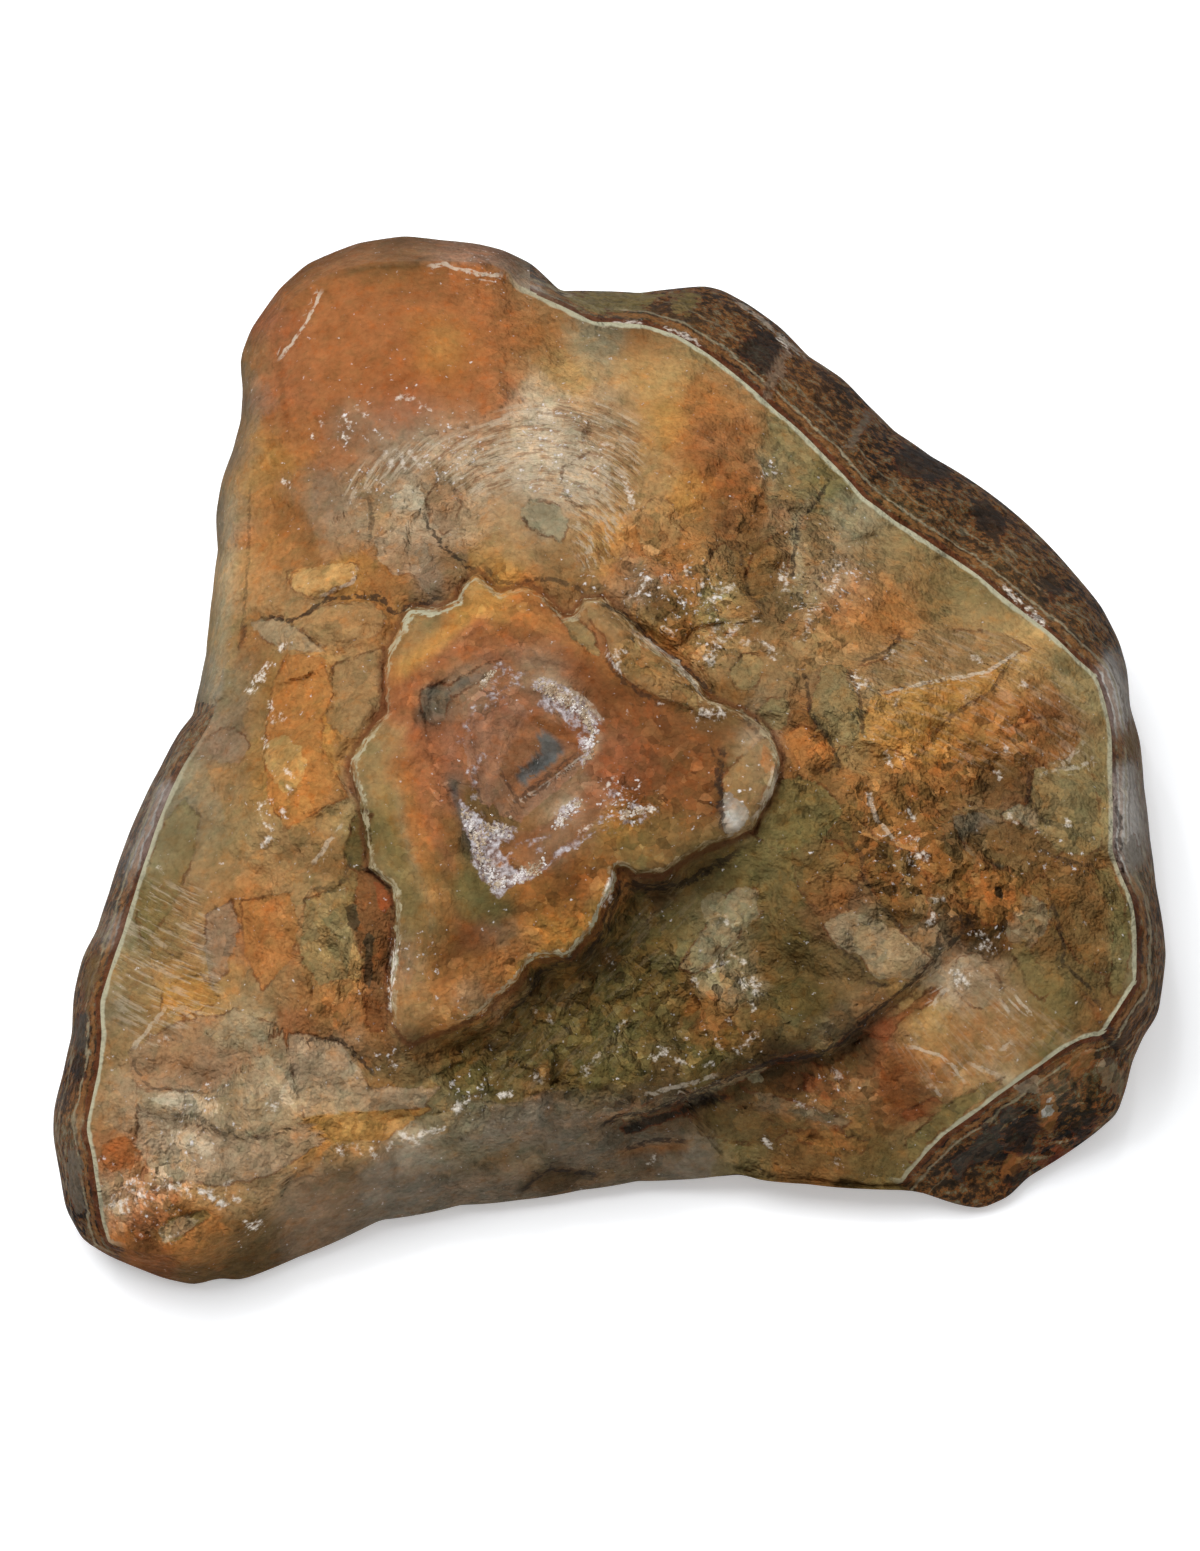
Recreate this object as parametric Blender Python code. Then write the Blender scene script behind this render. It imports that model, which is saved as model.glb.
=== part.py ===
"""Raw carnelian: a broken piece of an agate nodule, lying on its flat side.

The stone is 159 mm wide. Its top is a broken face with a layered plate round a crystal pit, and its
sides are the nodule's rind. It is drawn as it is seen from 60 degrees above the horizon: outlines are in
the pixels of that view, 7 of them to a millimetre, and heights are in millimetres above the ground. A
pixel and a height give a place on the stone.

One sheet makes the whole skin. A square grid is laid over what the view shows, so that its rings run
along the stone's main edges. Its edge is pulled down the hidden side and in under the stone, and the
last edge is closed by the flat base.
"""

import math

import bmesh
import bpy
import numpy as np
from mathutils import Vector, noise

MM = 0.001

# The view in which the stone is drawn
VIEW_ELEVATION = math.radians(60)
VIEW_DISTANCE = 1000.0
PIXELS_PER_MM = 7.0
VIEW_CENTRE = (600.0, 775.5)
AIM = np.array([-1.9, -10.8, 25.0])
FOCAL_PIXELS = PIXELS_PER_MM * VIEW_DISTANCE

# The skin's grid: its rings run along these edges
GRID = 144
RINGS = GRID // 2
PIT_FLOOR_RING = 8
PIT_RING = 18
PLATE_RING = 32
RIM_RING = 61

# The width of a small step in the broken face, in millimetres
STEP_WIDTH = 2.2

# The hidden side: its rings, and its sizes in millimetres
SIDE_RINGS = 12
BASE_RINGS = 8
BACK_BULGE = 0.8
BASE_INSET = 7.0
SIDE_LUMPS = 2.2
BASE_WIDTH_SHARE = 0.4
BASE_HOLLOW = 2.2

TRIANGLES = 9000

# The middle of the crystal pit, from which every main outline is seen in full
HEART = (530.0, 765.0)

SILHOUETTE = [
    (404, 236), (441, 240), (479, 244), (503, 250), (532, 264), (560, 291), (600, 291), (640, 293),
    (671, 289), (705, 286), (722, 290), (748, 304), (780, 327), (808, 356), (843, 379), (868, 405),
    (894, 431), (932, 457), (966, 477), (1000, 501), (1044, 540), (1073, 572), (1101, 606), (1119, 641),
    (1127, 669), (1130, 707), (1140, 741), (1144, 787), (1150, 839), (1156, 887), (1163, 925),
    (1166, 955), (1158, 1014), (1143, 1037), (1132, 1062), (1126, 1088), (1117, 1114), (1094, 1134),
    (1066, 1154), (1028, 1177), (1008, 1197), (980, 1209), (951, 1203), (922, 1192), (902, 1190),
    (865, 1189), (807, 1184), (760, 1180), (739, 1173), (675, 1180), (637, 1181), (581, 1190),
    (519, 1200), (460, 1205), (380, 1220), (356, 1232), (298, 1257), (241, 1280), (218, 1278),
    (195, 1285), (163, 1278), (140, 1269), (109, 1256), (83, 1240), (66, 1209), (60, 1174), (53, 1134),
    (54, 1108), (63, 1074), (72, 1034), (74, 993), (83, 956), (97, 930), (109, 893), (123, 850),
    (140, 808), (160, 768), (180, 731), (193, 715), (200, 684), (206, 655), (209, 624), (213, 590),
    (218, 550), (216, 515), (222, 480), (233, 450), (241, 420), (243, 390), (240, 361), (243, 350),
    (251, 329), (264, 310), (280, 288), (307, 264), (334, 252), (358, 243), (382, 239),
]

# The edge of the broken face
RIM = [
    (404, 262), (450, 262), (490, 264), (509, 273), (519, 288), (546, 299), (593, 322), (645, 325),
    (679, 336), (711, 356), (737, 376), (774, 409), (797, 428), (823, 454), (840, 471), (863, 497),
    (895, 521), (943, 552), (978, 575), (1001, 595), (1027, 615), (1053, 635), (1076, 658), (1096, 675),
    (1104, 698), (1111, 730), (1112, 787), (1112, 850), (1120, 873), (1132, 899), (1136, 925),
    (1136, 982), (1123, 1002), (1112, 1019), (1103, 1034), (1080, 1039), (1060, 1051), (1028, 1074),
    (1000, 1094), (974, 1114), (945, 1134), (928, 1151), (911, 1171), (902, 1182), (865, 1181),
    (807, 1176), (760, 1171), (735, 1163), (714, 1146), (690, 1115), (621, 1099), (551, 1114),
    (474, 1136), (440, 1130), (384, 1147), (341, 1166), (290, 1189), (258, 1217), (230, 1236),
    (195, 1250), (150, 1254), (109, 1243), (102, 1223), (97, 1189), (92, 1154), (86, 1128), (92, 1100),
    (99, 1068), (102, 1034), (100, 1002), (109, 973), (123, 933), (135, 893), (149, 850), (163, 810),
    (182, 768), (200, 740), (215, 715), (224, 680), (230, 640), (232, 600), (235, 560), (236, 520),
    (241, 490), (250, 460), (258, 430), (262, 390), (262, 355), (272, 330), (290, 302), (312, 284),
    (340, 270), (370, 263),
]

# The layered plate round the crystal pit, with its scalloped edge
PLATE = [
    (476, 575), (461, 590), (459, 601), (441, 610), (410, 610), (405, 617), (401, 631), (391, 648),
    (386, 669), (386, 684), (388, 713), (366, 739), (352, 762), (355, 779), (363, 805), (368, 842),
    (371, 868), (393, 885), (398, 908), (396, 941), (391, 981), (395, 1024), (410, 1041), (459, 1021),
    (486, 1008), (492, 998), (516, 981), (526, 961), (542, 955), (569, 955), (582, 938), (595, 925),
    (599, 908), (612, 888), (615, 865), (625, 865), (638, 873), (662, 872), (682, 858), (705, 845),
    (725, 839), (751, 829), (774, 785), (779, 759), (771, 736), (758, 722), (725, 706), (705, 699),
    (698, 683), (682, 669), (648, 643), (622, 613), (602, 600), (585, 601), (575, 616), (562, 618),
    (542, 596), (526, 588), (499, 595), (486, 585),
]
PLATE_RISE = 2.4
PLATE_DISH = 1.6
PLATE_GROOVE = 1.1

# The crystal pit and the sunken square in it
PIT = [
    (520, 655), (585, 672), (636, 738), (640, 782), (590, 838), (500, 896), (455, 815), (425, 745),
    (428, 690), (470, 662),
]
PIT_DEPTH = 1.1
PIT_FLOOR = [(520, 690), (560, 700), (596, 738), (585, 765), (505, 838), (478, 780), (470, 725)]
PIT_FLOOR_DEPTH = 1.3

# The two lower steps of the square, down to the grey chevron
INNER_STEPS = [
    ([(520, 712), (548, 712), (578, 748), (514, 800), (496, 762)], 1.0),
    ([(536, 732), (552, 738), (566, 754), (520, 788), (512, 776), (538, 762)], 0.9),
]

# The scooped hollow below the plate: the side of it that the plate doesn't bound
HOLLOW_RIM = [
    (396, 1030), (402, 1064), (440, 1098), (520, 1104), (600, 1090), (690, 1076), (770, 1046),
    (850, 1014), (880, 985), (845, 935), (815, 895), (800, 850), (752, 829),
]
HOLLOW_DEPTH = 6.5
HOLLOW_STEEP = 4.0
HOLLOW_GENTLE = 11.0
HOLLOW_PLATE_TOP = 829
HOLLOW_PLATE_LEFT = 394

# Flat facets of the break: outline, lift of its middle in millimetres, and slopes to the right and down
FACETS = [
    ([(602, 596), (625, 626), (648, 640), (688, 673), (700, 693), (725, 708), (712, 716), (665, 699),
      (633, 685), (612, 664), (606, 640), (590, 622), (581, 600)], 1.7, 0.02, 0.0),
    ([(723, 774), (734, 763), (756, 743), (770, 734), (779, 752), (782, 767), (770, 792), (754, 823),
      (745, 832), (727, 841), (724, 823)], 1.2, 0.10, 0.02),
    ([(287, 572), (359, 563), (356, 579), (318, 598), (292, 590)], 0.9, 0.0, -0.06),
    ([(300, 626), (325, 604), (370, 602), (388, 615), (381, 633), (336, 650), (314, 639)], 0.7, -0.05, 0.04),
    ([(334, 664), (383, 639), (381, 706), (350, 740), (332, 729), (325, 715)], 0.4, 0.08, 0.03),
    ([(287, 653), (323, 657), (334, 693), (323, 720), (323, 746), (347, 796), (318, 813), (285, 829),
      (267, 796), (265, 740), (274, 684)], 1.2, 0.06, 0.0),
    ([(126, 1051), (178, 1022), (235, 1011), (284, 1031), (258, 1057), (235, 1074), (212, 1091),
      (138, 1090)], 0.2, 0.0, -0.08),
    ([(138, 1090), (212, 1091), (235, 1074), (258, 1057), (284, 1031), (295, 1094), (307, 1123),
      (241, 1139), (201, 1125), (138, 1110)], 0.9, 0.0, 0.04),
    ([(284, 1031), (341, 1042), (370, 1088), (439, 1088), (422, 1108), (307, 1123), (295, 1094)],
     0.4, 0.05, 0.05),
    ([(138, 1110), (201, 1125), (241, 1139), (307, 1123), (327, 1140), (275, 1174), (224, 1186),
      (163, 1180), (135, 1151)], -0.2, 0.02, 0.08),
    ([(849, 666), (886, 658), (892, 644), (929, 629), (1001, 632), (1024, 652), (984, 671), (926, 683),
      (875, 694)], 0.6, 0.0, 0.08),
    ([(875, 694), (926, 683), (984, 671), (1024, 652), (1001, 695), (938, 727), (915, 758), (866, 747),
      (863, 718)], 1.2, 0.0, -0.07),
    ([(817, 669), (837, 664), (860, 701), (862, 738), (846, 750), (817, 730), (809, 712)], 0.9, 0.04, 0.0),
    ([(822, 925), (850, 912), (899, 945), (931, 962), (911, 979), (876, 979), (859, 950), (836, 945)],
     1.0, -0.04, 0.08),
    ([(678, 968), (728, 892), (755, 885), (761, 912), (725, 951), (695, 975)], 1.6, 0.08, 0.04),
    ([(962, 952), (997, 965), (1037, 1011), (1089, 1011), (1100, 1036), (1000, 1090), (930, 1100),
      (860, 1045), (911, 1011), (934, 979)], 0.4, 0.0, 0.02),
]

# Cracks, each with its depth and half its width in millimetres
CRACKS = [
    ([(478, 572), (468, 567), (441, 545), (430, 529), (422, 513)], 0.9, 0.7),
    ([(461, 595), (443, 597), (425, 603), (405, 607), (394, 615), (381, 598), (350, 597), (327, 598),
      (305, 615), (292, 621), (269, 617), (247, 624)], 1.3, 0.8),
    ([(590, 598), (625, 615), (651, 640), (678, 662), (700, 682), (722, 700)], 2.2, 0.9),
    ([(295, 1038), (341, 1039), (379, 1080)], 1.0, 0.8),
    ([(831, 474), (817, 502), (800, 520), (794, 551), (791, 588)], 0.7, 0.8),
    ([(1098, 1030), (1108, 1042), (1120, 1054), (1136, 1066)], 2.6, 1.0),
]

# Ledges: the face drops on the left of each line as it runs, by a depth that fades over a distance
LEDGES = [
    ([(985, 905), (950, 945), (920, 975), (870, 1015), (845, 1039), (819, 1055), (779, 1059),
      (700, 1090), (640, 1108)], 3.6, 20.0),
    ([(720, 1092), (680, 1102), (648, 1111), (616, 1117), (592, 1130)], 3.0, 4.0),
    ([(690, 1142), (655, 1140), (621, 1151)], 1.6, 3.0),
    ([(604, 1178), (584, 1172), (551, 1169), (535, 1178), (517, 1195)], 2.4, 4.0),
]

# Parts of the face that broke smoothly: pixel, half width in millimetres and how much smoother
CALM_PLACES = [
    ((385, 350), 18.0, 0.9), ((640, 380), 9.0, 0.5), ((1000, 1040), 14.0, 0.6), ((190, 860), 9.0, 0.6),
    ((1020, 600), 9.0, 0.5), ((540, 520), 10.0, 0.4),
]

# Spot heights of the broken face: pixel and millimetres above the ground
FACE_SPOTS = [
    ((404, 262), 41.0), ((390, 350), 44.5), ((270, 345), 37.0), ((300, 440), 40.0), ((250, 500), 35.0),
    ((440, 440), 44.5), ((509, 273), 39.0), ((560, 400), 44.5), ((593, 322), 39.5), ((711, 356), 40.5),
    ((700, 470), 46.0), ((520, 480), 47.0), ((797, 428), 40.5), ((943, 552), 38.5), ((1076, 658), 36.5),
    ((1112, 790), 35.5), ((1136, 950), 31.5), ((1103, 1034), 29.0), ((1000, 1094), 24.5),
    ((905, 1178), 11.5), ((807, 1176), 10.5), ((735, 1163), 11.0), ((530, 700), 50.0),
    ((530, 800), 49.0), ((400, 640), 47.5), ((370, 770), 46.5), ((395, 980), 41.0), ((620, 860), 47.0),
    ((740, 780), 47.0), ((650, 640), 49.0), ((232, 600), 34.0), ((300, 620), 42.5), ((215, 715), 33.5),
    ((260, 800), 41.5), ((149, 850), 31.5), ((100, 1010), 28.5), ((92, 1154), 24.0), ((109, 1243), 15.0),
    ((195, 1250), 17.5), ((258, 1217), 20.5), ((341, 1166), 24.0), ((440, 1130), 26.5),
    ((551, 1114), 27.0), ((621, 1099), 27.5), ((690, 1112), 25.0), ((250, 950), 36.5),
    ((200, 1100), 29.0), ((560, 1020), 37.5), ((760, 930), 42.5), ((900, 760), 44.5), ((830, 600), 46.0),
    ((1000, 860), 39.5), ((960, 1000), 35.0), ((860, 1100), 24.5), ((1010, 700), 41.0),
]

# Spot heights along the silhouette
SILHOUETTE_SPOTS = [
    ((404, 236), 30.0), ((503, 250), 29.0), ((560, 291), 28.0), ((705, 286), 26.0), ((868, 405), 24.0),
    ((1000, 501), 23.0), ((1119, 641), 20.0), ((1144, 787), 16.0), ((1166, 955), 12.5), ((1132, 1062), 9.0),
    ((1117, 1114), 7.0), ((1066, 1154), 3.5), ((980, 1209), 2.0), ((902, 1190), 8.0), ((807, 1184), 8.5),
    ((739, 1173), 7.5), ((675, 1180), 5.0), ((581, 1190), 4.0), ((519, 1200), 3.5), ((380, 1220), 4.0),
    ((298, 1257), 2.0), ((195, 1285), 1.5), ((109, 1256), 4.5), ((60, 1174), 10.0), ((63, 1074), 13.0),
    ((97, 930), 15.0), ((140, 808), 16.5), ((193, 715), 18.0), ((209, 624), 19.0), ((218, 550), 20.0),
    ((233, 450), 22.0), ((243, 350), 25.0), ((307, 264), 28.0),
]

# How round the side is between the rim and the silhouette: 0 is a straight slope, 1 a full round
ROUNDNESS_SPOTS = [
    ((404, 236), 0.5), ((705, 286), 0.45), ((1000, 501), 0.45), ((1144, 787), 0.8), ((1166, 955), 0.8),
    ((1066, 1154), 0.15), ((980, 1209), 0.1), ((902, 1190), 0.0), ((739, 1173), 0.0), ((519, 1200), 0.1),
    ((298, 1257), 0.15), ((109, 1256), 0.6), ((63, 1074), 0.8), ((140, 808), 0.8), ((209, 624), 0.8),
    ((243, 350), 0.8), ((307, 264), 0.6),
]

STONE_COLOUR = (0.33, 0.125, 0.042, 1.0)
STONE_ROUGHNESS = 0.3
SHARP_ANGLE = math.radians(35)


def smooth_step(value, low, high):
    """0 below low, 1 above high and a smooth rise between them."""
    share = np.clip((value - low) / (high - low), 0.0, 1.0)
    return share * share * (3.0 - 2.0 * share)


def place_seen_at(x, y, height):
    """The places, in millimetres, that the view shows at these pixels when they are at these heights."""
    sine, cosine = math.sin(VIEW_ELEVATION), math.cos(VIEW_ELEVATION)
    eye = AIM + VIEW_DISTANCE * np.array([0.0, -cosine, sine])
    right = (x - VIEW_CENTRE[0]) / FOCAL_PIXELS
    up = (VIEW_CENTRE[1] - y) / FOCAL_PIXELS
    ray = np.stack([right, cosine + up * sine, -sine + up * cosine], axis=-1)
    reach = (height - eye[2]) / ray[..., 2]
    return eye + ray * reach[..., None]


def read_round_heart(points, values, angle):
    """Values that belong to pixels round the heart, read at other angles between them."""
    offsets = np.asarray(points, float) - HEART
    own = np.arctan2(offsets[:, 1], offsets[:, 0])
    order = np.argsort(own)
    return np.interp(angle, own[order], np.asarray(values, float)[order], period=2 * math.pi)


def radius_of(outline, angle):
    """How far an outline is from the heart, in pixels, in each direction, its corners a little worn."""
    wear = math.radians(0.6)
    radii = np.hypot(*(np.asarray(outline, float) - HEART).T)
    before, here, after = (read_round_heart(outline, radii, angle + turn * wear) for turn in (-1, 0, 1))
    return 0.25 * before + 0.5 * here + 0.25 * after


def surface_through(spots):
    """The smooth surface through the spot heights, bent as a thin plate would be, as a function of a pixel."""
    pixels = np.array([pixel for pixel, _ in spots], float) / 1000
    heights = np.array([height for _, height in spots], float)

    def bend(distance):
        return distance**2 * np.log(distance + 1e-9)

    flat = np.hstack([np.ones((len(spots), 1)), pixels])
    apart = np.linalg.norm(pixels[:, None] - pixels[None], axis=-1)
    system = np.block([[bend(apart), flat], [flat.T, np.zeros((3, 3))]])
    solution = np.linalg.solve(system, np.concatenate([heights, np.zeros(3)]))
    weights, level, slopes = solution[:-3], solution[-3], solution[-2:]

    def height_at(x, y):
        at = np.stack([x, y], axis=-1) / 1000
        total = level + at @ slopes
        for pixel, weight in zip(pixels, weights):
            total = total + weight * bend(np.linalg.norm(at - pixel, axis=-1))
        return total

    return height_at


def along_line(x, y, line):
    """Each pixel's distance from a line, in millimetres, and where along it from 0 to 1.

    The distance is negative on the line's right as it runs, for someone who looks at the picture.
    """
    points = np.asarray(line, float)
    lengths = np.hypot(*np.diff(points, axis=0).T)
    starts = np.concatenate([[0.0], np.cumsum(lengths)]) / lengths.sum()
    nearest = np.full(x.shape, np.inf)
    side, where = np.ones(x.shape), np.zeros(x.shape)
    for index, (x0, y0) in enumerate(points[:-1]):
        run_x, run_y = points[index + 1] - points[index]
        share = np.clip(((x - x0) * run_x + (y - y0) * run_y) / (run_x**2 + run_y**2), 0.0, 1.0)
        off_x, off_y = x - x0 - share * run_x, y - y0 - share * run_y
        distance = np.hypot(off_x, off_y)
        nearer = distance < nearest
        nearest = np.where(nearer, distance, nearest)
        side = np.where(nearer, np.where(run_y * off_x > run_x * off_y, 1.0, -1.0), side)
        where = np.where(nearer, starts[index] + share * (starts[index + 1] - starts[index]), where)
    return side * nearest / PIXELS_PER_MM, where


def depth_inside(x, y, outline):
    """How far each pixel is inside a closed outline, in millimetres, negative outside it."""
    distance = np.abs(along_line(x, y, outline + outline[:1])[0])
    within = np.zeros(x.shape, bool)
    for (x0, y0), (x1, y1) in zip(outline, outline[1:] + outline[:1]):
        if y0 != y1:
            within ^= ((y0 > y) != (y1 > y)) & (x < (x1 - x0) * (y - y0) / (y1 - y0) + x0)
    return np.where(within, distance, -distance)


def shuffled(column, row, seed):
    """A number between 0 and 1 for each cell of a grid, without any pattern."""
    return (np.sin(column * 127.1 + row * 311.7 + seed * 74.7) * 43758.5453) % 1.0


def broken_planes(x, y, size, seed):
    """Small planes of about this size in millimetres, each tilted its own way, between about -1 and 1."""
    x, y = x / (size * PIXELS_PER_MM), y / (size * PIXELS_PER_MM)
    total, weights = np.zeros(x.shape), np.zeros(x.shape)
    for step_x in (-1, 0, 1):
        for step_y in (-1, 0, 1):
            column, row = np.floor(x) + step_x, np.floor(y) + step_y
            off_x = x - column - shuffled(column, row, seed)
            off_y = y - row - shuffled(column, row, seed + 1)
            tilt_x = 2.0 * shuffled(column, row, seed + 2) - 1.0
            tilt_y = 2.0 * shuffled(column, row, seed + 3) - 1.0
            rise = shuffled(column, row, seed + 4) - 0.5
            weight = np.exp(-14.0 * (off_x**2 + off_y**2))
            total += weight * (rise + tilt_x * off_x + tilt_y * off_y)
            weights += weight
    return total / (weights + 1e-12)


def lumps(x, y, size, seed):
    """Smooth noise of about this size in millimetres, between about -1 and 1."""
    scale = 1.0 / (size * PIXELS_PER_MM)
    flat = [noise.noise(Vector((a, b, seed))) for a, b in zip(np.ravel(x * scale), np.ravel(y * scale))]
    return np.reshape(flat, x.shape)


def fracture(x, y):
    """The uneven break of the face, calmer on the plate and in the places that broke smoothly."""
    rough = 1.5 * broken_planes(x, y, 17.0, 3.0) + 0.8 * broken_planes(x, y, 8.0, 11.0)
    rough *= 1.0 - 0.85 * smooth_step(depth_inside(x, y, PLATE), -3.0, 0.0)
    for (centre_x, centre_y), half_width, calmer in CALM_PLACES:
        away = np.hypot(x - centre_x, y - centre_y) / PIXELS_PER_MM
        rough *= 1.0 - calmer * (1.0 - smooth_step(away, 0.5 * half_width, half_width))
    return rough


def plate_and_pit(x, y):
    """The rise of the layered plate, the groove round it, and the steps down into the crystal pit."""
    half_step = 0.5 * STEP_WIDTH
    plate = depth_inside(x, y, PLATE)
    rise = PLATE_RISE * smooth_step(plate, -half_step, half_step) - PLATE_DISH * smooth_step(plate, 2.0, 13.0)
    rise -= PLATE_GROOVE * np.exp(-(((plate + STEP_WIDTH) / STEP_WIDTH) ** 2))
    steps = [(PIT, PIT_DEPTH), (PIT_FLOOR, PIT_FLOOR_DEPTH)] + INNER_STEPS
    for outline, drop in steps:
        rise -= drop * smooth_step(depth_inside(x, y, outline), -half_step, half_step)
    return rise


def hollow(x, y):
    """The drop into the hollow, steep along the plate's edge and gentle on its other side."""
    plate_side = [at for at in PLATE if at[1] > HOLLOW_PLATE_TOP and at[0] > HOLLOW_PLATE_LEFT][::-1]
    bowl = smooth_step(depth_inside(x, y, HOLLOW_RIM + plate_side), -0.01, 0.01)
    under_plate = smooth_step(-depth_inside(x, y, PLATE), 0.2, HOLLOW_STEEP)
    from_rim = smooth_step(np.abs(along_line(x, y, HOLLOW_RIM)[0]), 0.0, HOLLOW_GENTLE)
    return -HOLLOW_DEPTH * bowl * under_plate * from_rim


def facets(x, y):
    """The lift of each flat facet over the face round it."""
    lift = np.zeros(x.shape)
    for outline, middle, slope_right, slope_down in FACETS:
        centre_x, centre_y = np.mean(outline, axis=0)
        plane = slope_right * (x - centre_x) / PIXELS_PER_MM + slope_down * (y - centre_y) / PIXELS_PER_MM
        depth = depth_inside(x, y, outline)
        lift += (middle + plane) * smooth_step(depth, -0.5 * STEP_WIDTH, 0.5 * STEP_WIDTH)
    return lift


def taper(where, share):
    """1 along a line and 0 at its two ends."""
    return smooth_step(where, 0.0, share) * smooth_step(1.0 - where, 0.0, share)


def cracks(x, y):
    """The grooves of the cracks, which close towards their ends."""
    depth = np.zeros(x.shape)
    for line, deepest, half_width in CRACKS:
        distance, where = along_line(x, y, line)
        groove = np.exp(-((distance / (half_width + 0.3 * STEP_WIDTH)) ** 2))
        depth = np.maximum(depth, deepest * groove * taper(where, 0.15))
    return -depth


def ledges(x, y):
    """The drop below each ledge, with a narrow groove at its foot."""
    drop = np.zeros(x.shape)
    for line, deepest, fade in LEDGES:
        distance, where = along_line(x, y, line)
        below = smooth_step(distance, -0.3 * STEP_WIDTH, 0.7 * STEP_WIDTH)
        drop += deepest * below * np.exp(-np.maximum(distance, 0.0) / fade) * taper(where, 0.15)
        drop += 0.8 * np.exp(-((distance / STEP_WIDTH) ** 2)) * taper(where, 0.15)
    return -drop


def height_seen(x, y, angle, outward):
    """Height above the ground at each pixel. outward is 0 up to the rim and 1 at the silhouette."""
    rim_radius = radius_of(RIM, angle)
    rim_x, rim_y = HEART[0] + rim_radius * np.cos(angle), HEART[1] + rim_radius * np.sin(angle)
    on_side = outward > 0
    face = surface_through(FACE_SPOTS)(np.where(on_side, rim_x, x), np.where(on_side, rim_y, y))
    edge = read_round_heart(*zip(*SILHOUETTE_SPOTS), angle)
    roundness = read_round_heart(*zip(*ROUNDNESS_SPOTS), angle)
    full_round = 1.0 - np.sqrt(np.clip(1.0 - outward**2, 0.0, 1.0))
    height = face + (edge - face) * (roundness * full_round + (1.0 - roundness) * outward)

    near_edge = smooth_step(outward, 0.5, 1.0)
    height += fracture(x, y) * (1.0 - near_edge)
    height += plate_and_pit(x, y) + hollow(x, y) + facets(x, y)
    height += (cracks(x, y) + ledges(x, y)) * (1.0 - near_edge)
    return height


def disc_of(across, along):
    """The square grid drawn as a disc: each vertex's angle, and how far out it is from 0 to 1."""
    reach = np.maximum(np.abs(across), np.abs(along))
    sideways = np.abs(across) >= np.abs(along)
    longer = np.where(sideways, across, along)
    shorter = np.where(sideways, along, across)
    lean = shorter / np.where(np.abs(longer) < 1e-12, 1.0, longer) * (math.pi / 4)
    angle = np.where(sideways, lean, math.pi / 2 - lean) + np.where(longer < 0, math.pi, 0.0)
    return angle, reach


def radius_seen(angle, reach):
    """How far from the heart, in pixels, each vertex is drawn, so that the rings run along the edges."""
    half_step = 0.5 * STEP_WIDTH * PIXELS_PER_MM
    pit_floor, pit, plate = (radius_of(outline, angle) for outline in (PIT_FLOOR, PIT, PLATE))
    knots = [
        (0, 0.0),
        (PIT_FLOOR_RING, pit_floor - half_step),
        (PIT_FLOOR_RING + 1, pit_floor + half_step),
        (PIT_RING, pit - half_step),
        (PIT_RING + 1, pit + half_step),
        (PLATE_RING, plate - half_step),
        (PLATE_RING + 1, plate + half_step),
        (RIM_RING, radius_of(RIM, angle)),
        (RINGS, radius_of(SILHOUETTE, angle)),
    ]
    ring = reach * RINGS
    radius = np.zeros(angle.shape)
    for (near, inner), (far, outer) in zip(knots[:-1], knots[1:]):
        share = np.clip((ring - near) / (far - near), 0.0, 1.0)
        radius = np.where(ring > near, inner + share * (outer - inner), radius)
    return radius


def seen_skin(across, along):
    """Where the grid's vertices lie on the side of the stone that the view shows."""
    angle, reach = disc_of(across, along)
    radius = radius_seen(angle, reach)
    outward = np.clip((reach * RINGS - RIM_RING) / (RINGS - RIM_RING), 0.0, 1.0)
    x, y = HEART[0] + radius * np.cos(angle), HEART[1] + radius * np.sin(angle)
    return place_seen_at(x, y, height_seen(x, y, angle, outward))


def smoothed_ring(ring, reach):
    """A closed ring of places with its small bends taken out, by averaging over its neighbours."""
    shares = np.hanning(2 * reach + 3)[1:-1]
    shares /= shares.sum()
    return sum(share * np.roll(ring, turn, axis=0) for turn, share in zip(range(-reach, reach + 1), shares))


def outward_in_plan(ring):
    """The level direction out of a closed ring at each of its places."""
    along = np.roll(ring, -3, axis=0) - np.roll(ring, 3, axis=0)
    normal = np.stack([along[:, 1], -along[:, 0]], axis=-1)
    normal /= np.linalg.norm(normal, axis=-1, keepdims=True)
    middle = ring[:, :2].mean(axis=0)
    return normal * np.sign(np.sum(normal * (ring[:, :2] - middle), axis=-1).sum())


def side_ring(edge, down):
    """The ring at a share of the way down the hidden side from the silhouette, where down is 0."""
    ring = edge + (smoothed_ring(edge, len(edge) // 40) - edge) * min(1.0, 2.0 * down)
    ring[:, 1] += BACK_BULGE * edge[:, 2] * down * (1.0 - down)
    ring[:, 2] = edge[:, 2] * (1.0 - down) ** 1.5
    uneven = 0.5 + lumps(*(ring[:, :2].T * PIXELS_PER_MM), 16.0, 40.0 * down)
    inset = BASE_INSET * down**2.5 + SIDE_LUMPS * uneven * math.sin(math.pi * down)
    ring[:, :2] -= outward_in_plan(ring) * inset[:, None]
    return ring


def base_ring(foot, inward):
    """The ring at a share of the way in from the foot of the side to the flat that the stone rests on."""
    ring = foot.copy()
    middle = foot[:, :2].mean(axis=0)
    ring[:, :2] = middle + (foot[:, :2] - middle) * (1.0 - (1.0 - BASE_WIDTH_SHARE) * inward)
    wave = lumps(*(ring[:, :2].T * PIXELS_PER_MM), 24.0, 5.0)
    ring[:, 2] = BASE_HOLLOW * smooth_step(wave, -0.1, 0.35) * math.sin(math.pi * inward)
    return ring


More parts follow.
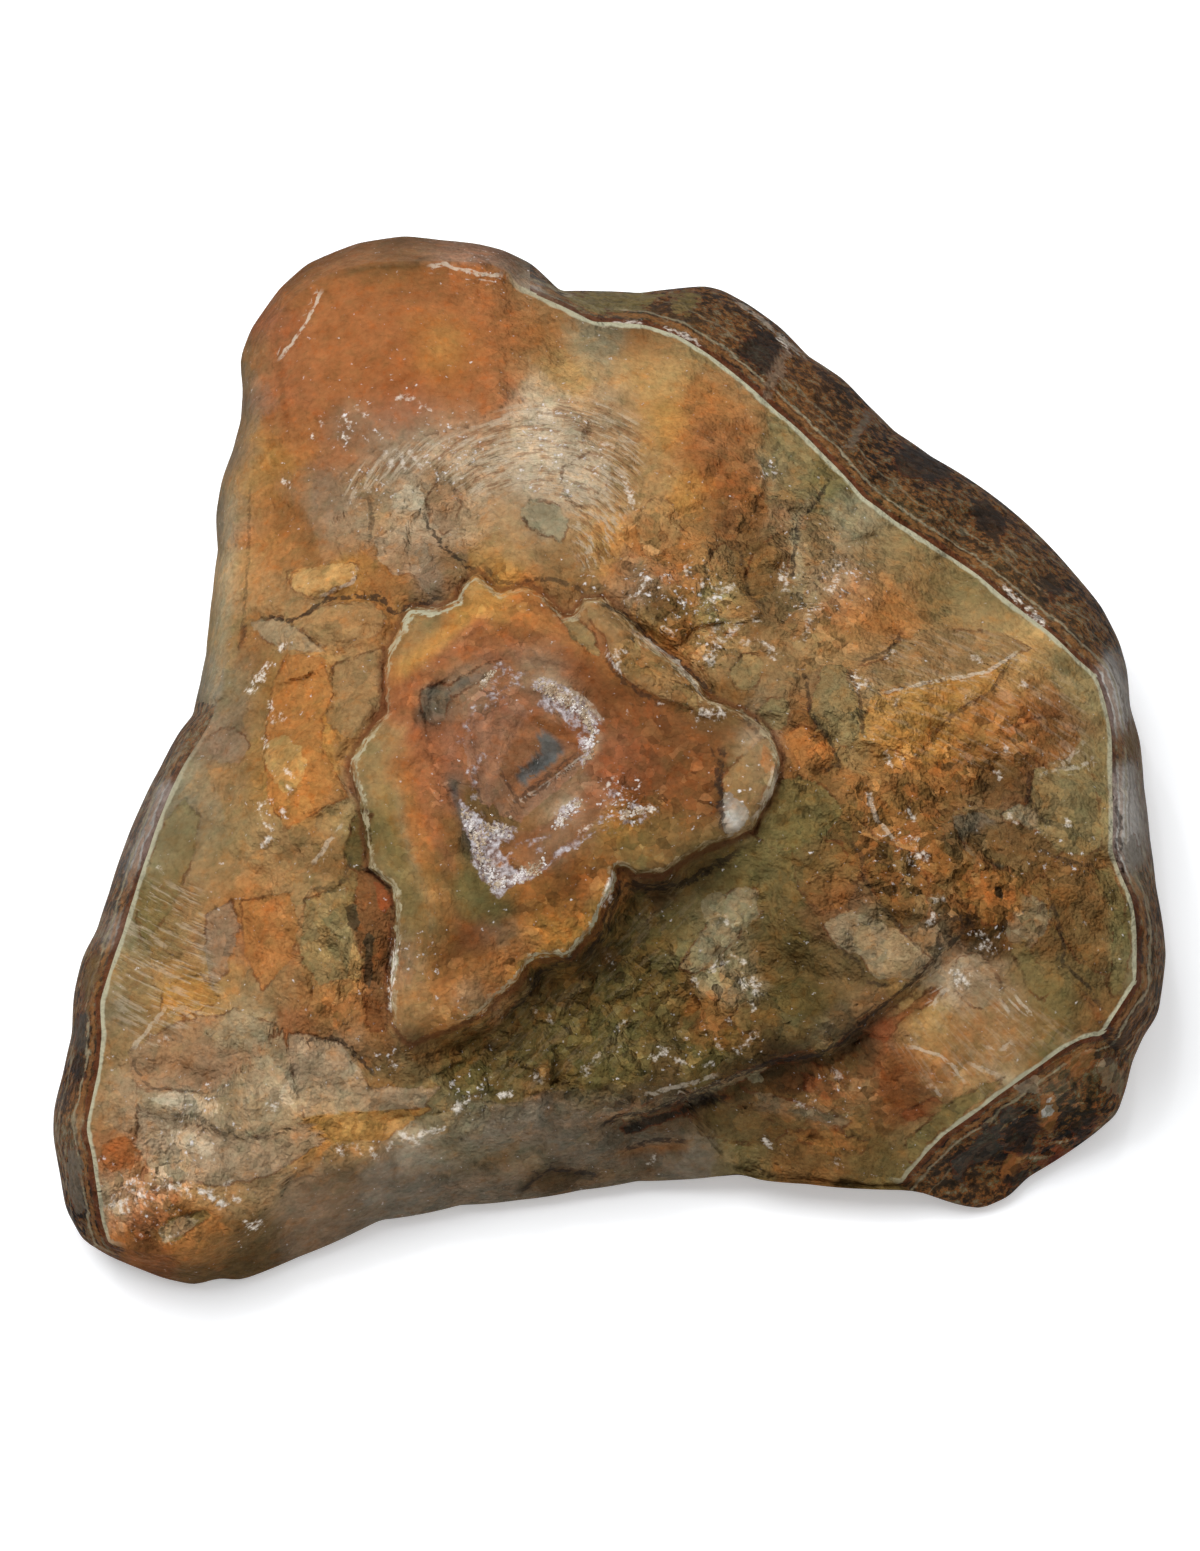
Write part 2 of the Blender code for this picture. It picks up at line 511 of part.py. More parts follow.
def skin_sheet():
    """The grid, with a copy of its edge a step lower for each hidden ring, closed at the end."""
    sheet = bmesh.new()
    bmesh.ops.create_grid(sheet, x_segments=GRID, y_segments=GRID, size=1.0)
    edges = [edge for edge in sheet.edges if edge.is_boundary]
    for _ in range(SIDE_RINGS + BASE_RINGS):
        pulled = bmesh.ops.extrude_edge_only(sheet, edges=edges)["geom"]
        moved = [item for item in pulled if isinstance(item, bmesh.types.BMVert)]
        edges = [item for item in pulled if isinstance(item, bmesh.types.BMEdge) and item.is_boundary]
        bmesh.ops.translate(sheet, verts=moved, vec=(0.0, 0.0, -1.0))
    bmesh.ops.contextual_create(sheet, geom=edges)
    return sheet


def shape_skin(sheet):
    """Moves every vertex of the sheet to its place on the stone."""
    flat = np.array([vert.co for vert in sheet.verts], float)
    steps = np.rint(-flat[:, 2]).astype(int)
    places = np.zeros(flat.shape)
    seen = steps == 0
    places[seen] = seen_skin(flat[seen, 0], flat[seen, 1])

    on_edge = np.maximum(np.abs(flat[:, 0]), np.abs(flat[:, 1])) > 1.0 - 1e-6
    turns = disc_of(flat[:, 0], flat[:, 1])[0] % (2 * math.pi)
    rings = [np.flatnonzero(on_edge & (steps == step)) for step in range(steps.max() + 1)]
    rings = [ring[np.argsort(turns[ring])] for ring in rings]
    silhouette = places[rings[0]]
    for step in range(1, SIDE_RINGS + 1):
        places[rings[step]] = side_ring(silhouette, step / SIDE_RINGS)
    foot = places[rings[SIDE_RINGS]]
    for step in range(1, BASE_RINGS + 1):
        places[rings[SIDE_RINGS + step]] = base_ring(foot, step / BASE_RINGS)
    for vert, place in zip(sheet.verts, places):
        vert.co = Vector(place * MM)


def stone_material():
    material = bpy.data.materials.new("carnelian")
    material.use_nodes = True
    shader = material.node_tree.nodes["Principled BSDF"]
    shader.inputs["Base Color"].default_value = STONE_COLOUR
    shader.inputs["Roughness"].default_value = STONE_ROUGHNESS
    shader.inputs["Metallic"].default_value = 0.0
    return material


def make_stone():
    sheet = skin_sheet()
    shape_skin(sheet)
    bmesh.ops.triangulate(sheet, faces=sheet.faces)
    bmesh.ops.recalc_face_normals(sheet, faces=sheet.faces)
    mesh = bpy.data.meshes.new("carnelian_stone")
    sheet.to_mesh(mesh)
    sheet.free()
    mesh.shade_smooth()
    mesh.set_sharp_from_angle(angle=SHARP_ANGLE)
    mesh.materials.append(stone_material())
    stone = bpy.data.objects.new("carnelian_stone", mesh)
    fewer = stone.modifiers.new("fewer_faces", "DECIMATE")
    fewer.ratio = TRIANGLES / len(mesh.polygons)
    return stone


def main():
    for old in list(bpy.data.objects):
        bpy.data.objects.remove(old)
    collection = bpy.data.collections.new("raw_carnelian")
    bpy.context.scene.collection.children.link(collection)
    collection.objects.link(make_stone())


main()
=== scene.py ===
"""Raw carnelian, dressed: the broken agate piece with its colours, gloss, fine break and pit crystals.

The camera looks down at 60 degrees, as the photograph does. Outlines and colours are placed in the pixels
of that view, 7 of them to a millimetre, in a picture of 1200 by 1551. Heights are in millimetres above the
ground. A pixel and a height give a place on the stone, so what is placed by a pixel lies on the surface.
"""

import math

import bmesh
import bpy
import numpy as np
from mathutils import Matrix, Vector, noise


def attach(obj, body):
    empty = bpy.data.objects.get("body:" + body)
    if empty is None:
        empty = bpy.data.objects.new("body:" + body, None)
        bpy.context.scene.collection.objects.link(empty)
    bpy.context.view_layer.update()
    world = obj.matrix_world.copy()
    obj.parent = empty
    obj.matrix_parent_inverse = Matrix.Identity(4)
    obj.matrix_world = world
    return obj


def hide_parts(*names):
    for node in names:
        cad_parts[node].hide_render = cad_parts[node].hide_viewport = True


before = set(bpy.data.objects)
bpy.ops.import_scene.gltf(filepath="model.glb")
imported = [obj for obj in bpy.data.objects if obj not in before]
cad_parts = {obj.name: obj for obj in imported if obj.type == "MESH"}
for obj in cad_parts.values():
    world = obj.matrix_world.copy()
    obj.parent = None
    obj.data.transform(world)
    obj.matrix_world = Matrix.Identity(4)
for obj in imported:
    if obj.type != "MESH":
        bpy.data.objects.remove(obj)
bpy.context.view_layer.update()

# The tables are in millimetres, and the scene is in metres
MM = 0.001

# The view in which the stone is drawn
VIEW_ELEVATION = math.radians(60)
VIEW_DISTANCE = 1000.0
PIXELS_PER_MM = 7.0
VIEW_CENTRE = (600.0, 775.5)
AIM = np.array([-1.9, -10.8, 25.0])
FOCAL_PIXELS = PIXELS_PER_MM * VIEW_DISTANCE

# The skin's grid: its rings run along these edges
GRID = 260
RINGS = GRID // 2
PIT_FLOOR_RING = 12
PIT_RING = 27
PLATE_RING = 46
RIM_RING = 112

# The width of a small step on the plate, and of an edge elsewhere on the broken face, in millimetres
STEP_WIDTH = 0.9
EDGE_WIDTH = 1.8

# The hidden side: its rings, and its sizes in millimetres
SIDE_RINGS = 18
BASE_RINGS = 8
BACK_BULGE = 0.8
BASE_INSET = 7.0
SIDE_LUMPS = 2.2
SIDE_LUMP_SIZE = 16.0
BASE_WIDTH_SHARE = 0.4
BASE_HOLLOW = 2.2
BASE_LUMP_SIZE = 24.0

# How the hidden side runs down and in: the powers of its fall and of its inset
SIDE_FALL = 1.5
SIDE_CURVE = 2.5

# The middle of the crystal pit, from which every main outline is seen in full
HEART = (530.0, 765.0)

# The outline of the whole stone
SILHOUETTE = [
    (404, 236), (441, 240), (479, 244), (503, 250), (532, 264), (560, 291), (600, 291), (640, 293),
    (671, 289), (705, 286), (722, 290), (748, 304), (780, 327), (808, 356), (843, 379), (868, 405),
    (894, 431), (932, 457), (966, 477), (1000, 501), (1044, 540), (1073, 572), (1101, 606), (1119, 641),
    (1127, 669), (1130, 707), (1140, 741), (1144, 787), (1150, 839), (1156, 887), (1163, 925), (1166, 955),
    (1158, 1014), (1143, 1037), (1132, 1062), (1126, 1088), (1117, 1114), (1094, 1134), (1066, 1154),
    (1028, 1177), (1008, 1197), (980, 1209), (951, 1203), (922, 1192), (902, 1190), (865, 1189), (807, 1184),
    (760, 1180), (739, 1173), (675, 1180), (637, 1181), (581, 1190), (519, 1200), (460, 1205), (380, 1220),
    (356, 1232), (298, 1257), (241, 1280), (218, 1278), (195, 1285), (163, 1278), (140, 1269), (109, 1256),
    (83, 1240), (66, 1209), (60, 1174), (53, 1134), (54, 1108), (63, 1074), (72, 1034), (74, 993), (83, 956),
    (97, 930), (109, 893), (123, 850), (140, 808), (160, 768), (180, 731), (193, 715), (200, 684),
    (206, 655), (209, 624), (213, 590), (218, 550), (216, 515), (222, 480), (233, 450), (241, 420),
    (243, 390), (240, 361), (243, 350), (251, 329), (264, 310), (280, 288), (307, 264), (334, 252),
    (358, 243), (382, 239),
]

# The edge of the broken face
RIM = [
    (404, 262), (450, 262), (490, 264), (509, 273), (519, 288), (546, 299), (593, 322), (645, 325),
    (679, 336), (711, 356), (737, 376), (774, 409), (797, 428), (823, 454), (840, 471), (863, 497),
    (895, 521), (943, 552), (978, 575), (1001, 595), (1027, 615), (1053, 635), (1076, 658), (1096, 675),
    (1104, 698), (1111, 730), (1112, 787), (1112, 850), (1120, 873), (1132, 899), (1136, 925), (1136, 982),
    (1123, 1002), (1112, 1019), (1103, 1034), (1080, 1039), (1060, 1051), (1028, 1074), (1000, 1094),
    (974, 1114), (945, 1134), (928, 1151), (911, 1171), (902, 1182), (865, 1181), (807, 1176), (760, 1171),
    (735, 1163), (714, 1146), (690, 1115), (621, 1099), (551, 1114), (474, 1136), (440, 1130), (384, 1147),
    (341, 1166), (290, 1189), (258, 1217), (230, 1236), (195, 1250), (150, 1254), (109, 1243), (102, 1223),
    (97, 1189), (92, 1154), (86, 1128), (92, 1100), (99, 1068), (102, 1034), (100, 1002), (109, 973),
    (123, 933), (135, 893), (149, 850), (163, 810), (182, 768), (200, 740), (215, 715), (224, 680),
    (230, 640), (232, 600), (235, 560), (236, 520), (241, 490), (250, 460), (258, 430), (262, 390),
    (262, 355), (272, 330), (290, 302), (312, 284), (340, 270), (370, 263),
]

# The layered plate round the crystal pit, with its scalloped edge
PLATE = [
    (476, 575), (461, 590), (459, 601), (441, 610), (410, 610), (405, 617), (401, 631), (391, 648),
    (386, 669), (386, 684), (388, 713), (366, 739), (352, 762), (355, 779), (363, 805), (368, 842),
    (371, 868), (393, 885), (398, 908), (396, 941), (391, 981), (395, 1024), (410, 1041), (459, 1021),
    (486, 1008), (492, 998), (516, 981), (526, 961), (542, 955), (569, 955), (582, 938), (595, 925),
    (599, 908), (612, 888), (615, 865), (625, 865), (638, 873), (662, 872), (682, 858), (705, 845),
    (725, 839), (751, 829), (774, 785), (779, 759), (771, 736), (758, 722), (725, 706), (705, 699),
    (698, 683), (682, 669), (648, 643), (622, 613), (602, 600), (585, 601), (575, 616), (562, 618),
    (542, 596), (526, 588), (499, 595), (486, 585),
]

# The plate's rise, the dip of its middle with the distances from its edge over which it comes in, and the
# groove round it, in millimetres
PLATE_RISE = 2.0
PLATE_DISH = 1.6
PLATE_DISH_REACH = (2.0, 13.0)
PLATE_GROOVE = 0.6

# The plate's lower tip, which lies flatter: its pixel, the reach in millimetres, and the share of the rise
# that is gone there
PLATE_TIP = ((428, 1040), 5.0, 0.9)

# The crystal pit and the sunken square in it, with the depth of each in millimetres
PIT = [
    (520, 655), (585, 672), (636, 738), (640, 782), (590, 838), (500, 896), (455, 815), (425, 745),
    (428, 690), (470, 662),
]
PIT_DEPTH = 0.5
PIT_FLOOR = [(520, 690), (560, 700), (596, 738), (585, 765), (505, 838), (478, 780), (470, 725)]
PIT_FLOOR_DEPTH = 0.8

# The two lower steps of the square, down to the grey chevron
INNER_STEPS = [
    ([(520, 712), (548, 712), (578, 748), (514, 800), (496, 762)], 0.6),
    ([(536, 732), (552, 738), (566, 754), (520, 788), (512, 776), (538, 762)], 0.7),
]

# The scooped hollow below the plate: the side of it that the plate doesn't bound, its depth, and over
# which distances it drops, steeply from the plate and gently from its own rim, in millimetres
HOLLOW_RIM = [
    (396, 1030), (402, 1064), (440, 1098), (520, 1104), (600, 1090), (690, 1076), (770, 1046), (850, 1014),
    (880, 985), (845, 935), (815, 895), (800, 850), (752, 829),
]
HOLLOW_DEPTH = 6.5
HOLLOW_STEEP = (0.2, 4.0)
HOLLOW_GENTLE = (0.0, 11.0)

# The part of the plate's outline that bounds the hollow: the pixels below and to the right of these
HOLLOW_PLATE_TOP = 829
HOLLOW_PLATE_LEFT = 394

# Flat facets of the break: colour or none, lift of its middle in millimetres, slopes to the right and
# down, outline
FACETS = [
    ("dull_tan", 1.1, 0.02, 0.0, [
        (602, 596), (625, 626), (648, 640), (688, 673), (700, 693), (725, 708), (712, 716), (665, 699),
        (633, 685), (612, 664), (606, 640), (590, 622), (581, 600)]),
    ("dull_tan", 1.2, 0.1, 0.02, [
        (723, 774), (734, 763), (756, 743), (770, 734), (779, 752), (782, 767), (770, 792), (754, 823),
        (745, 832), (727, 841), (724, 823)]),
    ("gold", 0.9, 0.0, -0.06, [(287, 572), (340, 562), (359, 563), (356, 579), (318, 598), (292, 590)]),
    ("tan", 0.7, -0.05, 0.04, [
        (292, 622), (325, 604), (370, 602), (388, 615), (381, 633), (336, 650), (314, 639)]),
    ("dull_tan", 0.4, 0.08, 0.03, [(334, 664), (383, 647), (381, 706), (350, 740), (332, 729), (325, 715)]),
    ("orange", 1.2, 0.06, 0.0, [
        (287, 653), (323, 657), (334, 693), (323, 720), (323, 746), (347, 796), (318, 813), (285, 829),
        (267, 796), (265, 740), (274, 684)]),
    ("mauve_tan", 0.2, 0.0, -0.08, [
        (126, 1051), (178, 1022), (235, 1011), (284, 1031), (258, 1057), (235, 1074), (212, 1091),
        (138, 1090)]),
    ("grey_tan", 0.9, 0.0, 0.04, [
        (138, 1090), (212, 1091), (235, 1074), (258, 1057), (284, 1031), (295, 1094), (307, 1123),
        (241, 1139), (201, 1125), (138, 1110)]),
    ("pink_grey", 0.4, 0.05, 0.05, [
        (284, 1031), (341, 1042), (370, 1088), (439, 1088), (422, 1108), (307, 1123), (295, 1094)]),
    ("pink_grey", -0.2, 0.02, 0.08, [
        (138, 1110), (201, 1125), (241, 1139), (307, 1123), (327, 1140), (275, 1174), (224, 1186),
        (163, 1180), (135, 1151)]),
    ("dull_tan", 0.6, 0.0, 0.08, [
        (852, 668), (886, 658), (892, 644), (929, 629), (1001, 632), (1030, 648), (984, 673), (926, 683),
        (875, 694)]),
    ("amber", 1.2, 0.0, -0.07, [
        (875, 694), (926, 683), (984, 673), (1010, 662), (990, 690), (938, 722), (915, 758), (866, 740),
        (863, 718)]),
    ("khaki", 0.9, 0.04, 0.0, [
        (822, 668), (840, 662), (860, 701), (862, 738), (846, 750), (817, 730), (809, 712)]),
    ("grey_tan", 1.0, -0.04, 0.08, [
        (822, 925), (850, 910), (899, 930), (934, 960), (911, 979), (876, 979), (859, 955), (836, 948)]),
    ("grey_green", 1.6, 0.08, 0.04, [
        (678, 968), (728, 892), (755, 885), (761, 912), (725, 951), (695, 975)]),
    ("", 0.4, 0.0, 0.02, [
        (962, 952), (997, 965), (1037, 1011), (1089, 1011), (1100, 1036), (1000, 1090), (930, 1100),
        (860, 1045), (911, 1011), (934, 979)]),
    ("grey_tan", 0.2, 0.0, 0.0, [
        (252, 622), (280, 617), (293, 625), (312, 640), (325, 652), (300, 652), (282, 648), (262, 640)]),
    ("grey_tan", 0.3, 0.0, -0.05, [
        (205, 1030), (235, 1008), (255, 1018), (285, 1030), (262, 1045), (215, 1050)]),
    ("deep_carnelian", 0.2, 0.0, 0.0, [(100, 1145), (125, 1135), (140, 1150), (130, 1170), (105, 1170)]),
    ("amber", 0.3, 0.0, 0.05, [(300, 1117), (345, 1112), (430, 1108), (385, 1140), (330, 1142)]),
    ("khaki", 0.3, 0.0, 0.0, [(305, 900), (345, 885), (352, 925), (355, 975), (320, 985), (298, 955)]),
    ("orange", 0.3, 0.04, 0.0, [(240, 902), (290, 893), (300, 925), (290, 962), (262, 990), (245, 955)]),
    ("mauve_grey", 0.0, 0.0, 0.0, [(207, 915), (233, 898), (240, 930), (226, 972), (212, 990), (204, 955)]),
    ("amber", 0.2, 0.0, 0.0, [(165, 985), (200, 975), (222, 1000), (185, 1015), (160, 1010)]),
    ("olive", -0.3, 0.0, 0.0, [
        (160, 1235), (167, 1220), (205, 1208), (216, 1214), (190, 1230), (175, 1243)]),
    ("khaki", 0.4, 0.0, 0.0, [
        (755, 715), (767, 699), (786, 698), (792, 710), (786, 726), (772, 733), (760, 728)]),
    ("orange", 0.5, 0.0, 0.03, [(785, 737), (800, 725), (820, 730), (836, 750), (830, 763), (800, 767)]),
    ("olive", -0.3, 0.0, 0.0, [
        (772, 782), (800, 775), (830, 790), (842, 810), (828, 836), (800, 850), (772, 850), (755, 835)]),
    ("brown", 0.5, 0.03, 0.0, [
        (850, 810), (880, 840), (906, 850), (930, 880), (926, 918), (905, 930), (880, 900), (856, 860)]),
    ("khaki", 0.4, 0.03, -0.03, [
        (1035, 768), (1060, 768), (1087, 758), (1098, 790), (1103, 850), (1080, 856), (1056, 850),
        (1038, 838), (1029, 806)]),
    ("rust", 0.3, 0.0, 0.0, [(1000, 730), (1035, 718), (1062, 718), (1082, 737), (1073, 757), (1040, 765)]),
    ("brown", 0.4, 0.03, 0.0, [
        (1045, 872), (1075, 862), (1108, 880), (1116, 935), (1108, 978), (1078, 962), (1052, 920)]),
    ("grey", 0.3, 0.0, 0.0, [(1000, 902), (1030, 895), (1050, 908), (1047, 932), (1028, 950), (1008, 940)]),
    ("grey_green", 0.2, 0.0, 0.0, [(1000, 815), (1020, 803), (1038, 812), (1040, 838), (1018, 848)]),
    ("slate", 0.2, 0.0, 0.0, [(950, 815), (985, 812), (1005, 835), (1045, 858), (1000, 868), (962, 850)]),
    ("red_brown", -0.4, 0.0, 0.0, [
        (357, 868), (375, 874), (392, 892), (390, 920), (388, 960), (386, 1000), (388, 1030), (370, 1034),
        (362, 1005), (366, 980), (360, 955), (352, 930)]),
]

# Cracks, each with its depth and half its width in millimetres
CRACKS = [
    ([(478, 572), (468, 567), (441, 545), (430, 529), (422, 513)], 0.9, 0.7),
    ([
        (461, 595), (443, 597), (425, 603), (405, 607), (394, 615), (381, 598), (350, 597), (327, 598),
        (305, 615), (292, 621), (269, 617), (247, 624)], 1.3, 0.8),
    ([(590, 598), (625, 615), (651, 640), (678, 662), (700, 682), (722, 700)], 2.2, 0.9),
    ([(295, 1038), (341, 1039), (379, 1080)], 1.0, 0.8),
    ([(831, 474), (817, 502), (800, 520), (794, 551), (791, 588)], 0.7, 0.8),
    ([(1098, 1030), (1108, 1042), (1120, 1054), (1136, 1066)], 2.6, 1.0),
]

# The groove at the foot of a ledge, in millimetres, and the share of a crack or a ledge, at each of its
# ends, over which it closes
LEDGE_GROOVE = 0.8
CRACK_TAPER = 0.15

# Ledges: the face drops on the left of each line as it runs, by a depth that fades over a distance
LEDGES = [
    ([
        (985, 905), (950, 945), (920, 975), (870, 1015), (845, 1039), (819, 1055), (779, 1059), (700, 1090),
        (640, 1108)], 3.6, 20.0),
    ([(720, 1092), (680, 1102), (648, 1111), (616, 1117), (592, 1130)], 3.0, 4.0),
    ([(690, 1142), (655, 1140), (621, 1151)], 1.6, 3.0),
    ([(604, 1178), (584, 1172), (551, 1169), (535, 1178), (517, 1195)], 2.4, 4.0),
]

# Parts of the face that broke smoothly: pixel, half width in millimetres and how much smoother
CALM_PLACES = [
    ((385, 350), 18.0, 0.9), ((640, 380), 9.0, 0.5), ((1000, 1040), 14.0, 0.6), ((190, 860), 9.0, 0.6),
    ((1020, 600), 9.0, 0.5), ((540, 520), 10.0, 0.4),
]

# Spot heights of the broken face: pixel and millimetres above the ground
FACE_SPOTS = [
    ((404, 262), 41.0), ((390, 350), 44.5), ((270, 345), 37.0), ((300, 440), 40.0), ((250, 500), 35.0),
    ((440, 440), 44.5), ((509, 273), 39.0), ((560, 400), 44.5), ((593, 322), 39.5), ((711, 356), 40.5),
    ((700, 470), 46.0), ((520, 480), 47.0), ((797, 428), 40.5), ((943, 552), 38.5), ((1076, 658), 36.5),
    ((1112, 790), 35.5), ((1136, 950), 31.5), ((1103, 1034), 29.0), ((1000, 1094), 24.5),
    ((905, 1178), 11.5), ((807, 1176), 10.5), ((735, 1163), 11.0), ((530, 700), 50.0), ((530, 800), 49.0),
    ((400, 640), 47.5), ((370, 770), 46.5), ((395, 980), 41.0), ((620, 860), 47.0), ((740, 780), 47.0),
    ((650, 640), 49.0), ((232, 600), 34.0), ((300, 620), 42.5), ((215, 715), 33.5), ((260, 800), 41.5),
    ((149, 850), 31.5), ((100, 1010), 28.5), ((92, 1154), 24.0), ((109, 1243), 15.0), ((195, 1250), 17.5),
    ((258, 1217), 20.5), ((341, 1166), 24.0), ((440, 1130), 26.5), ((551, 1114), 27.0), ((621, 1099), 27.5),
    ((690, 1112), 25.0), ((250, 950), 36.5), ((200, 1100), 29.0), ((560, 1020), 37.5), ((760, 930), 42.5),
    ((900, 760), 44.5), ((830, 600), 46.0), ((1000, 860), 39.5), ((960, 1000), 35.0), ((860, 1100), 24.5),
    ((1010, 700), 41.0),
]

# Spot heights along the silhouette
SILHOUETTE_SPOTS = [
    ((404, 236), 30.0), ((503, 250), 29.0), ((560, 291), 28.0), ((705, 286), 26.0), ((868, 405), 24.0),
    ((1000, 501), 23.0), ((1119, 641), 20.0), ((1144, 787), 16.0), ((1166, 955), 12.5), ((1132, 1062), 9.0),
    ((1117, 1114), 7.0), ((1066, 1154), 3.5), ((980, 1209), 2.0), ((902, 1190), 8.0), ((807, 1184), 8.5),
    ((739, 1173), 7.5), ((675, 1180), 5.0), ((581, 1190), 4.0), ((519, 1200), 3.5), ((380, 1220), 4.0),
    ((298, 1257), 2.0), ((195, 1285), 1.5), ((109, 1256), 4.5), ((60, 1174), 10.0), ((63, 1074), 13.0),
    ((97, 930), 15.0), ((140, 808), 16.5), ((193, 715), 18.0), ((209, 624), 19.0), ((218, 550), 20.0),
    ((233, 450), 22.0), ((243, 350), 25.0), ((307, 264), 28.0),
]

# How round the side is between the rim and the silhouette: 0 is a straight slope, 1 a full round
ROUNDNESS_SPOTS = [
    ((404, 236), 0.5), ((705, 286), 0.45), ((1000, 501), 0.45), ((1144, 787), 0.8), ((1166, 955), 0.8),
    ((1066, 1154), 0.15), ((980, 1209), 0.1), ((902, 1190), 0.0), ((739, 1173), 0.0), ((519, 1200), 0.1),
    ((298, 1257), 0.15), ((109, 1256), 0.6), ((63, 1074), 0.8), ((140, 808), 0.8), ((209, 624), 0.8),
    ((243, 350), 0.8), ((307, 264), 0.6),
]

# Edges of the skin that are sharper than this are shown as edges
SHARP_ANGLE = math.radians(75)

# The break of the face: size, lift and seed of each layer of planes, how much calmer it is on the plate,
# and from how far outside it
BREAK_LAYERS = [(17.0, 1.5, 3.0), (8.0, 0.8, 11.0)]
PLATE_CALM = 0.85
PLATE_CALM_START = -3.0

# The fine break: size, lift and seed of each layer of small planes, how crisp they are, and the size, lift
# and seed of the grain, in millimetres
CHIP_LAYERS = [(6.5, 1.3, 21.0), (3.2, 0.8, 33.0)]
CHIP_CRISPNESS = 45.0
GRAIN = (1.6, 0.14, 51.0)

# The plate's thin layers: their spacing and lift, the size, lift and seed of the sway of their edges, and
# over which distances from the plate's edge they come in and go out, in millimetres
PLATE_LAYER = 1.5
PLATE_LAYER_LIFT = 0.22
PLATE_LAYER_SWAY = (6.0, 0.8, 61.0)
PLATE_LAYER_START = (0.3, 1.2)
PLATE_LAYER_END = (4.0, 8.0)
PLATE_LAYER_STEP = 0.3

# How rough the break is, from 0 to 1: in general, what a rough place adds, what a calm place and the plate
# take away, what a rough place has on the plate, and the least
PLAIN_ROUGHNESS = 0.55
ADDED_ROUGHNESS = 0.45
CALM_LOSS = 0.9
PLATE_LOSS = 0.55
ROUGHNESS_ON_PLATE = 0.7
SMOOTHEST = 0.18

# How the edges of colours wander: size in millimetres, reach in pixels, and a seed for each direction
WANDER_LAYERS = [(6.0, 9.0, 71.0, 73.0), (2.2, 5.0, 72.0, 74.0)]

# Between which shares of its half width a place fades out
PLACE_EDGE = (0.4, 1.2)

# How far outside an outline it is still read, in pixels: for facets, for patches and for lines
FACET_MARGIN = 12.0
PATCH_MARGIN = 20.0
LINE_MARGIN = 30.0

# Parts of the face that broke roughly: pixel, half width in millimetres and how rough
ROUGH_PLACES = [
    ((600, 1150), 13.0, 0.8), ((470, 1165), 9.0, 0.7), ((700, 600), 12.0, 1.0), ((580, 1030), 26.0, 1.0),
    ((740, 1020), 12.0, 1.0), ((930, 860), 22.0, 0.8), ((1070, 900), 12.0, 0.8), ((360, 950), 9.0, 0.9),
    ((420, 520), 12.0, 0.7), ((780, 560), 12.0, 0.7), ((850, 740), 12.0, 0.7), ((150, 1200), 12.0, 0.7),
    ((500, 780), 12.0, 0.5), ((640, 800), 6.0, 0.8), ((820, 1110), 16.0, 0.6), ((632, 655), 3.5, 1.0),
    ((665, 680), 4.0, 1.0), ((695, 700), 3.5, 1.0), ((475, 840), 4.0, 1.0), ((500, 872), 4.0, 1.0),
    ((570, 700), 4.0, 1.0), ((440, 700), 3.0, 0.8),
]

# Colours of the stone as the picture shows them, with a painted glare and a painted glint among them, red,
# green and blue from 0 to 255
PALETTE = {
    "carnelian": (153, 97, 58), "deep_carnelian": (149, 88, 48), "red": (140, 88, 60),
    "red_brown": (118, 74, 44), "rust": (138, 94, 54), "brown": (116, 86, 52), "umber": (98, 76, 48),
    "dark_brown": (72, 56, 38), "black": (40, 34, 30), "amber": (176, 128, 68), "orange": (162, 108, 60),
    "gold": (182, 144, 92), "tan": (156, 122, 82), "dull_tan": (142, 112, 76), "khaki": (132, 114, 78),
    "olive": (114, 100, 62), "moss": (98, 84, 50), "dark_moss": (86, 72, 42), "grey_green": (142, 130, 104),
    "grey_tan": (150, 130, 102), "grey": (120, 104, 82), "mauve_tan": (146, 114, 86),
    "mauve_grey": (134, 110, 88), "slate": (100, 90, 76), "blue_grey": (88, 87, 86),
    "pink_grey": (160, 136, 110), "quartz": (188, 168, 142), "pale": (214, 200, 178),
    "white_band": (176, 170, 142), "dark_red": (92, 50, 30), "frost": (222, 214, 208), "ash": (124, 111, 96),
    "clay": (126, 86, 62), "mauve_clay": (140, 102, 82), "painted_glare": (172, 167, 160), "painted_glint": (232, 220, 204),
    "dark_slate": (60, 56, 50), "deep_red": (134, 62, 32),
}

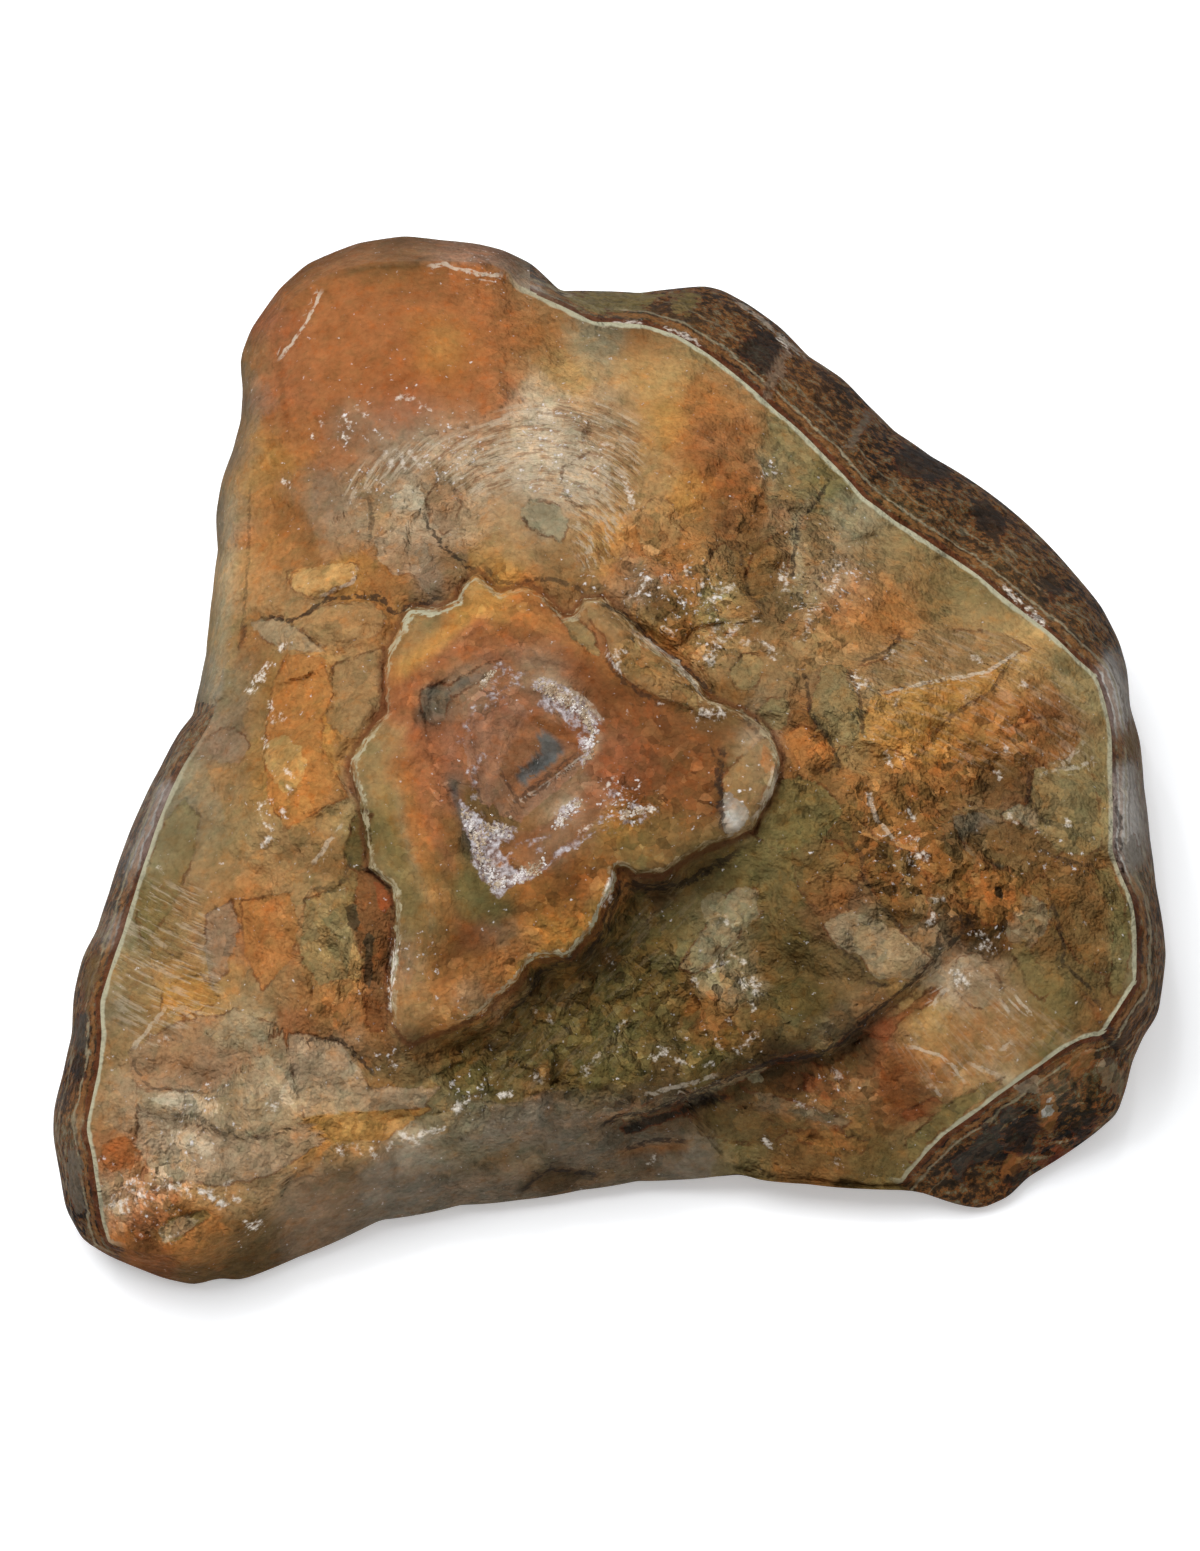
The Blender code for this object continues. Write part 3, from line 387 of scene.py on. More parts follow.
# Where each colour lies on the broken face: pixel x, pixel y and half width in millimetres
FACE_COLOURS = {
    "carnelian": [
        (320, 300, 5), (330, 345, 5), (310, 395, 5), (385, 340, 5), (485, 305, 5), (425, 295, 5),
        (470, 395, 4), (330, 440, 4), (700, 440, 3), (530, 615, 3), (395, 695, 2), (265, 935, 3),
        (130, 1150, 3), (432, 662, 2), (460, 640, 2), (410, 760, 2), (413, 830, 2)],
    "deep_carnelian": [(408, 362, 4), (445, 372, 3), (720, 475, 3), (740, 425, 3), (395, 690, 2)],
    "red": [
        (275, 400, 4), (280, 330, 3), (400, 412, 3), (450, 740, 3), (500, 648, 3), (622, 765, 4),
        (720, 510, 3), (420, 760, 3), (290, 1030, 2), (240, 945, 2), (880, 1035, 2), (590, 650, 3),
        (500, 700, 3), (395, 702, 2), (430, 790, 2), (470, 940, 2), (600, 790, 3)],
    "red_brown": [
        (620, 690, 3), (640, 650, 2), (375, 960, 2), (375, 900, 2), (1045, 730, 3), (910, 1110, 3),
        (830, 895, 3), (1040, 810, 3), (905, 1070, 3), (560, 880, 3), (700, 770, 4), (540, 775, 2),
        (145, 1225, 3), (820, 1085, 3), (460, 595, 1), (590, 668, 2), (665, 745, 3), (640, 790, 3)],
    "rust": [
        (300, 262, 4), (400, 256, 4), (545, 335, 3), (275, 500, 4), (330, 560, 4), (250, 640, 3),
        (740, 500, 4), (660, 560, 4), (950, 760, 5), (900, 850, 5), (980, 900, 4), (1090, 880, 4),
        (420, 860, 3), (340, 1000, 4), (700, 1000, 3), (650, 330, 3), (800, 720, 3), (850, 1150, 4),
        (560, 830, 3), (640, 350, 2), (300, 1040, 3), (540, 1085, 2), (1090, 1050, 3), (430, 930, 4),
        (380, 590, 2), (415, 800, 2), (520, 905, 2), (570, 900, 2), (500, 750, 3), (540, 815, 2)],
    "brown": [
        (470, 580, 2), (440, 490, 2), (750, 545, 4), (780, 600, 3), (860, 790, 4), (1010, 850, 5),
        (560, 1000, 2), (650, 830, 4), (560, 590, 2), (345, 745, 2), (320, 860, 3), (1030, 930, 5),
        (920, 900, 4), (1080, 1000, 4), (760, 960, 3), (600, 845, 3), (440, 870, 3), (700, 820, 3),
        (790, 1140, 4), (380, 1080, 3), (730, 700, 2), (600, 612, 2), (560, 775, 2)],
    "umber": [
        (500, 800, 3), (660, 610, 2), (690, 740, 3), (810, 800, 5), (960, 830, 4), (850, 960, 4),
        (1060, 950, 3), (700, 850, 3), (360, 860, 2), (330, 1170, 3), (430, 1065, 3), (230, 1245, 3),
        (730, 1130, 5), (780, 900, 3), (660, 1070, 2), (370, 925, 2), (1000, 780, 2), (500, 1045, 3)],
    # dark_brown: mostly painted shade, under the plate's lower edge, in the hollow and below the ledges
    "dark_brown": [
        (640, 895, 4), (600, 950, 3), (530, 975, 2), (850, 1030, 3), (790, 1055, 3), (690, 1105, 2),
        (560, 1172, 2), (480, 1010, 2), (405, 1045, 2), (615, 1122, 3), (980, 935, 1), (720, 1085, 2)],
    "amber": [
        (350, 1125, 3), (310, 1128, 3), (280, 760, 4), (310, 700, 4), (315, 780, 4), (440, 350, 3),
        (265, 465, 3), (600, 520, 3), (585, 925, 2), (490, 602, 3), (350, 572, 2), (660, 425, 3),
        (690, 500, 3), (940, 725, 4), (310, 1135, 2), (620, 828, 2), (190, 995, 4), (650, 665, 2),
        (555, 930, 3), (915, 720, 3)],
    "orange": [
        (370, 620, 3), (255, 550, 4), (410, 650, 3), (870, 610, 5), (720, 390, 3), (640, 555, 3),
        (810, 765, 3), (1000, 700, 4), (540, 900, 4), (600, 880, 3), (450, 1000, 4), (400, 780, 3),
        (960, 1050, 3), (240, 900, 4), (900, 610, 3), (680, 640, 2), (490, 960, 3), (525, 603, 2),
        (190, 1215, 3), (860, 790, 3), (345, 745, 2), (310, 1135, 2), (110, 1250, 2)],
    "gold": [
        (575, 385, 3), (645, 375, 3), (890, 690, 3), (270, 720, 2), (1005, 655, 4), (350, 1110, 3),
        (925, 1030, 3), (475, 585, 1), (640, 640, 2), (600, 915, 2)],
    "tan": [
        (620, 430, 4), (510, 520, 3), (230, 590, 4), (290, 625, 3), (350, 655, 3), (270, 860, 4),
        (300, 900, 4), (660, 345, 3), (860, 660, 4), (700, 540, 3), (170, 1035, 4), (420, 1000, 3),
        (960, 640, 4), (975, 1070, 4), (600, 610, 2), (380, 735, 2), (700, 665, 2), (210, 1190, 2),
        (760, 620, 3), (850, 980, 2), (640, 480, 4), (150, 975, 3), (250, 480, 2)],
    "dull_tan": [
        (300, 595, 3), (365, 500, 3), (350, 690, 3), (200, 880, 4), (560, 540, 3), (780, 660, 4),
        (540, 290, 3), (230, 790, 3), (330, 830, 2), (180, 935, 4), (120, 1060, 4), (250, 1165, 4),
        (860, 1000, 2), (1010, 990, 4), (1000, 1050, 4), (840, 1110, 3), (930, 580, 4), (740, 645, 3),
        (350, 1080, 3), (110, 1115, 3), (720, 450, 2), (240, 1000, 4), (820, 560, 3)],
    "khaki": [
        (236, 500, 2), (234, 560, 2), (232, 640, 2), (222, 690, 2), (715, 600, 2), (740, 765, 2),
        (225, 850, 4), (330, 930, 3), (365, 770, 3), (760, 400, 4), (790, 450, 4), (700, 350, 3),
        (900, 545, 4), (1090, 820, 4), (990, 600, 4), (1065, 665, 3), (410, 620, 2), (390, 880, 3),
        (140, 1000, 3), (850, 735, 2), (665, 1045, 2), (420, 1105, 3), (940, 1135, 3), (1080, 780, 3),
        (1095, 690, 2), (340, 815, 2), (1120, 880, 3), (408, 655, 2), (430, 638, 2), (385, 785, 2),
        (405, 930, 3), (372, 745, 2), (410, 880, 2), (222, 620, 2), (250, 360, 2), (252, 420, 2)],
    "olive": [
        (395, 850, 2), (480, 900, 2), (640, 850, 2), (700, 845, 2), (150, 930, 4), (950, 590, 4),
        (840, 480, 3), (1110, 940, 4), (500, 905, 2), (470, 880, 2), (700, 930, 4), (880, 945, 3),
        (1050, 1030, 4), (760, 870, 4), (240, 370, 2), (870, 1160, 4), (1060, 1000, 3), (740, 1160, 3),
        (580, 640, 1), (455, 1090, 2), (620, 1050, 3), (810, 860, 3)],
    "moss": [
        (570, 1040, 4), (640, 990, 4), (500, 1070, 4), (360, 830, 2), (780, 930, 4), (600, 1085, 3),
        (355, 900, 2), (790, 1010, 3), (830, 1060, 2), (700, 1060, 3)],
    # dark_moss: the hollow's olive, partly painted shade where it lies deep
    "dark_moss": [
        (590, 990, 4), (660, 950, 4), (540, 1010, 3), (720, 880, 3), (800, 980, 4), (560, 1075, 3),
        (700, 900, 3), (620, 930, 3), (820, 830, 3), (470, 1040, 3), (660, 1020, 3)],
    "grey_green": [
        (160, 790, 3), (140, 850, 3), (120, 930, 2), (600, 335, 3), (860, 510, 3), (240, 1030, 3),
        (720, 965, 3), (725, 925, 3), (1075, 1045, 2), (450, 1110, 2), (330, 1100, 3), (110, 1010, 2),
        (770, 472, 2), (745, 370, 2), (1130, 960, 2), (805, 600, 2), (755, 985, 1)],
    "grey": [
        (545, 510, 3), (180, 830, 4), (770, 708, 2), (865, 930, 3), (230, 1070, 3), (350, 790, 2),
        (840, 690, 2), (990, 820, 3), (790, 560, 2), (280, 1180, 3), (820, 1030, 1), (540, 800, 2)],
    "ash": [
        (222, 520, 3), (218, 600, 2), (210, 680, 2), (246, 400, 2), (240, 460, 2), (380, 1200, 4),
        (450, 1170, 5), (600, 1150, 5), (690, 1165, 4), (530, 1140, 4)],
    "mauve_grey": [
        (225, 730, 3), (470, 690, 3), (430, 585, 2), (330, 495, 3), (530, 665, 3), (215, 1080, 3),
        (500, 930, 2), (570, 780, 2), (320, 1200, 4), (210, 950, 2), (640, 570, 2), (780, 530, 2)],
    "slate": [(436, 705, 2), (640, 1135, 4), (560, 1130, 3), (455, 780, 1), (700, 1145, 3), (475, 840, 1)],
    # pink_grey: the greyish pink of quartz, and on the saddle partly a painted sheen
    "pink_grey": [
        (350, 520, 3), (400, 455, 4), (450, 450, 4), (600, 420, 4), (500, 480, 4), (345, 428, 2),
        (270, 1095, 3), (140, 1105, 3), (640, 590, 2), (840, 575, 3), (330, 1065, 3), (210, 1135, 4),
        (870, 680, 2), (470, 1000, 2), (760, 755, 2), (555, 850, 2), (990, 985, 3), (120, 1195, 2),
        (400, 960, 2), (930, 920, 2)],
    # quartz: white quartz, and on the saddle partly a painted sheen
    "quartz": [
        (560, 480, 4), (590, 500, 3), (540, 440, 4), (410, 500, 2), (545, 405, 2), (735, 812, 1),
        (285, 1090, 2), (200, 1110, 3), (950, 975, 2), (180, 1155, 3), (418, 1140, 2), (565, 820, 2),
        (1010, 1078, 1)],
}

# How quickly one place's colour gives way to the next one's
SPOT_SHARPNESS = 0.8

# How much of its colour each patch of the break takes from the chips of the two sizes, how unlike its
# neighbours' a chip's colour is, and how quickly the chips show as the break gets rougher
CHIP_SHARES = (0.4, 0.3)
CHIP_CONTRAST = 0.16
CHIP_GAIN = 1.3

# The patches with a clear edge: the strength of a facet's colour, how far from the edge its depth is kept
# and how much of it is lost down the hidden side, both in millimetres, the strength of the dark seam, and
# how ragged an edge is
FACET_SHARE = 0.75
PATCH_REACH = 3.0
PATCH_LOSS = 6.0
PATCH_SEAM = 0.55
RAGGEDNESS = 1.8

# Painted shade: how much darker the face and the rind are painted where they turn away at the silhouette,
# and from where to where on the way there from the rim
FACE_EDGE_SHADE = 0.3
RIND_EDGE_SHADE = 0.6
EDGE_SHADE_REACH = (0.2, 0.95)

# Where the face is dull: from how far out on its way to the silhouette, and where it is steeper than this
SIDE_START = 0.15
STEEP = 0.45

# The hidden side, by the share of the way down it: the size, lift and seed of its upper edge's sway, where
# rind takes the face's place, where it fades to umber, where the painted shade at the edge and the painted
# light and shade places fade out, and how many millimetres deeper than the rim's outline it counts as being
SIDE_SWAY = (9.0, 0.12, 81.0)
RIND_TAKES_OVER = (0.04, 0.14)
UMBER_TAKES_OVER = (0.0, 0.15)
EDGE_SHADE_END = 0.3
PAINTED_LIGHT_AND_SHADE_END = 0.2
SIDE_DEPTH = 25.0

# Over which distance outside the rim the rind starts, in millimetres
RIND_EDGE = (-0.1, 0.2)

# The thin lines: half the width and the darkness of a crack's line, also drawn along each ledge as painted
# shade at its foot, how many half widths from a line its guides are kept, and the share of a line or a
# stroke, at each of its ends, over which it tapers
CRACK_HALF_WIDTH = 0.32
CRACK_DARKNESS = 0.95
LINE_REACH = 4.0
LINE_TAPER = 0.12
STROKE_TAPER = 0.2

# Where each colour lies on the rind that the view shows
RIND_COLOURS = {
    "grey_green": [(600, 300, 3), (560, 293, 2), (1150, 880, 2), (72, 1120, 1), (1069, 1090, 2)],
    "umber": [
        (700, 300, 3), (860, 420, 4), (960, 500, 4), (1050, 570, 4), (1150, 930, 3), (950, 1190, 3),
        (1090, 1100, 3), (80, 1010, 4), (110, 900, 3), (1080, 620, 3)],
    "black": [
        (762, 356, 3), (890, 445, 3), (930, 478, 2), (985, 530, 2), (1015, 1135, 4), (960, 1160, 3),
        (1090, 1130, 3), (62, 1180, 3), (78, 1060, 2), (88, 1010, 2), (1000, 530, 1), (1055, 590, 2),
        (80, 1225, 3)],
    "rust": [
        (800, 370, 3), (830, 430, 3), (1000, 550, 3), (730, 320, 3), (1080, 1065, 3), (1140, 1000, 2),
        (75, 1100, 2), (980, 1190, 2), (670, 300, 2), (910, 480, 2), (1085, 660, 1)],
    # Painted glare: reflections of the light along the rind's edges, painted into its colour
    "painted_glare": [
        (1113, 690, 2), (1122, 665, 2), (1116, 715, 2), (1132, 775, 2), (1138, 815, 2), (1138, 850, 2),
        (112, 870, 2), (105, 915, 2), (120, 840, 2), (60, 1100, 1), (515, 262, 2), (535, 275, 2),
        (150, 795, 2)],
    "slate": [(1128, 745, 2), (1150, 950, 2), (165, 765, 2), (66, 1150, 2)],
    "olive": [(900, 500, 2), (1000, 560, 2), (1145, 990, 2), (640, 296, 2), (1100, 1080, 2)],
}

# Patches with a clear edge besides the flat facets: colour, strength and outline
PATCHES = [
    ("tan", 0.6, [
        (635, 520), (650, 500), (666, 498), (680, 518), (680, 540), (664, 552), (648, 558), (638, 540)]),
    ("brown", 0.5, [
        (748, 562), (763, 542), (786, 530), (792, 545), (785, 575), (770, 592), (754, 600), (744, 585)]),
    ("dull_tan", 0.5, [(711, 550), (726, 543), (736, 556), (735, 582), (721, 580), (711, 568)]),
    ("khaki", 0.6, [(730, 668), (742, 654), (756, 654), (766, 664), (758, 682), (747, 692), (734, 688)]),
    ("brown", 0.5, [(790, 852), (815, 838), (840, 842), (855, 868), (852, 895), (820, 905), (798, 890)]),
    ("rust", 0.6, [(806, 880), (830, 872), (856, 884), (850, 904), (822, 912), (806, 900)]),
    ("orange", 0.35, [
        (968, 880), (985, 868), (1010, 870), (1026, 890), (1020, 912), (1004, 926), (984, 925), (968, 908)]),
    ("umber", 0.5, [
        (962, 840), (985, 827), (1012, 818), (1042, 834), (1060, 852), (1048, 870), (1028, 884), (1008, 868),
        (985, 862)]),
    ("olive", 0.6, [
        (1092, 870), (1112, 866), (1124, 900), (1132, 950), (1122, 990), (1108, 998), (1112, 940),
        (1104, 895)]),
    ("mauve_grey", 0.6, [(203, 742), (222, 728), (242, 732), (250, 746), (240, 762), (218, 764)]),
    ("dark_moss", 0.8, [(345, 850), (352, 822), (362, 805), (372, 815), (368, 852), (360, 870), (346, 868)]),
    ("olive", 0.5, [
        (150, 860), (165, 820), (185, 800), (200, 815), (196, 850), (180, 890), (160, 925), (140, 945),
        (136, 905)]),
    ("pink_grey", 0.6, [(380, 560), (372, 540), (392, 528), (420, 536), (432, 560), (415, 575), (392, 574)]),
    ("mauve_tan", 0.6, [(426, 496), (438, 480), (450, 478), (462, 500), (458, 522), (444, 536), (432, 524)]),
    ("grey_green", 0.8, [
        (520, 512), (530, 499), (546, 500), (560, 508), (570, 524), (560, 542), (544, 534), (528, 528)]),
    ("quartz", 0.4, [(560, 470), (590, 452), (612, 462), (606, 490), (584, 510), (566, 496)]),
    ("slate", 0.5, [(446, 690), (462, 676), (486, 664), (500, 662), (492, 674), (470, 686), (456, 698)]),
    ("slate", 0.4, [
        (419, 700), (424, 686), (446, 681), (453, 692), (447, 704), (447, 719), (438, 726), (424, 722)]),
    ("khaki", 0.7, [(560, 620), (575, 617), (592, 630), (600, 655), (588, 652), (572, 636)]),
    # Painted glare: a pale band along the lip of the ledge at the front
    ("grey", 0.7, [
        (622, 1112), (660, 1100), (700, 1088), (742, 1071), (770, 1062), (762, 1073), (725, 1087),
        (690, 1100), (650, 1111), (625, 1123)]),
    # Painted shadow: a black band under the lip of the ledge at the front
    ("black", 0.85, [
        (620, 1128), (645, 1116), (682, 1108), (700, 1096), (732, 1094), (722, 1101), (703, 1106),
        (685, 1116), (650, 1126), (625, 1136)]),
    # Painted shadow in the crack under the ledge below the fan
    ("black", 0.45, [
        (768, 1063), (800, 1052), (836, 1048), (858, 1020), (880, 1008), (905, 988), (925, 965), (932, 968),
        (910, 996), (884, 1016), (866, 1030), (850, 1052), (830, 1067), (800, 1063)]),
    ("grey", 0.6, [
        (742, 1088), (775, 1095), (810, 1107), (852, 1121), (842, 1129), (800, 1115), (765, 1104)]),
    ("orange", 0.5, [(795, 1131), (830, 1128), (868, 1142), (862, 1153), (830, 1147), (800, 1143)]),
    ("umber", 0.6, [
        (692, 1118), (705, 1106), (730, 1104), (760, 1114), (790, 1130), (770, 1146), (730, 1142),
        (700, 1136)]),
    ("deep_red", 0.3, [(802, 1074), (832, 1082), (846, 1094), (830, 1101), (806, 1090)]),
    ("deep_red", 0.4, [(898, 1116), (915, 1105), (936, 1097), (944, 1104), (928, 1114), (910, 1122)]),
    ("deep_red", 0.45, [
        (868, 1036), (884, 1021), (905, 1010), (925, 993), (942, 984), (936, 998), (918, 1011), (900, 1022),
        (885, 1042)]),
    ("olive", 0.7, [
        (905, 1142), (925, 1122), (955, 1100), (985, 1083), (1006, 1078), (994, 1091), (965, 1113),
        (935, 1137), (912, 1166)]),
    ("olive", 0.4, [(1010, 946), (1024, 938), (1036, 960), (1050, 990), (1044, 1002), (1026, 985)]),
    ("grey_tan", 0.4, [
        (958, 958), (975, 948), (990, 962), (1000, 985), (1004, 1005), (985, 1012), (962, 1000), (952, 980)]),
    ("black", 0.9, [
        (738, 345), (748, 334), (765, 330), (784, 345), (779, 360), (769, 378), (756, 371), (744, 357)]),
    ("mauve_grey", 0.8, [
        (779, 354), (792, 344), (786, 370), (775, 391), (768, 402), (760, 400), (766, 384)]),
    ("slate", 0.8, [(845, 446), (867, 410), (875, 415), (853, 452)]),
    ("black", 0.8, [
        (892, 456), (905, 440), (925, 449), (946, 462), (952, 476), (935, 482), (914, 478), (899, 470)]),
    ("black", 0.8, [(968, 506), (984, 499), (1001, 514), (1008, 536), (996, 547), (980, 530)]),
    ("black", 0.7, [(1042, 576), (1052, 570), (1064, 590), (1056, 602), (1045, 590)]),
    ("olive", 0.8, [(566, 296), (600, 290), (642, 291), (664, 296), (650, 309), (604, 313), (580, 310)]),
    ("olive", 0.7, [(671, 300), (688, 289), (701, 298), (692, 313), (676, 312)]),
    ("slate", 0.8, [(1120, 850), (1134, 832), (1145, 860), (1136, 872), (1124, 864)]),
    ("umber", 0.8, [(1123, 728), (1132, 720), (1141, 745), (1136, 766), (1126, 751)]),
    ("dark_slate", 0.9, [
        (952, 1170), (958, 1155), (975, 1140), (991, 1122), (1010, 1108), (1023, 1108), (1002, 1128),
        (998, 1148), (985, 1160), (968, 1166), (962, 1186)]),
    ("black", 0.95, [
        (1002, 1136), (1012, 1122), (1030, 1114), (1040, 1125), (1036, 1146), (1022, 1156), (1004, 1150)]),
    ("orange", 0.6, [(994, 1162), (1010, 1153), (1025, 1158), (1020, 1171), (1004, 1173)]),
    ("rust", 0.8, [(1064, 1062), (1075, 1050), (1092, 1051), (1097, 1062), (1081, 1079), (1068, 1079)]),
    ("orange", 0.6, [(1039, 1100), (1050, 1092), (1060, 1105), (1056, 1127), (1046, 1130), (1040, 1116)]),
    ("grey", 0.8, [(1098, 1062), (1111, 1057), (1123, 1072), (1127, 1091), (1115, 1097), (1100, 1086)]),
    ("black", 0.8, [(1071, 1128), (1082, 1114), (1093, 1108), (1098, 1120), (1086, 1137), (1074, 1142)]),
    ("deep_red", 0.6, [(1040, 1160), (1060, 1147), (1074, 1150), (1060, 1163), (1045, 1171)]),
    ("black", 0.8, [(1006, 1182), (1020, 1171), (1029, 1175), (1023, 1187), (1012, 1191)]),
    ("umber", 0.8, [(80, 990), (88, 965), (98, 948), (102, 956), (93, 990), (86, 1010)]),
    ("dark_slate", 0.85, [(73, 1030), (80, 1011), (87, 1020), (87, 1042), (80, 1054), (74, 1049)]),
    ("black", 0.7, [(69, 1068), (78, 1055), (87, 1060), (85, 1077), (76, 1082)]),
    ("slate", 0.8, [(66, 1150), (75, 1149), (84, 1170), (87, 1206), (78, 1216), (70, 1190)]),
]

# Smaller patches that lie on those
SPOTS = [
    ("orange", 0.2, [
        (985, 1006), (1012, 1000), (1040, 1012), (1064, 1026), (1030, 1046), (1005, 1062), (975, 1052),
        (956, 1032)]),
    ("mauve_clay", 0.7, [
        (468, 708), (484, 690), (512, 696), (528, 712), (536, 730), (520, 752), (508, 768), (505, 790),
        (496, 812), (480, 802), (470, 780), (464, 745)]),
    ("clay", 0.8, [
        (505, 783), (517, 800), (552, 776), (584, 750), (576, 738), (560, 725), (545, 716), (528, 716),
        (512, 740), (500, 765)]),
    ("mauve_clay", 0.6, [
        (500, 770), (508, 786), (518, 800), (550, 777), (584, 751), (592, 756), (560, 788), (520, 822),
        (500, 815), (488, 795)]),
    ("blue_grey", 0.9, [
        (536, 733), (548, 733), (557, 740), (564, 750), (558, 758), (545, 769), (531, 777), (525, 785),
        (518, 785), (517, 775), (522, 767), (532, 762), (540, 755), (541, 744)]),
    ("red_brown", 0.7, [
        (528, 715), (546, 717), (561, 725), (576, 738), (583, 748), (570, 743), (554, 735), (540, 729)]),
    # Painted glare on the pale facet at the plate's right end
    ("painted_glare", 0.35, [
        (724, 792), (731, 790), (738, 800), (745, 806), (751, 818), (742, 829), (731, 837), (726, 838),
        (723, 820)]),
    ("orange", 0.7, [(764, 744), (772, 752), (775, 768), (768, 777), (762, 764)]),
    ("quartz", 0.9, [(395, 496), (404, 485), (418, 484), (425, 498), (418, 511), (406, 508)]),
    ("pale", 0.8, [(536, 410), (548, 408), (558, 413), (552, 420), (538, 420)]),
    ("quartz", 0.8, [(283, 1086), (290, 1078), (297, 1088), (295, 1102), (286, 1106), (280, 1096)]),
    ("quartz", 0.7, [
        (150, 1100), (175, 1091), (202, 1097), (226, 1107), (212, 1116), (184, 1113), (166, 1107)]),
    ("quartz", 0.7, [
        (164, 1126), (186, 1129), (206, 1139), (217, 1151), (205, 1159), (190, 1151), (173, 1141)]),
    ("grey_tan", 0.8, [(155, 1233), (168, 1222), (190, 1213), (200, 1221), (186, 1233), (166, 1242)]),
    ("black", 0.8, [(996, 888), (1003, 890), (1002, 899), (996, 897)]),
    ("black", 0.7, [(346, 905), (354, 900), (360, 920), (356, 932), (348, 924)]),
    ("black", 0.7, [(364, 935), (372, 930), (374, 960), (370, 990), (365, 985)]),
    ("deep_red", 0.7, [(374, 880), (388, 888), (392, 905), (382, 915), (375, 900)]),
    ("gold", 0.6, [
        (266, 742), (284, 735), (300, 747), (308, 765), (298, 785), (284, 793), (271, 775), (263, 755)]),
    ("gold", 0.7, [(348, 945), (356, 942), (362, 965), (358, 986), (350, 980)]),
    ("grey_green", 0.6, [(745, 1075), (760, 1070), (764, 1080), (750, 1084)]),
    ("black", 0.9, [(969, 1165), (977, 1163), (979, 1173), (971, 1175)]),
    # Painted glare, a small spot
    ("painted_glare", 0.8, [(1044, 1106), (1050, 1102), (1053, 1112), (1046, 1114)]),
    ("quartz", 0.3, [(1010, 1093), (1022, 1084), (1035, 1080), (1037, 1087), (1022, 1095)]),
    ("clay", 0.5, [
        (470, 822), (500, 838), (540, 828), (575, 800), (600, 772), (612, 790), (590, 830), (552, 868),
        (520, 880), (492, 862)]),
    ("moss", 0.6, [(620, 905), (640, 890), (655, 905), (640, 930), (615, 950), (602, 945)]),
    ("grey_green", 0.5, [(700, 905), (715, 890), (728, 896), (722, 918), (706, 925)]),
]

# Crusts of fine white quartz in the pit
DRUSES = [
    (0.8, [
        (531, 680), (541, 675), (555, 681), (568, 689), (582, 698), (593, 709), (604, 722), (598, 733),
        (594, 744), (590, 756), (586, 766), (579, 768), (577, 761), (581, 752), (580, 743), (576, 735),
        (569, 727), (561, 718), (552, 713), (540, 708), (536, 702), (544, 695), (535, 689)]),
    (1.0, [
        (460, 800), (470, 806), (478, 817), (490, 822), (501, 821), (513, 826), (517, 834), (508, 842),
        (499, 846), (504, 856), (513, 866), (525, 870), (534, 871), (546, 862), (557, 850), (564, 846),
        (563, 852), (552, 864), (537, 877), (520, 885), (505, 892), (498, 899), (488, 887), (478, 873),
        (471, 862), (473, 852), (467, 838), (462, 822)]),
    (0.85, [(554, 812), (566, 803), (578, 796), (586, 800), (579, 812), (570, 821), (560, 831), (554, 826)]),
    (0.6, [(466, 770), (474, 754), (486, 748), (492, 758), (482, 768), (476, 790), (482, 810), (470, 800)]),
    (0.55, [(456, 750), (460, 722), (472, 704), (486, 708), (478, 724), (470, 736), (466, 752)]),
    (0.5, [(480, 696), (486, 672), (500, 660), (530, 672), (532, 690), (512, 704), (496, 716), (484, 712)]),
    (0.5, [
        (546, 860), (566, 842), (590, 824), (608, 800), (604, 770), (618, 776), (626, 800), (606, 830),
        (580, 846), (558, 862)]),
    (0.5, [(500, 830), (530, 838), (556, 826), (552, 842), (530, 860), (512, 862), (504, 850)]),
    (0.5, [(606, 816), (632, 802), (660, 804), (656, 818), (630, 828), (610, 834)]),
]
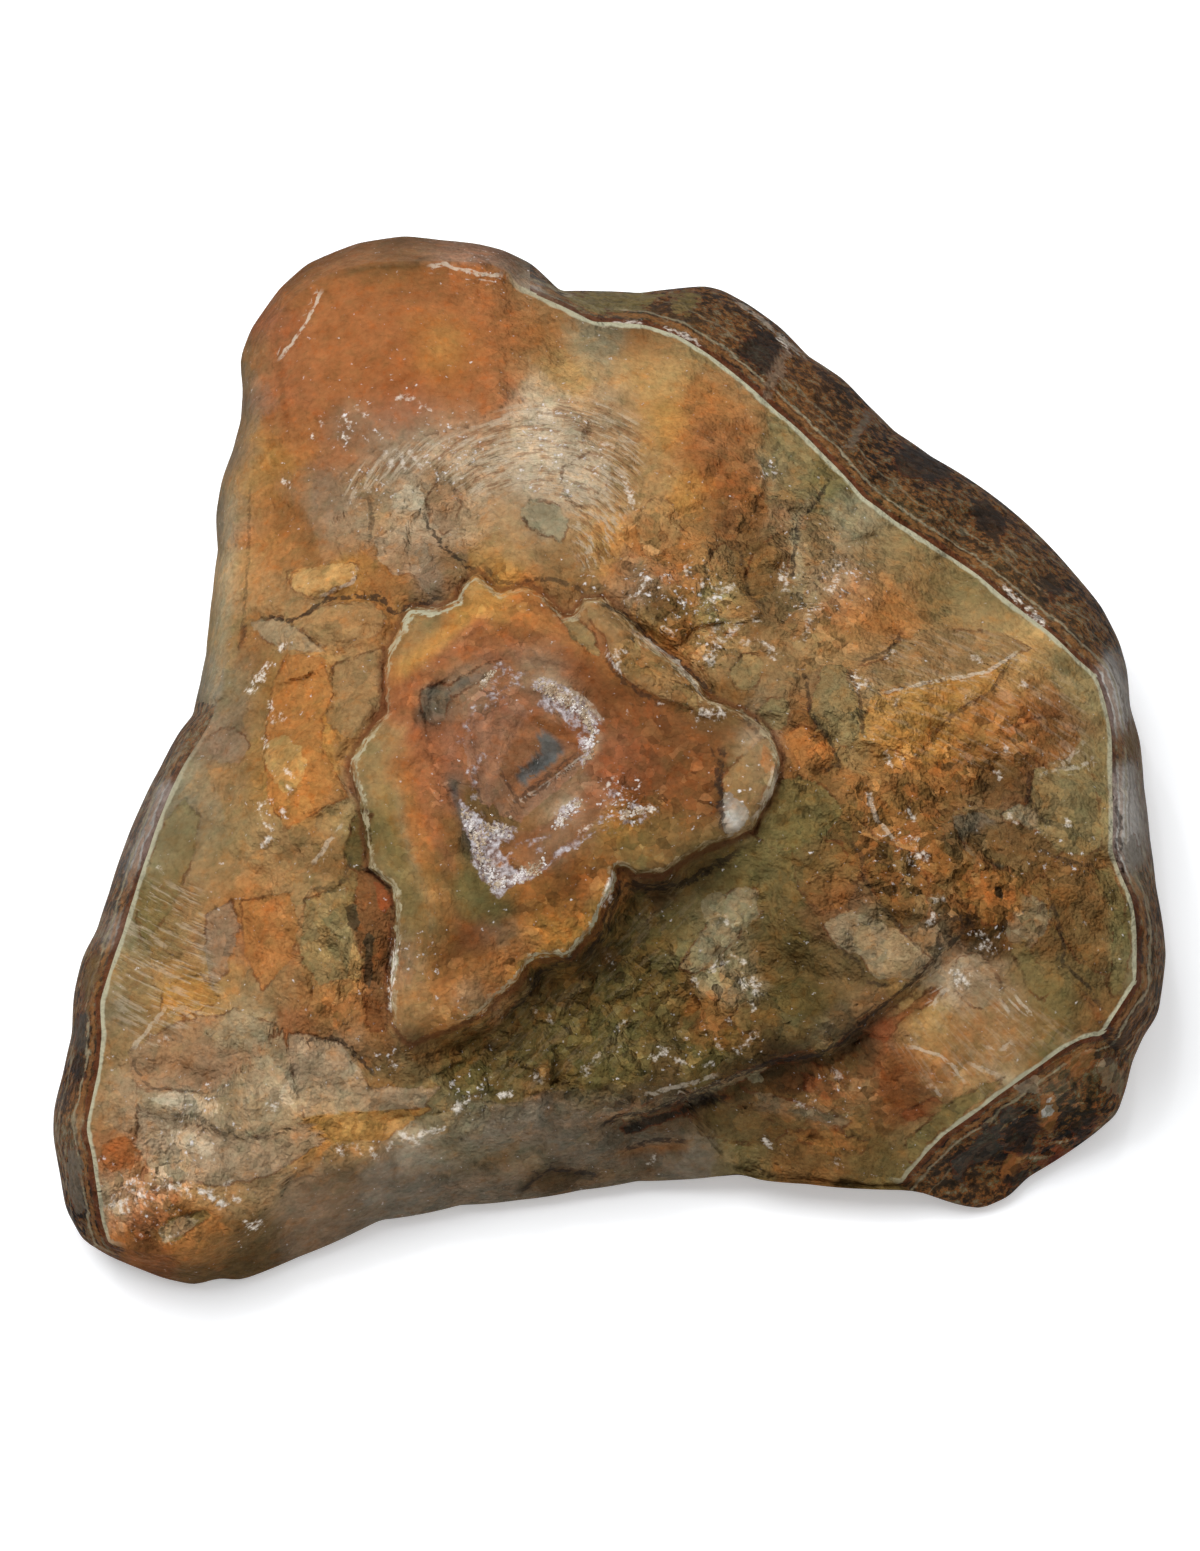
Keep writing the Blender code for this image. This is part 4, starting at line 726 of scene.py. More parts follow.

# Painted light and shade: places painted lighter or darker than their colours, partly for glare and shade,
# partly for the stone's own tone: the middle, the radius in millimetres and the factor
PAINTED_LIGHT_AND_SHADE = [
    ((860, 790), 5.0, 1.4), ((560, 1000), 7.0, 1.5), ((490, 1045), 6.0, 1.4), ((330, 1125), 7.0, 1.45),
    ((210, 1190), 6.0, 1.5), ((130, 1205), 5.0, 1.6), ((282, 1092), 4.0, 1.5), ((240, 1030), 4.0, 1.5),
    ((340, 1000), 4.0, 1.3), ((850, 735), 4.0, 1.4), ((720, 965), 4.0, 1.4), ((740, 1160), 5.0, 1.6),
    ((690, 1165), 4.0, 1.3), ((790, 560), 4.0, 1.35), ((715, 600), 5.0, 1.2), ((330, 925), 4.0, 1.3),
    ((338, 820), 4.0, 1.3), ((236, 520), 5.0, 1.3), ((345, 745), 3.0, 1.3), ((1010, 1078), 4.0, 1.3),
    ((410, 1045), 3.0, 1.5), ((480, 1010), 3.0, 1.5), ((830, 1060), 4.0, 1.4), ((660, 1020), 4.0, 1.3),
    ((470, 940), 5.0, 0.5), ((475, 840), 3.0, 0.5), ((735, 812), 3.0, 0.5), ((555, 918), 7.0, 0.65),
    ((560, 865), 4.0, 0.6), ((620, 675), 5.0, 0.7), ((510, 905), 4.0, 0.7), ((600, 845), 4.0, 0.8),
    ((540, 775), 3.0, 0.7), ((640, 790), 4.0, 0.75), ((436, 705), 3.0, 0.6), ((880, 945), 4.0, 0.7),
    ((290, 715), 4.0, 0.7), ((790, 1055), 5.0, 0.7), ((980, 935), 3.0, 0.35), ((345, 430), 4.0, 0.65),
    ((400, 455), 4.0, 0.75), ((720, 510), 4.0, 0.75), ((400, 256), 6.0, 0.75), ((300, 262), 5.0, 0.75),
    ((760, 620), 3.0, 0.6), ((640, 590), 3.0, 0.6), ((665, 1045), 3.0, 0.7), ((145, 820), 5.0, 0.7),
    ((110, 1010), 4.0, 0.75), ((930, 920), 3.0, 0.6), ((400, 960), 3.0, 0.7), ((1000, 780), 3.0, 0.7),
    ((620, 298), 6.0, 0.5), ((515, 262), 4.0, 0.6), ((900, 465), 5.0, 0.6), ((62, 1180), 4.0, 0.6),
    ((1140, 1000), 4.0, 0.7), ((860, 420), 5.0, 0.7), ((455, 470), 5.0, 1.25), ((530, 450), 6.0, 1.2),
    ((1125, 700), 6.0, 1.5), ((1130, 820), 5.0, 1.4), ((1050, 600), 4.0, 1.6), ((212, 575), 5.0, 1.6),
    ((205, 660), 5.0, 1.3), ((90, 960), 4.0, 1.6), ((335, 955), 5.0, 1.25), ((640, 895), 5.0, 1.3),
    ((750, 900), 6.0, 1.25), ((640, 600), 5.0, 1.2), ((757, 838), 4.0, 1.4),
]

# Places where the break is a gravel of small grains: the middle, the radius in millimetres and how clearly
GRAVEL_PLACES = [
    ((560, 1020), 14.0, 0.7), ((640, 990), 12.0, 0.7), ((480, 1050), 9.0, 0.7), ((700, 1000), 9.0, 0.7),
    ((745, 930), 8.0, 0.5), ((720, 1050), 8.0, 0.7), ((640, 910), 6.0, 0.5), ((900, 840), 12.0, 0.8),
    ((960, 890), 10.0, 0.9), ((1010, 900), 8.0, 0.8), ((940, 780), 10.0, 0.7), ((1000, 740), 8.0, 0.6),
    ((780, 800), 6.0, 0.5), ((340, 1010), 5.0, 0.6), ((380, 960), 4.0, 0.8), ((640, 830), 7.0, 0.7),
    ((600, 870), 5.0, 0.6), ((1040, 1150), 12.0, 1.0), ((1085, 1085), 9.0, 1.0), ((150, 1200), 8.0, 0.8),
    ((700, 620), 9.0, 0.7), ((640, 540), 7.0, 0.5), ((820, 620), 8.0, 0.5), ((290, 790), 5.0, 0.5),
    ((440, 970), 8.0, 0.4), ((560, 910), 8.0, 0.5), ((690, 790), 9.0, 0.6), ((640, 730), 7.0, 0.5),
    ((500, 640), 8.0, 0.35), ((420, 700), 6.0, 0.3), ((430, 860), 7.0, 0.3), ((600, 770), 5.0, 0.5),
    ((490, 690), 6.0, 0.6), ((440, 780), 6.0, 0.4), ((830, 1090), 12.0, 0.6), ((950, 1090), 8.0, 0.4),
    ((500, 600), 8.0, 0.4), ((640, 655), 4.0, 0.8), ((690, 695), 4.0, 0.9), ((780, 500), 14.0, 0.4),
    ((300, 900), 12.0, 0.3), ((300, 1100), 14.0, 0.3), ((620, 1080), 8.0, 0.7),
]

# Fibres in the break: strength, the pixel that they run out from or round, whether they run round it, outline
FIBRES = [
    (0.25, (600, 640), False, [
        (950, 955), (966, 945), (986, 955), (1001, 970), (1025, 1000), (1050, 1008), (1076, 1020),
        (1096, 1030), (1080, 1036), (1060, 1040), (1040, 1053), (1015, 1073), (1000, 1089), (985, 1099),
        (965, 1088), (945, 1094), (920, 1088), (904, 1062), (888, 1046), (904, 1035), (915, 1020),
        (925, 1005), (940, 985)]),
    # The saddle's whitish streaks: quartz fibres, and partly a painted sheen
    (1.0, (540, 585), True, [
        (340, 480), (370, 455), (420, 440), (470, 430), (510, 405), (560, 395), (610, 400), (650, 430),
        (640, 480), (625, 520), (605, 560), (585, 575), (572, 545), (570, 505), (520, 490), (470, 500),
        (430, 470), (390, 480), (350, 510)]),
    (0.12, (-300, 1900), False, [
        (470, 1050), (520, 990), (590, 950), (640, 900), (690, 870), (700, 910), (670, 980), (640, 1040),
        (600, 1080), (540, 1095), (480, 1090)]),
    (0.3, (700, 1250), True, [
        (880, 640), (930, 625), (1000, 630), (1040, 650), (1090, 700), (1090, 760), (1000, 770), (920, 760),
        (870, 740), (862, 700)]),
    (0.6, (330, 600), True, [
        (130, 880), (200, 880), (215, 960), (225, 1010), (150, 1050), (115, 1020), (110, 960)]),
]

# Lines drawn on the face: colour, half width in millimetres, strength, and the line
STROKES = [
    ("olive", 2.4, 0.4, [(420, 1140), (490, 1160), (560, 1158)]),
    ("brown", 1.8, 0.45, [(500, 1192), (580, 1176), (680, 1168)]),
    ("mauve_tan", 1.6, 0.4, [(440, 1192), (500, 1172), (545, 1160)]),
    ("olive", 2.6, 0.6, [(700, 1110), (730, 1128), (765, 1148)]),
    # Painted shadow under the ledge at the front
    ("dark_brown", 1.8, 0.6, [(628, 1120), (660, 1130), (692, 1142)]),
    ("mauve_grey", 0.9, 0.6, [(500, 1142), (560, 1128), (610, 1116), (664, 1102)]),
    # Painted shadow under the lips of the front ledges, in this line and the next
    ("dark_brown", 0.6, 0.85, [(594, 1126), (640, 1114), (690, 1102)]),
    ("dark_brown", 0.5, 0.8, [(686, 1102), (720, 1094), (756, 1108)]),
    ("rust", 0.7, 0.7, [(606, 1156), (650, 1148), (696, 1146)]),
    # Painted shadow in the pocket under the front's lowest ledge
    ("dark_brown", 0.7, 0.8, [(512, 1198), (534, 1178), (560, 1172), (592, 1178)]),
    ("mauve_grey", 0.8, 0.5, [(746, 1104), (800, 1112), (856, 1126)]),
    ("umber", 0.6, 0.5, [(425, 1182), (480, 1165), (525, 1150)]),
    ("grey_green", 1.4, 0.6, [
        (234, 470), (226, 520), (224, 570), (222, 620), (214, 670), (204, 715), (188, 752)]),
    ("brown", 4.5, 0.55, [(275, 640), (268, 700), (262, 760), (250, 800)]),
    ("grey", 2.2, 0.5, [(243, 640), (238, 700), (224, 750)]),
    ("blue_grey", 0.5, 0.6, [(440, 700), (462, 682), (488, 672)]),
    ("grey_green", 0.7, 0.5, [(396, 770), (402, 830), (416, 870), (430, 905), (436, 960)]),
    ("olive", 1.5, 0.5, [(420, 860), (432, 905), (440, 950)]),
    ("red_brown", 0.7, 0.45, [(440, 1000), (452, 960), (470, 930), (500, 912)]),
    ("mauve_clay", 1.2, 0.45, [(448, 720), (452, 760), (462, 790)]),
    ("tan", 4.5, 0.6, [(962, 985), (985, 1010), (1000, 1035), (975, 1060), (945, 1060)]),
    ("mauve_tan", 2.5, 0.5, [(960, 965), (978, 975), (990, 992)]),
    ("rust", 0.9, 0.7, [(896, 1024), (922, 1004), (948, 984)]),
    ("olive", 2.5, 0.5, [(1015, 955), (1045, 990), (1075, 1020)]),
    ("red_brown", 0.6, 0.7, [(1079, 988), (1094, 1008), (1106, 1028)]),
    ("rust", 1.2, 0.75, [(948, 1148), (980, 1122), (998, 1109), (1014, 1098)]),
    ("rust", 1.6, 0.7, [(1060, 1064), (1080, 1060), (1100, 1068)]),
    ("grey_green", 0.45, 0.7, [
        (944, 1167), (970, 1145), (997, 1124), (1021, 1108), (1045, 1091), (1067, 1078)]),
    ("amber", 1.4, 0.7, [(386, 684), (408, 664), (432, 648), (455, 627), (472, 608), (484, 594)]),
    ("red", 1.2, 0.7, [(388, 702), (414, 682), (440, 660), (462, 640), (480, 624), (504, 612)]),
    ("orange", 1.6, 0.6, [(484, 594), (512, 606), (540, 622), (570, 640), (604, 664), (640, 700)]),
    ("red_brown", 1.5, 0.6, [(470, 650), (505, 632), (545, 642), (590, 672), (630, 705), (650, 735)]),
    ("red_brown", 3.0, 0.6, [(600, 690), (640, 715), (690, 740), (716, 770), (712, 805), (660, 820)]),
    ("olive", 2.0, 0.6, [(386, 770), (390, 820), (400, 866), (412, 910), (425, 945)]),
    ("orange", 1.4, 0.5, [(412, 742), (410, 790), (420, 850), (436, 900), (450, 935)]),
    ("red", 1.2, 0.5, [(416, 735), (420, 790), (438, 840), (462, 885)]),
    ("olive", 1.5, 0.7, [(462, 868), (478, 898), (500, 910), (520, 900)]),
    ("moss", 0.8, 0.6, [(470, 868), (482, 892), (497, 900)]),
    ("orange", 1.4, 0.5, [(515, 905), (545, 885), (575, 862), (600, 850)]),
    ("amber", 0.9, 0.7, [(500, 990), (520, 972), (545, 948), (580, 930), (598, 905), (614, 870)]),
    ("blue_grey", 0.7, 0.6, [(424, 722), (428, 695), (440, 682)]),
    ("blue_grey", 0.6, 0.7, [(450, 770), (456, 800), (472, 840), (488, 880)]),
    ("mauve_grey", 1.3, 0.7, [(468, 812), (482, 850), (498, 880)]),
    ("quartz", 0.8, 0.5, [(484, 862), (500, 880), (520, 874), (548, 860)]),
    ("quartz", 0.9, 0.5, [(534, 676), (562, 690), (586, 708), (600, 728)]),
    ("quartz", 0.8, 0.5, [(600, 728), (594, 748), (586, 762)]),
    ("quartz", 1.0, 0.6, [(560, 812), (584, 800)]),
    ("red_brown", 0.9, 0.5, [(500, 850), (535, 836), (570, 815)]),
    ("orange", 1.6, 0.7, [(508, 738), (514, 756), (520, 776)]),
    ("blue_grey", 1.1, 0.95, [(541, 740), (556, 750), (540, 766), (524, 776)]),
    ("rust", 1.0, 0.7, [(500, 768), (517, 790), (545, 770)]),
    ("umber", 0.6, 0.7, [(329, 278), (350, 271), (401, 267), (433, 263)]),
    ("red_brown", 0.6, 0.6, [(278, 326), (280, 371), (286, 414), (288, 441)]),
    ("red", 0.8, 0.5, [(352, 752), (346, 775), (354, 800)]),
    ("red_brown", 0.6, 0.7, [(384, 650), (383, 680), (385, 706), (368, 730), (352, 748)]),
    ("red_brown", 0.5, 0.7, [(247, 622), (243, 636), (239, 652)]),
    ("mauve_grey", 1.3, 0.6, [(205, 745), (225, 750), (243, 752)]),
    ("grey_green", 0.7, 0.6, [(826, 480), (794, 523), (800, 580), (803, 612)]),
    ("dark_brown", 0.8, 0.8, [(724, 760), (722, 790), (726, 822)]),
    ("frost", 0.9, 0.8, [(728, 800), (735, 822), (744, 826)]),
    ("quartz", 0.7, 0.7, [(778, 762), (768, 790), (752, 820)]),
    # Painted highlight along the ledge beside the white band
    ("painted_glare", 0.7, 0.9, [(1000, 585), (1020, 602), (1046, 626)]),
    ("quartz", 2.4, 0.6, [(150, 1124), (185, 1132), (212, 1146)]),
    ("quartz", 1.5, 0.6, [(150, 1098), (190, 1102), (240, 1128)]),
]

# Painted glints: small white highlights painted into the colour as specks of white quartz: half width in
# millimetres, strength, and the line
PAINTED_GLINTS = [
    (0.6, 1.0, [(250, 691), (257, 681), (262, 675)]), (0.5, 1.0, [(264, 670), (268, 664)]),
    (0.4, 0.8, [(279, 650), (284, 644)]), (0.45, 0.9, [(270, 703), (271, 708)]),
    (0.45, 0.9, [(271, 718), (272, 722)]), (0.5, 0.8, [(281, 715), (284, 719)]),
    (0.5, 0.8, [(265, 741), (266, 747)]), (0.4, 0.7, [(286, 771), (291, 774)]),
    (0.4, 0.7, [(287, 786), (291, 790)]), (0.5, 0.9, [(258, 810), (262, 805), (269, 801)]),
    (0.4, 0.7, [(282, 812), (286, 814)]), (0.5, 0.9, [(262, 845), (269, 839)]),
    (0.4, 0.8, [(263, 822), (271, 830)]), (0.6, 0.9, [(346, 421), (349, 427)]),
    (0.4, 0.9, [(343, 434), (345, 441)]), (0.4, 0.8, [(311, 437), (315, 440)]),
    (0.4, 0.6, [(316, 419), (322, 424)]), (0.4, 0.6, [(360, 411), (366, 416)]),
    (0.4, 0.6, [(398, 397), (412, 399)]), (0.4, 0.6, [(420, 405), (430, 409)]),
    (0.4, 0.8, [(285, 482), (290, 485)]), (0.5, 0.5, [(386, 452), (392, 464)]),
    (0.5, 0.5, [(398, 452), (404, 466)]), (0.5, 0.5, [(411, 451), (421, 467)]),
    (0.5, 0.6, [(622, 478), (635, 506)]), (0.4, 0.5, [(600, 444), (612, 448)]),
    (0.5, 0.6, [(632, 597), (641, 594), (644, 580)]), (0.5, 0.7, [(664, 578), (669, 579)]),
    (0.45, 0.7, [(686, 568), (688, 575)]), (0.45, 0.6, [(702, 580), (703, 587)]),
    (0.6, 0.6, [(715, 588), (722, 592), (732, 586)]), (0.5, 0.6, [(708, 600), (714, 603)]),
    (0.5, 0.8, [(664, 628), (671, 634)]), (0.5, 0.6, [(715, 630), (720, 622)]),
    (0.5, 0.6, [(722, 640), (730, 634), (740, 624)]),
    (0.7, 0.7, [(704, 656), (710, 662), (716, 648), (718, 640)]),
    (0.5, 0.8, [(680, 600), (683, 601)]), (0.6, 0.7, [(756, 612), (756, 620)]),
    (0.5, 0.6, [(744, 642), (752, 641)]), (0.6, 0.6, [(764, 643), (771, 650), (776, 657)]),
    (0.6, 0.8, [(783, 568), (782, 578), (787, 588)]),
    (0.5, 0.6, [(836, 560), (842, 570), (840, 578), (828, 592)]),
    (0.5, 0.5, [(820, 602), (810, 618), (804, 640)]), (0.5, 0.9, [(852, 672), (858, 686), (856, 692)]),
    (0.5, 0.7, [(864, 680), (868, 688)]), (0.5, 0.7, [(888, 660), (893, 652)]),
    (0.5, 0.5, [(896, 700), (899, 706)]), (0.5, 0.5, [(970, 655), (980, 661)]),
    (0.6, 0.6, [(1020, 680), (1028, 688)]), (0.5, 0.8, [(1005, 747), (1009, 750)]),
    (0.6, 0.8, [(886, 753), (889, 761)]), (0.5, 0.5, [(900, 758), (904, 762)]),
    (0.5, 0.6, [(995, 773), (1000, 777)]), (0.5, 0.8, [(910, 812), (912, 818)]),
    (0.5, 0.7, [(908, 841), (918, 838)]), (0.6, 0.8, [(912, 858), (918, 853), (925, 856)]),
    (0.5, 0.6, [(868, 793), (871, 802)]), (0.5, 0.8, [(1066, 821), (1069, 824)]),
    (0.5, 0.5, [(1010, 816), (1014, 822)]), (0.7, 0.9, [(930, 923), (934, 916)]),
    (0.6, 0.9, [(985, 941), (987, 948)]), (0.45, 0.6, [(978, 934), (984, 938)]),
    (0.4, 0.6, [(988, 952), (990, 958)]), (0.9, 0.9, [(957, 973), (963, 982)]),
    (0.5, 0.5, [(932, 900), (942, 898)]), (0.6, 1.0, [(711, 970), (719, 965), (728, 958)]),
    (0.45, 0.7, [(738, 960), (746, 962)]), (0.9, 0.8, [(744, 982), (755, 984), (758, 991)]),
    (0.5, 0.6, [(693, 981), (696, 984)]), (0.5, 0.6, [(720, 920), (726, 922)]),
    (0.6, 0.8, [(662, 1050), (666, 1054)]), (0.5, 0.7, [(654, 1056), (657, 1058)]),
    (0.45, 0.5, [(676, 1060), (684, 1064)]), (0.45, 0.6, [(716, 1044), (720, 1047)]),
    (0.5, 0.6, [(736, 1051), (746, 1042), (756, 1034)]), (0.45, 0.5, [(728, 1020), (730, 1024)]),
    (0.45, 0.6, [(752, 1003), (753, 1009)]), (0.45, 0.6, [(705, 1066), (712, 1064)]),
    (0.45, 0.6, [(618, 1030), (625, 1022)]), (0.45, 0.6, [(550, 1018), (552, 1021)]),
    (0.4, 0.5, [(534, 1008), (536, 1012)]), (0.4, 0.5, [(609, 958), (611, 962)]),
    (0.4, 0.4, [(590, 1062), (600, 1054)]), (0.5, 0.6, [(585, 1070), (588, 1074)]),
    (0.7, 1.0, [(456, 1109), (460, 1106)]), (0.6, 0.9, [(466, 1103), (470, 1099)]),
    (0.6, 1.0, [(503, 1095), (509, 1093)]), (0.5, 0.5, [(536, 1076), (540, 1080)]),
    (0.6, 1.0, [(602, 905), (608, 896)]), (0.5, 0.8, [(609, 886), (612, 874)]),
    (0.6, 0.7, [(615, 665), (620, 671)]), (0.6, 0.6, [(610, 655), (624, 652)]),
    (0.4, 0.8, [(660, 703), (664, 705)]), (0.9, 0.8, [(700, 716), (710, 712), (720, 714)]),
    (0.6, 0.8, [(642, 811), (652, 808)]), (0.5, 0.7, [(622, 817), (629, 812)]),
    (0.4, 0.6, [(606, 788), (613, 777)]), (0.4, 0.6, [(627, 713), (630, 717)]),
    (0.4, 0.6, [(579, 832), (590, 826)]), (0.7, 0.8, [(270, 1106), (276, 1104)]),
    (0.8, 0.9, [(130, 1184), (138, 1190)]), (0.6, 0.8, [(140, 1198), (150, 1200)]),
    (0.8, 0.9, [(108, 1206), (116, 1202), (126, 1209)]), (0.6, 0.8, [(165, 1188), (178, 1186), (190, 1194)]),
    (0.6, 0.9, [(197, 1190), (208, 1192), (214, 1201), (224, 1204)]),
    (0.6, 0.8, [(226, 1200), (238, 1199)]), (0.5, 0.6, [(226, 1185), (232, 1182)]),
    (0.8, 1.0, [(250, 1226), (258, 1223)]), (0.5, 0.9, [(138, 1238), (142, 1236)]),
    (0.5, 0.6, [(170, 1238), (176, 1234)]), (0.5, 0.8, [(336, 1147), (344, 1151)]),
    (0.5, 0.6, [(352, 1144), (360, 1152)]), (0.5, 0.7, [(370, 1148), (376, 1156)]),
    (0.5, 0.7, [(388, 1148), (391, 1142)]), (0.6, 0.8, [(402, 1136), (416, 1140), (424, 1132)]),
    (0.5, 0.7, [(425, 1132), (444, 1129)]), (0.5, 0.8, [(762, 1137), (770, 1147)]),
    (0.5, 0.6, [(797, 1102), (802, 1106)]), (0.5, 0.5, [(832, 1070), (842, 1080)]),
    (0.4, 0.6, [(650, 1162), (656, 1158)]), (0.4, 0.5, [(835, 1160), (841, 1166)]),
    (0.5, 0.6, [(390, 1064), (396, 1068)]), (0.5, 0.9, [(1003, 587), (1020, 602), (1044, 624)]),
    (0.45, 0.8, [(668, 330), (684, 335), (698, 343)]), (0.5, 0.8, [(780, 338), (786, 346)]),
    (0.4, 0.6, [(604, 325), (640, 322)]), (0.5, 0.9, [(396, 940), (394, 960), (391, 985)]),
    (0.4, 0.7, [(390, 995), (391, 1012)]), (0.4, 0.5, [(158, 866), (162, 872)]),
    (0.4, 0.5, [(160, 1042), (170, 1036)]),
]

# Thin dark lines besides the cracks, some of them painted shade in the crevices under the plate's edge:
# half width in millimetres, strength, and the line
DARK_AND_SHADE_LINES = [
    (0.2, 0.6, [(470, 765), (474, 782), (482, 802), (500, 819), (540, 790), (590, 752)]),
    (0.25, 0.7, [(497, 765), (506, 782), (517, 799), (548, 774), (582, 750)]),
    (0.25, 0.5, [(250, 480), (248, 560), (243, 620), (240, 650)]),
    (0.3, 0.8, [(904, 628), (893, 645), (886, 651), (855, 664)]),
    (0.3, 0.8, [(846, 664), (858, 690), (862, 715), (863, 740)]),
    (0.3, 0.6, [(918, 757), (945, 720), (990, 692), (1010, 665)]),
    (0.35, 0.8, [(795, 660), (806, 680), (810, 712), (834, 748), (838, 765), (812, 774)]),
    (0.3, 0.6, [(845, 835), (860, 852), (864, 875), (872, 895), (892, 918), (912, 940), (926, 955)]),
    (0.4, 0.8, [(1030, 768), (1028, 800), (1042, 820), (1060, 826)]),
    (0.35, 0.7, [(1036, 845), (1056, 860), (1098, 866)]),
    (0.4, 0.8, [(948, 924), (958, 916), (968, 920), (974, 930)]),
    (0.3, 0.8, [(1050, 895), (1056, 915), (1062, 940), (1064, 965), (1088, 985), (1104, 1015)]),
    (0.4, 0.7, [(940, 930), (936, 950), (930, 965)]), (0.3, 0.6, [(355, 866), (378, 874), (395, 892)]),
    (0.3, 0.6, [(160, 1110), (200, 1118), (225, 1134), (258, 1138), (290, 1140)]),
    (0.25, 0.6, [(132, 1050), (136, 1070), (150, 1088), (212, 1092), (240, 1076)]),
    (0.35, 0.7, [(246, 622), (243, 636), (238, 652)]),
    (0.3, 0.6, [(300, 905), (312, 892), (345, 880), (352, 850)]),
    (0.3, 0.6, [(714, 545), (706, 560), (706, 580), (700, 600)]),
    (0.3, 0.6, [(736, 540), (744, 570), (750, 600), (770, 605)]),
    (0.3, 0.6, [(752, 700), (742, 712), (752, 728), (762, 740)]),
    (0.3, 0.5, [(448, 478), (456, 495), (464, 508)]),
    (0.3, 0.6, [(366, 492), (370, 505), (372, 520), (368, 545)]),
    (0.35, 0.7, [(480, 560), (488, 572), (500, 582), (520, 582), (545, 578), (575, 586), (590, 598)]),
    (0.45, 0.9, [(722, 742), (719, 770), (720, 800), (723, 834)]),
    (0.4, 0.7, [(602, 652), (622, 680), (648, 698), (664, 708)]),
    (0.3, 0.7, [(864, 978), (872, 984), (890, 986)]),
    (0.3, 0.6, [(858, 930), (840, 948), (858, 962), (866, 978)]),
    (0.4, 0.7, [(1118, 866), (1128, 890), (1138, 930), (1142, 970)]),
    (0.35, 0.8, [(1116, 800), (1120, 830), (1118, 856)]),
    (0.3, 0.6, [(1110, 735), (1113, 760), (1114, 776)]),
    (0.45, 0.8, [(1105, 1022), (1118, 1042), (1130, 1062)]),
    (0.3, 0.5, [(140, 870), (132, 890), (118, 925)]),
    # Painted shadow in the crevice under the plate's lower edge, in this line and the next
    (0.5, 0.9, [
        (576, 966), (592, 950), (607, 925), (615, 900), (623, 885), (650, 887), (680, 885), (702, 873),
        (730, 857), (754, 842)]),
    (0.4, 0.8, [(504, 1014), (527, 998), (539, 974), (560, 964), (580, 951)]),
]

# Thin pale lines, mostly light caught by an edge: half width in millimetres, strength, and the line
PALE_LINES = [
    (0.3, 0.7, [(425, 268), (444, 264), (460, 270), (484, 274), (500, 276), (503, 270)]),
    (0.25, 0.7, [(323, 288), (307, 321), (291, 345), (276, 362)]),
    (0.25, 0.6, [(875, 695), (926, 683), (985, 672), (1004, 661), (1025, 648)]),
    (0.3, 0.4, [(1087, 740), (1058, 769), (1035, 777)]), (0.3, 0.5, [(1060, 770), (1085, 765), (1095, 755)]),
    (0.35, 0.5, [(869, 796), (876, 820), (899, 845)]),
    (0.3, 0.6, [(628, 629), (655, 646), (677, 662), (683, 672), (694, 683), (703, 700)]),
    (0.3, 0.4, [(318, 597), (352, 582), (358, 566)]), (0.3, 0.4, [(569, 688), (590, 704), (604, 722)]),
    (0.12, 0.35, [(505, 791), (516, 803), (550, 780), (588, 752)]),
    (0.35, 0.5, [(950, 985), (938, 998), (930, 1010)]),
    (0.25, 0.5, [(905, 1045), (940, 1055), (956, 1070), (966, 1086)]),
    (0.25, 0.5, [(1001, 1003), (1013, 1016)]), (0.25, 0.5, [(1014, 994), (1035, 1020)]),
    (0.3, 0.4, [(966, 1062), (1000, 1076)]),
    (0.3, 0.4, [(985, 1046), (1004, 1050), (1012, 1040)]),
    (0.25, 0.4, [(930, 1084), (942, 1098)]),
    (0.3, 0.5, [(778, 765), (774, 785), (764, 805), (752, 822)]),
    (0.3, 0.4, [(130, 1052), (148, 1030), (168, 1005)]), (0.3, 0.4, [(312, 866), (326, 846), (344, 822)]),
    (0.3, 0.4, [(730, 296), (760, 318), (786, 342), (810, 362)]),
    (0.3, 0.5, [(1109, 780), (1122, 790), (1130, 800)]), (0.3, 0.5, [(640, 1096), (690, 1084), (720, 1074)]),
]

# How strongly the white band shows along the edge of the broken face
BAND_SPOTS = [
    ((404, 262), 0.0), ((503, 272), 0.0), ((525, 290), 0.7), ((593, 322), 1.0), ((797, 428), 1.0),
    ((1104, 698), 0.9), ((1112, 790), 0.6), ((1136, 950), 0.9), ((1103, 1034), 1.0), ((945, 1134), 0.9),
    ((904, 1182), 0.6), ((890, 1182), 0.0), ((125, 1246), 0.0), ((105, 1235), 0.8), ((92, 1100), 0.9),
    ((149, 850), 0.8), ((182, 768), 0.5), ((204, 733), 0.0), ((262, 355), 0.0),
]

# Where the side of the stone is rind: 1 on the rind, 0 on the broken front and the lobe
RIND_SPOTS = [
    ((404, 236), 0.2), ((520, 258), 0.3), ((550, 285), 1.0), ((705, 286), 1.0), ((1144, 787), 1.0),
    ((980, 1209), 1.0), ((915, 1191), 1.0), ((898, 1190), 0.0), ((519, 1200), 0.0), ((128, 1265), 0.0),
    ((104, 1254), 1.0), ((63, 1074), 1.0), ((140, 808), 1.0), ((182, 728), 0.8), ((204, 665), 0.1),
    ((218, 550), 0.0), ((243, 350), 0.0),
]

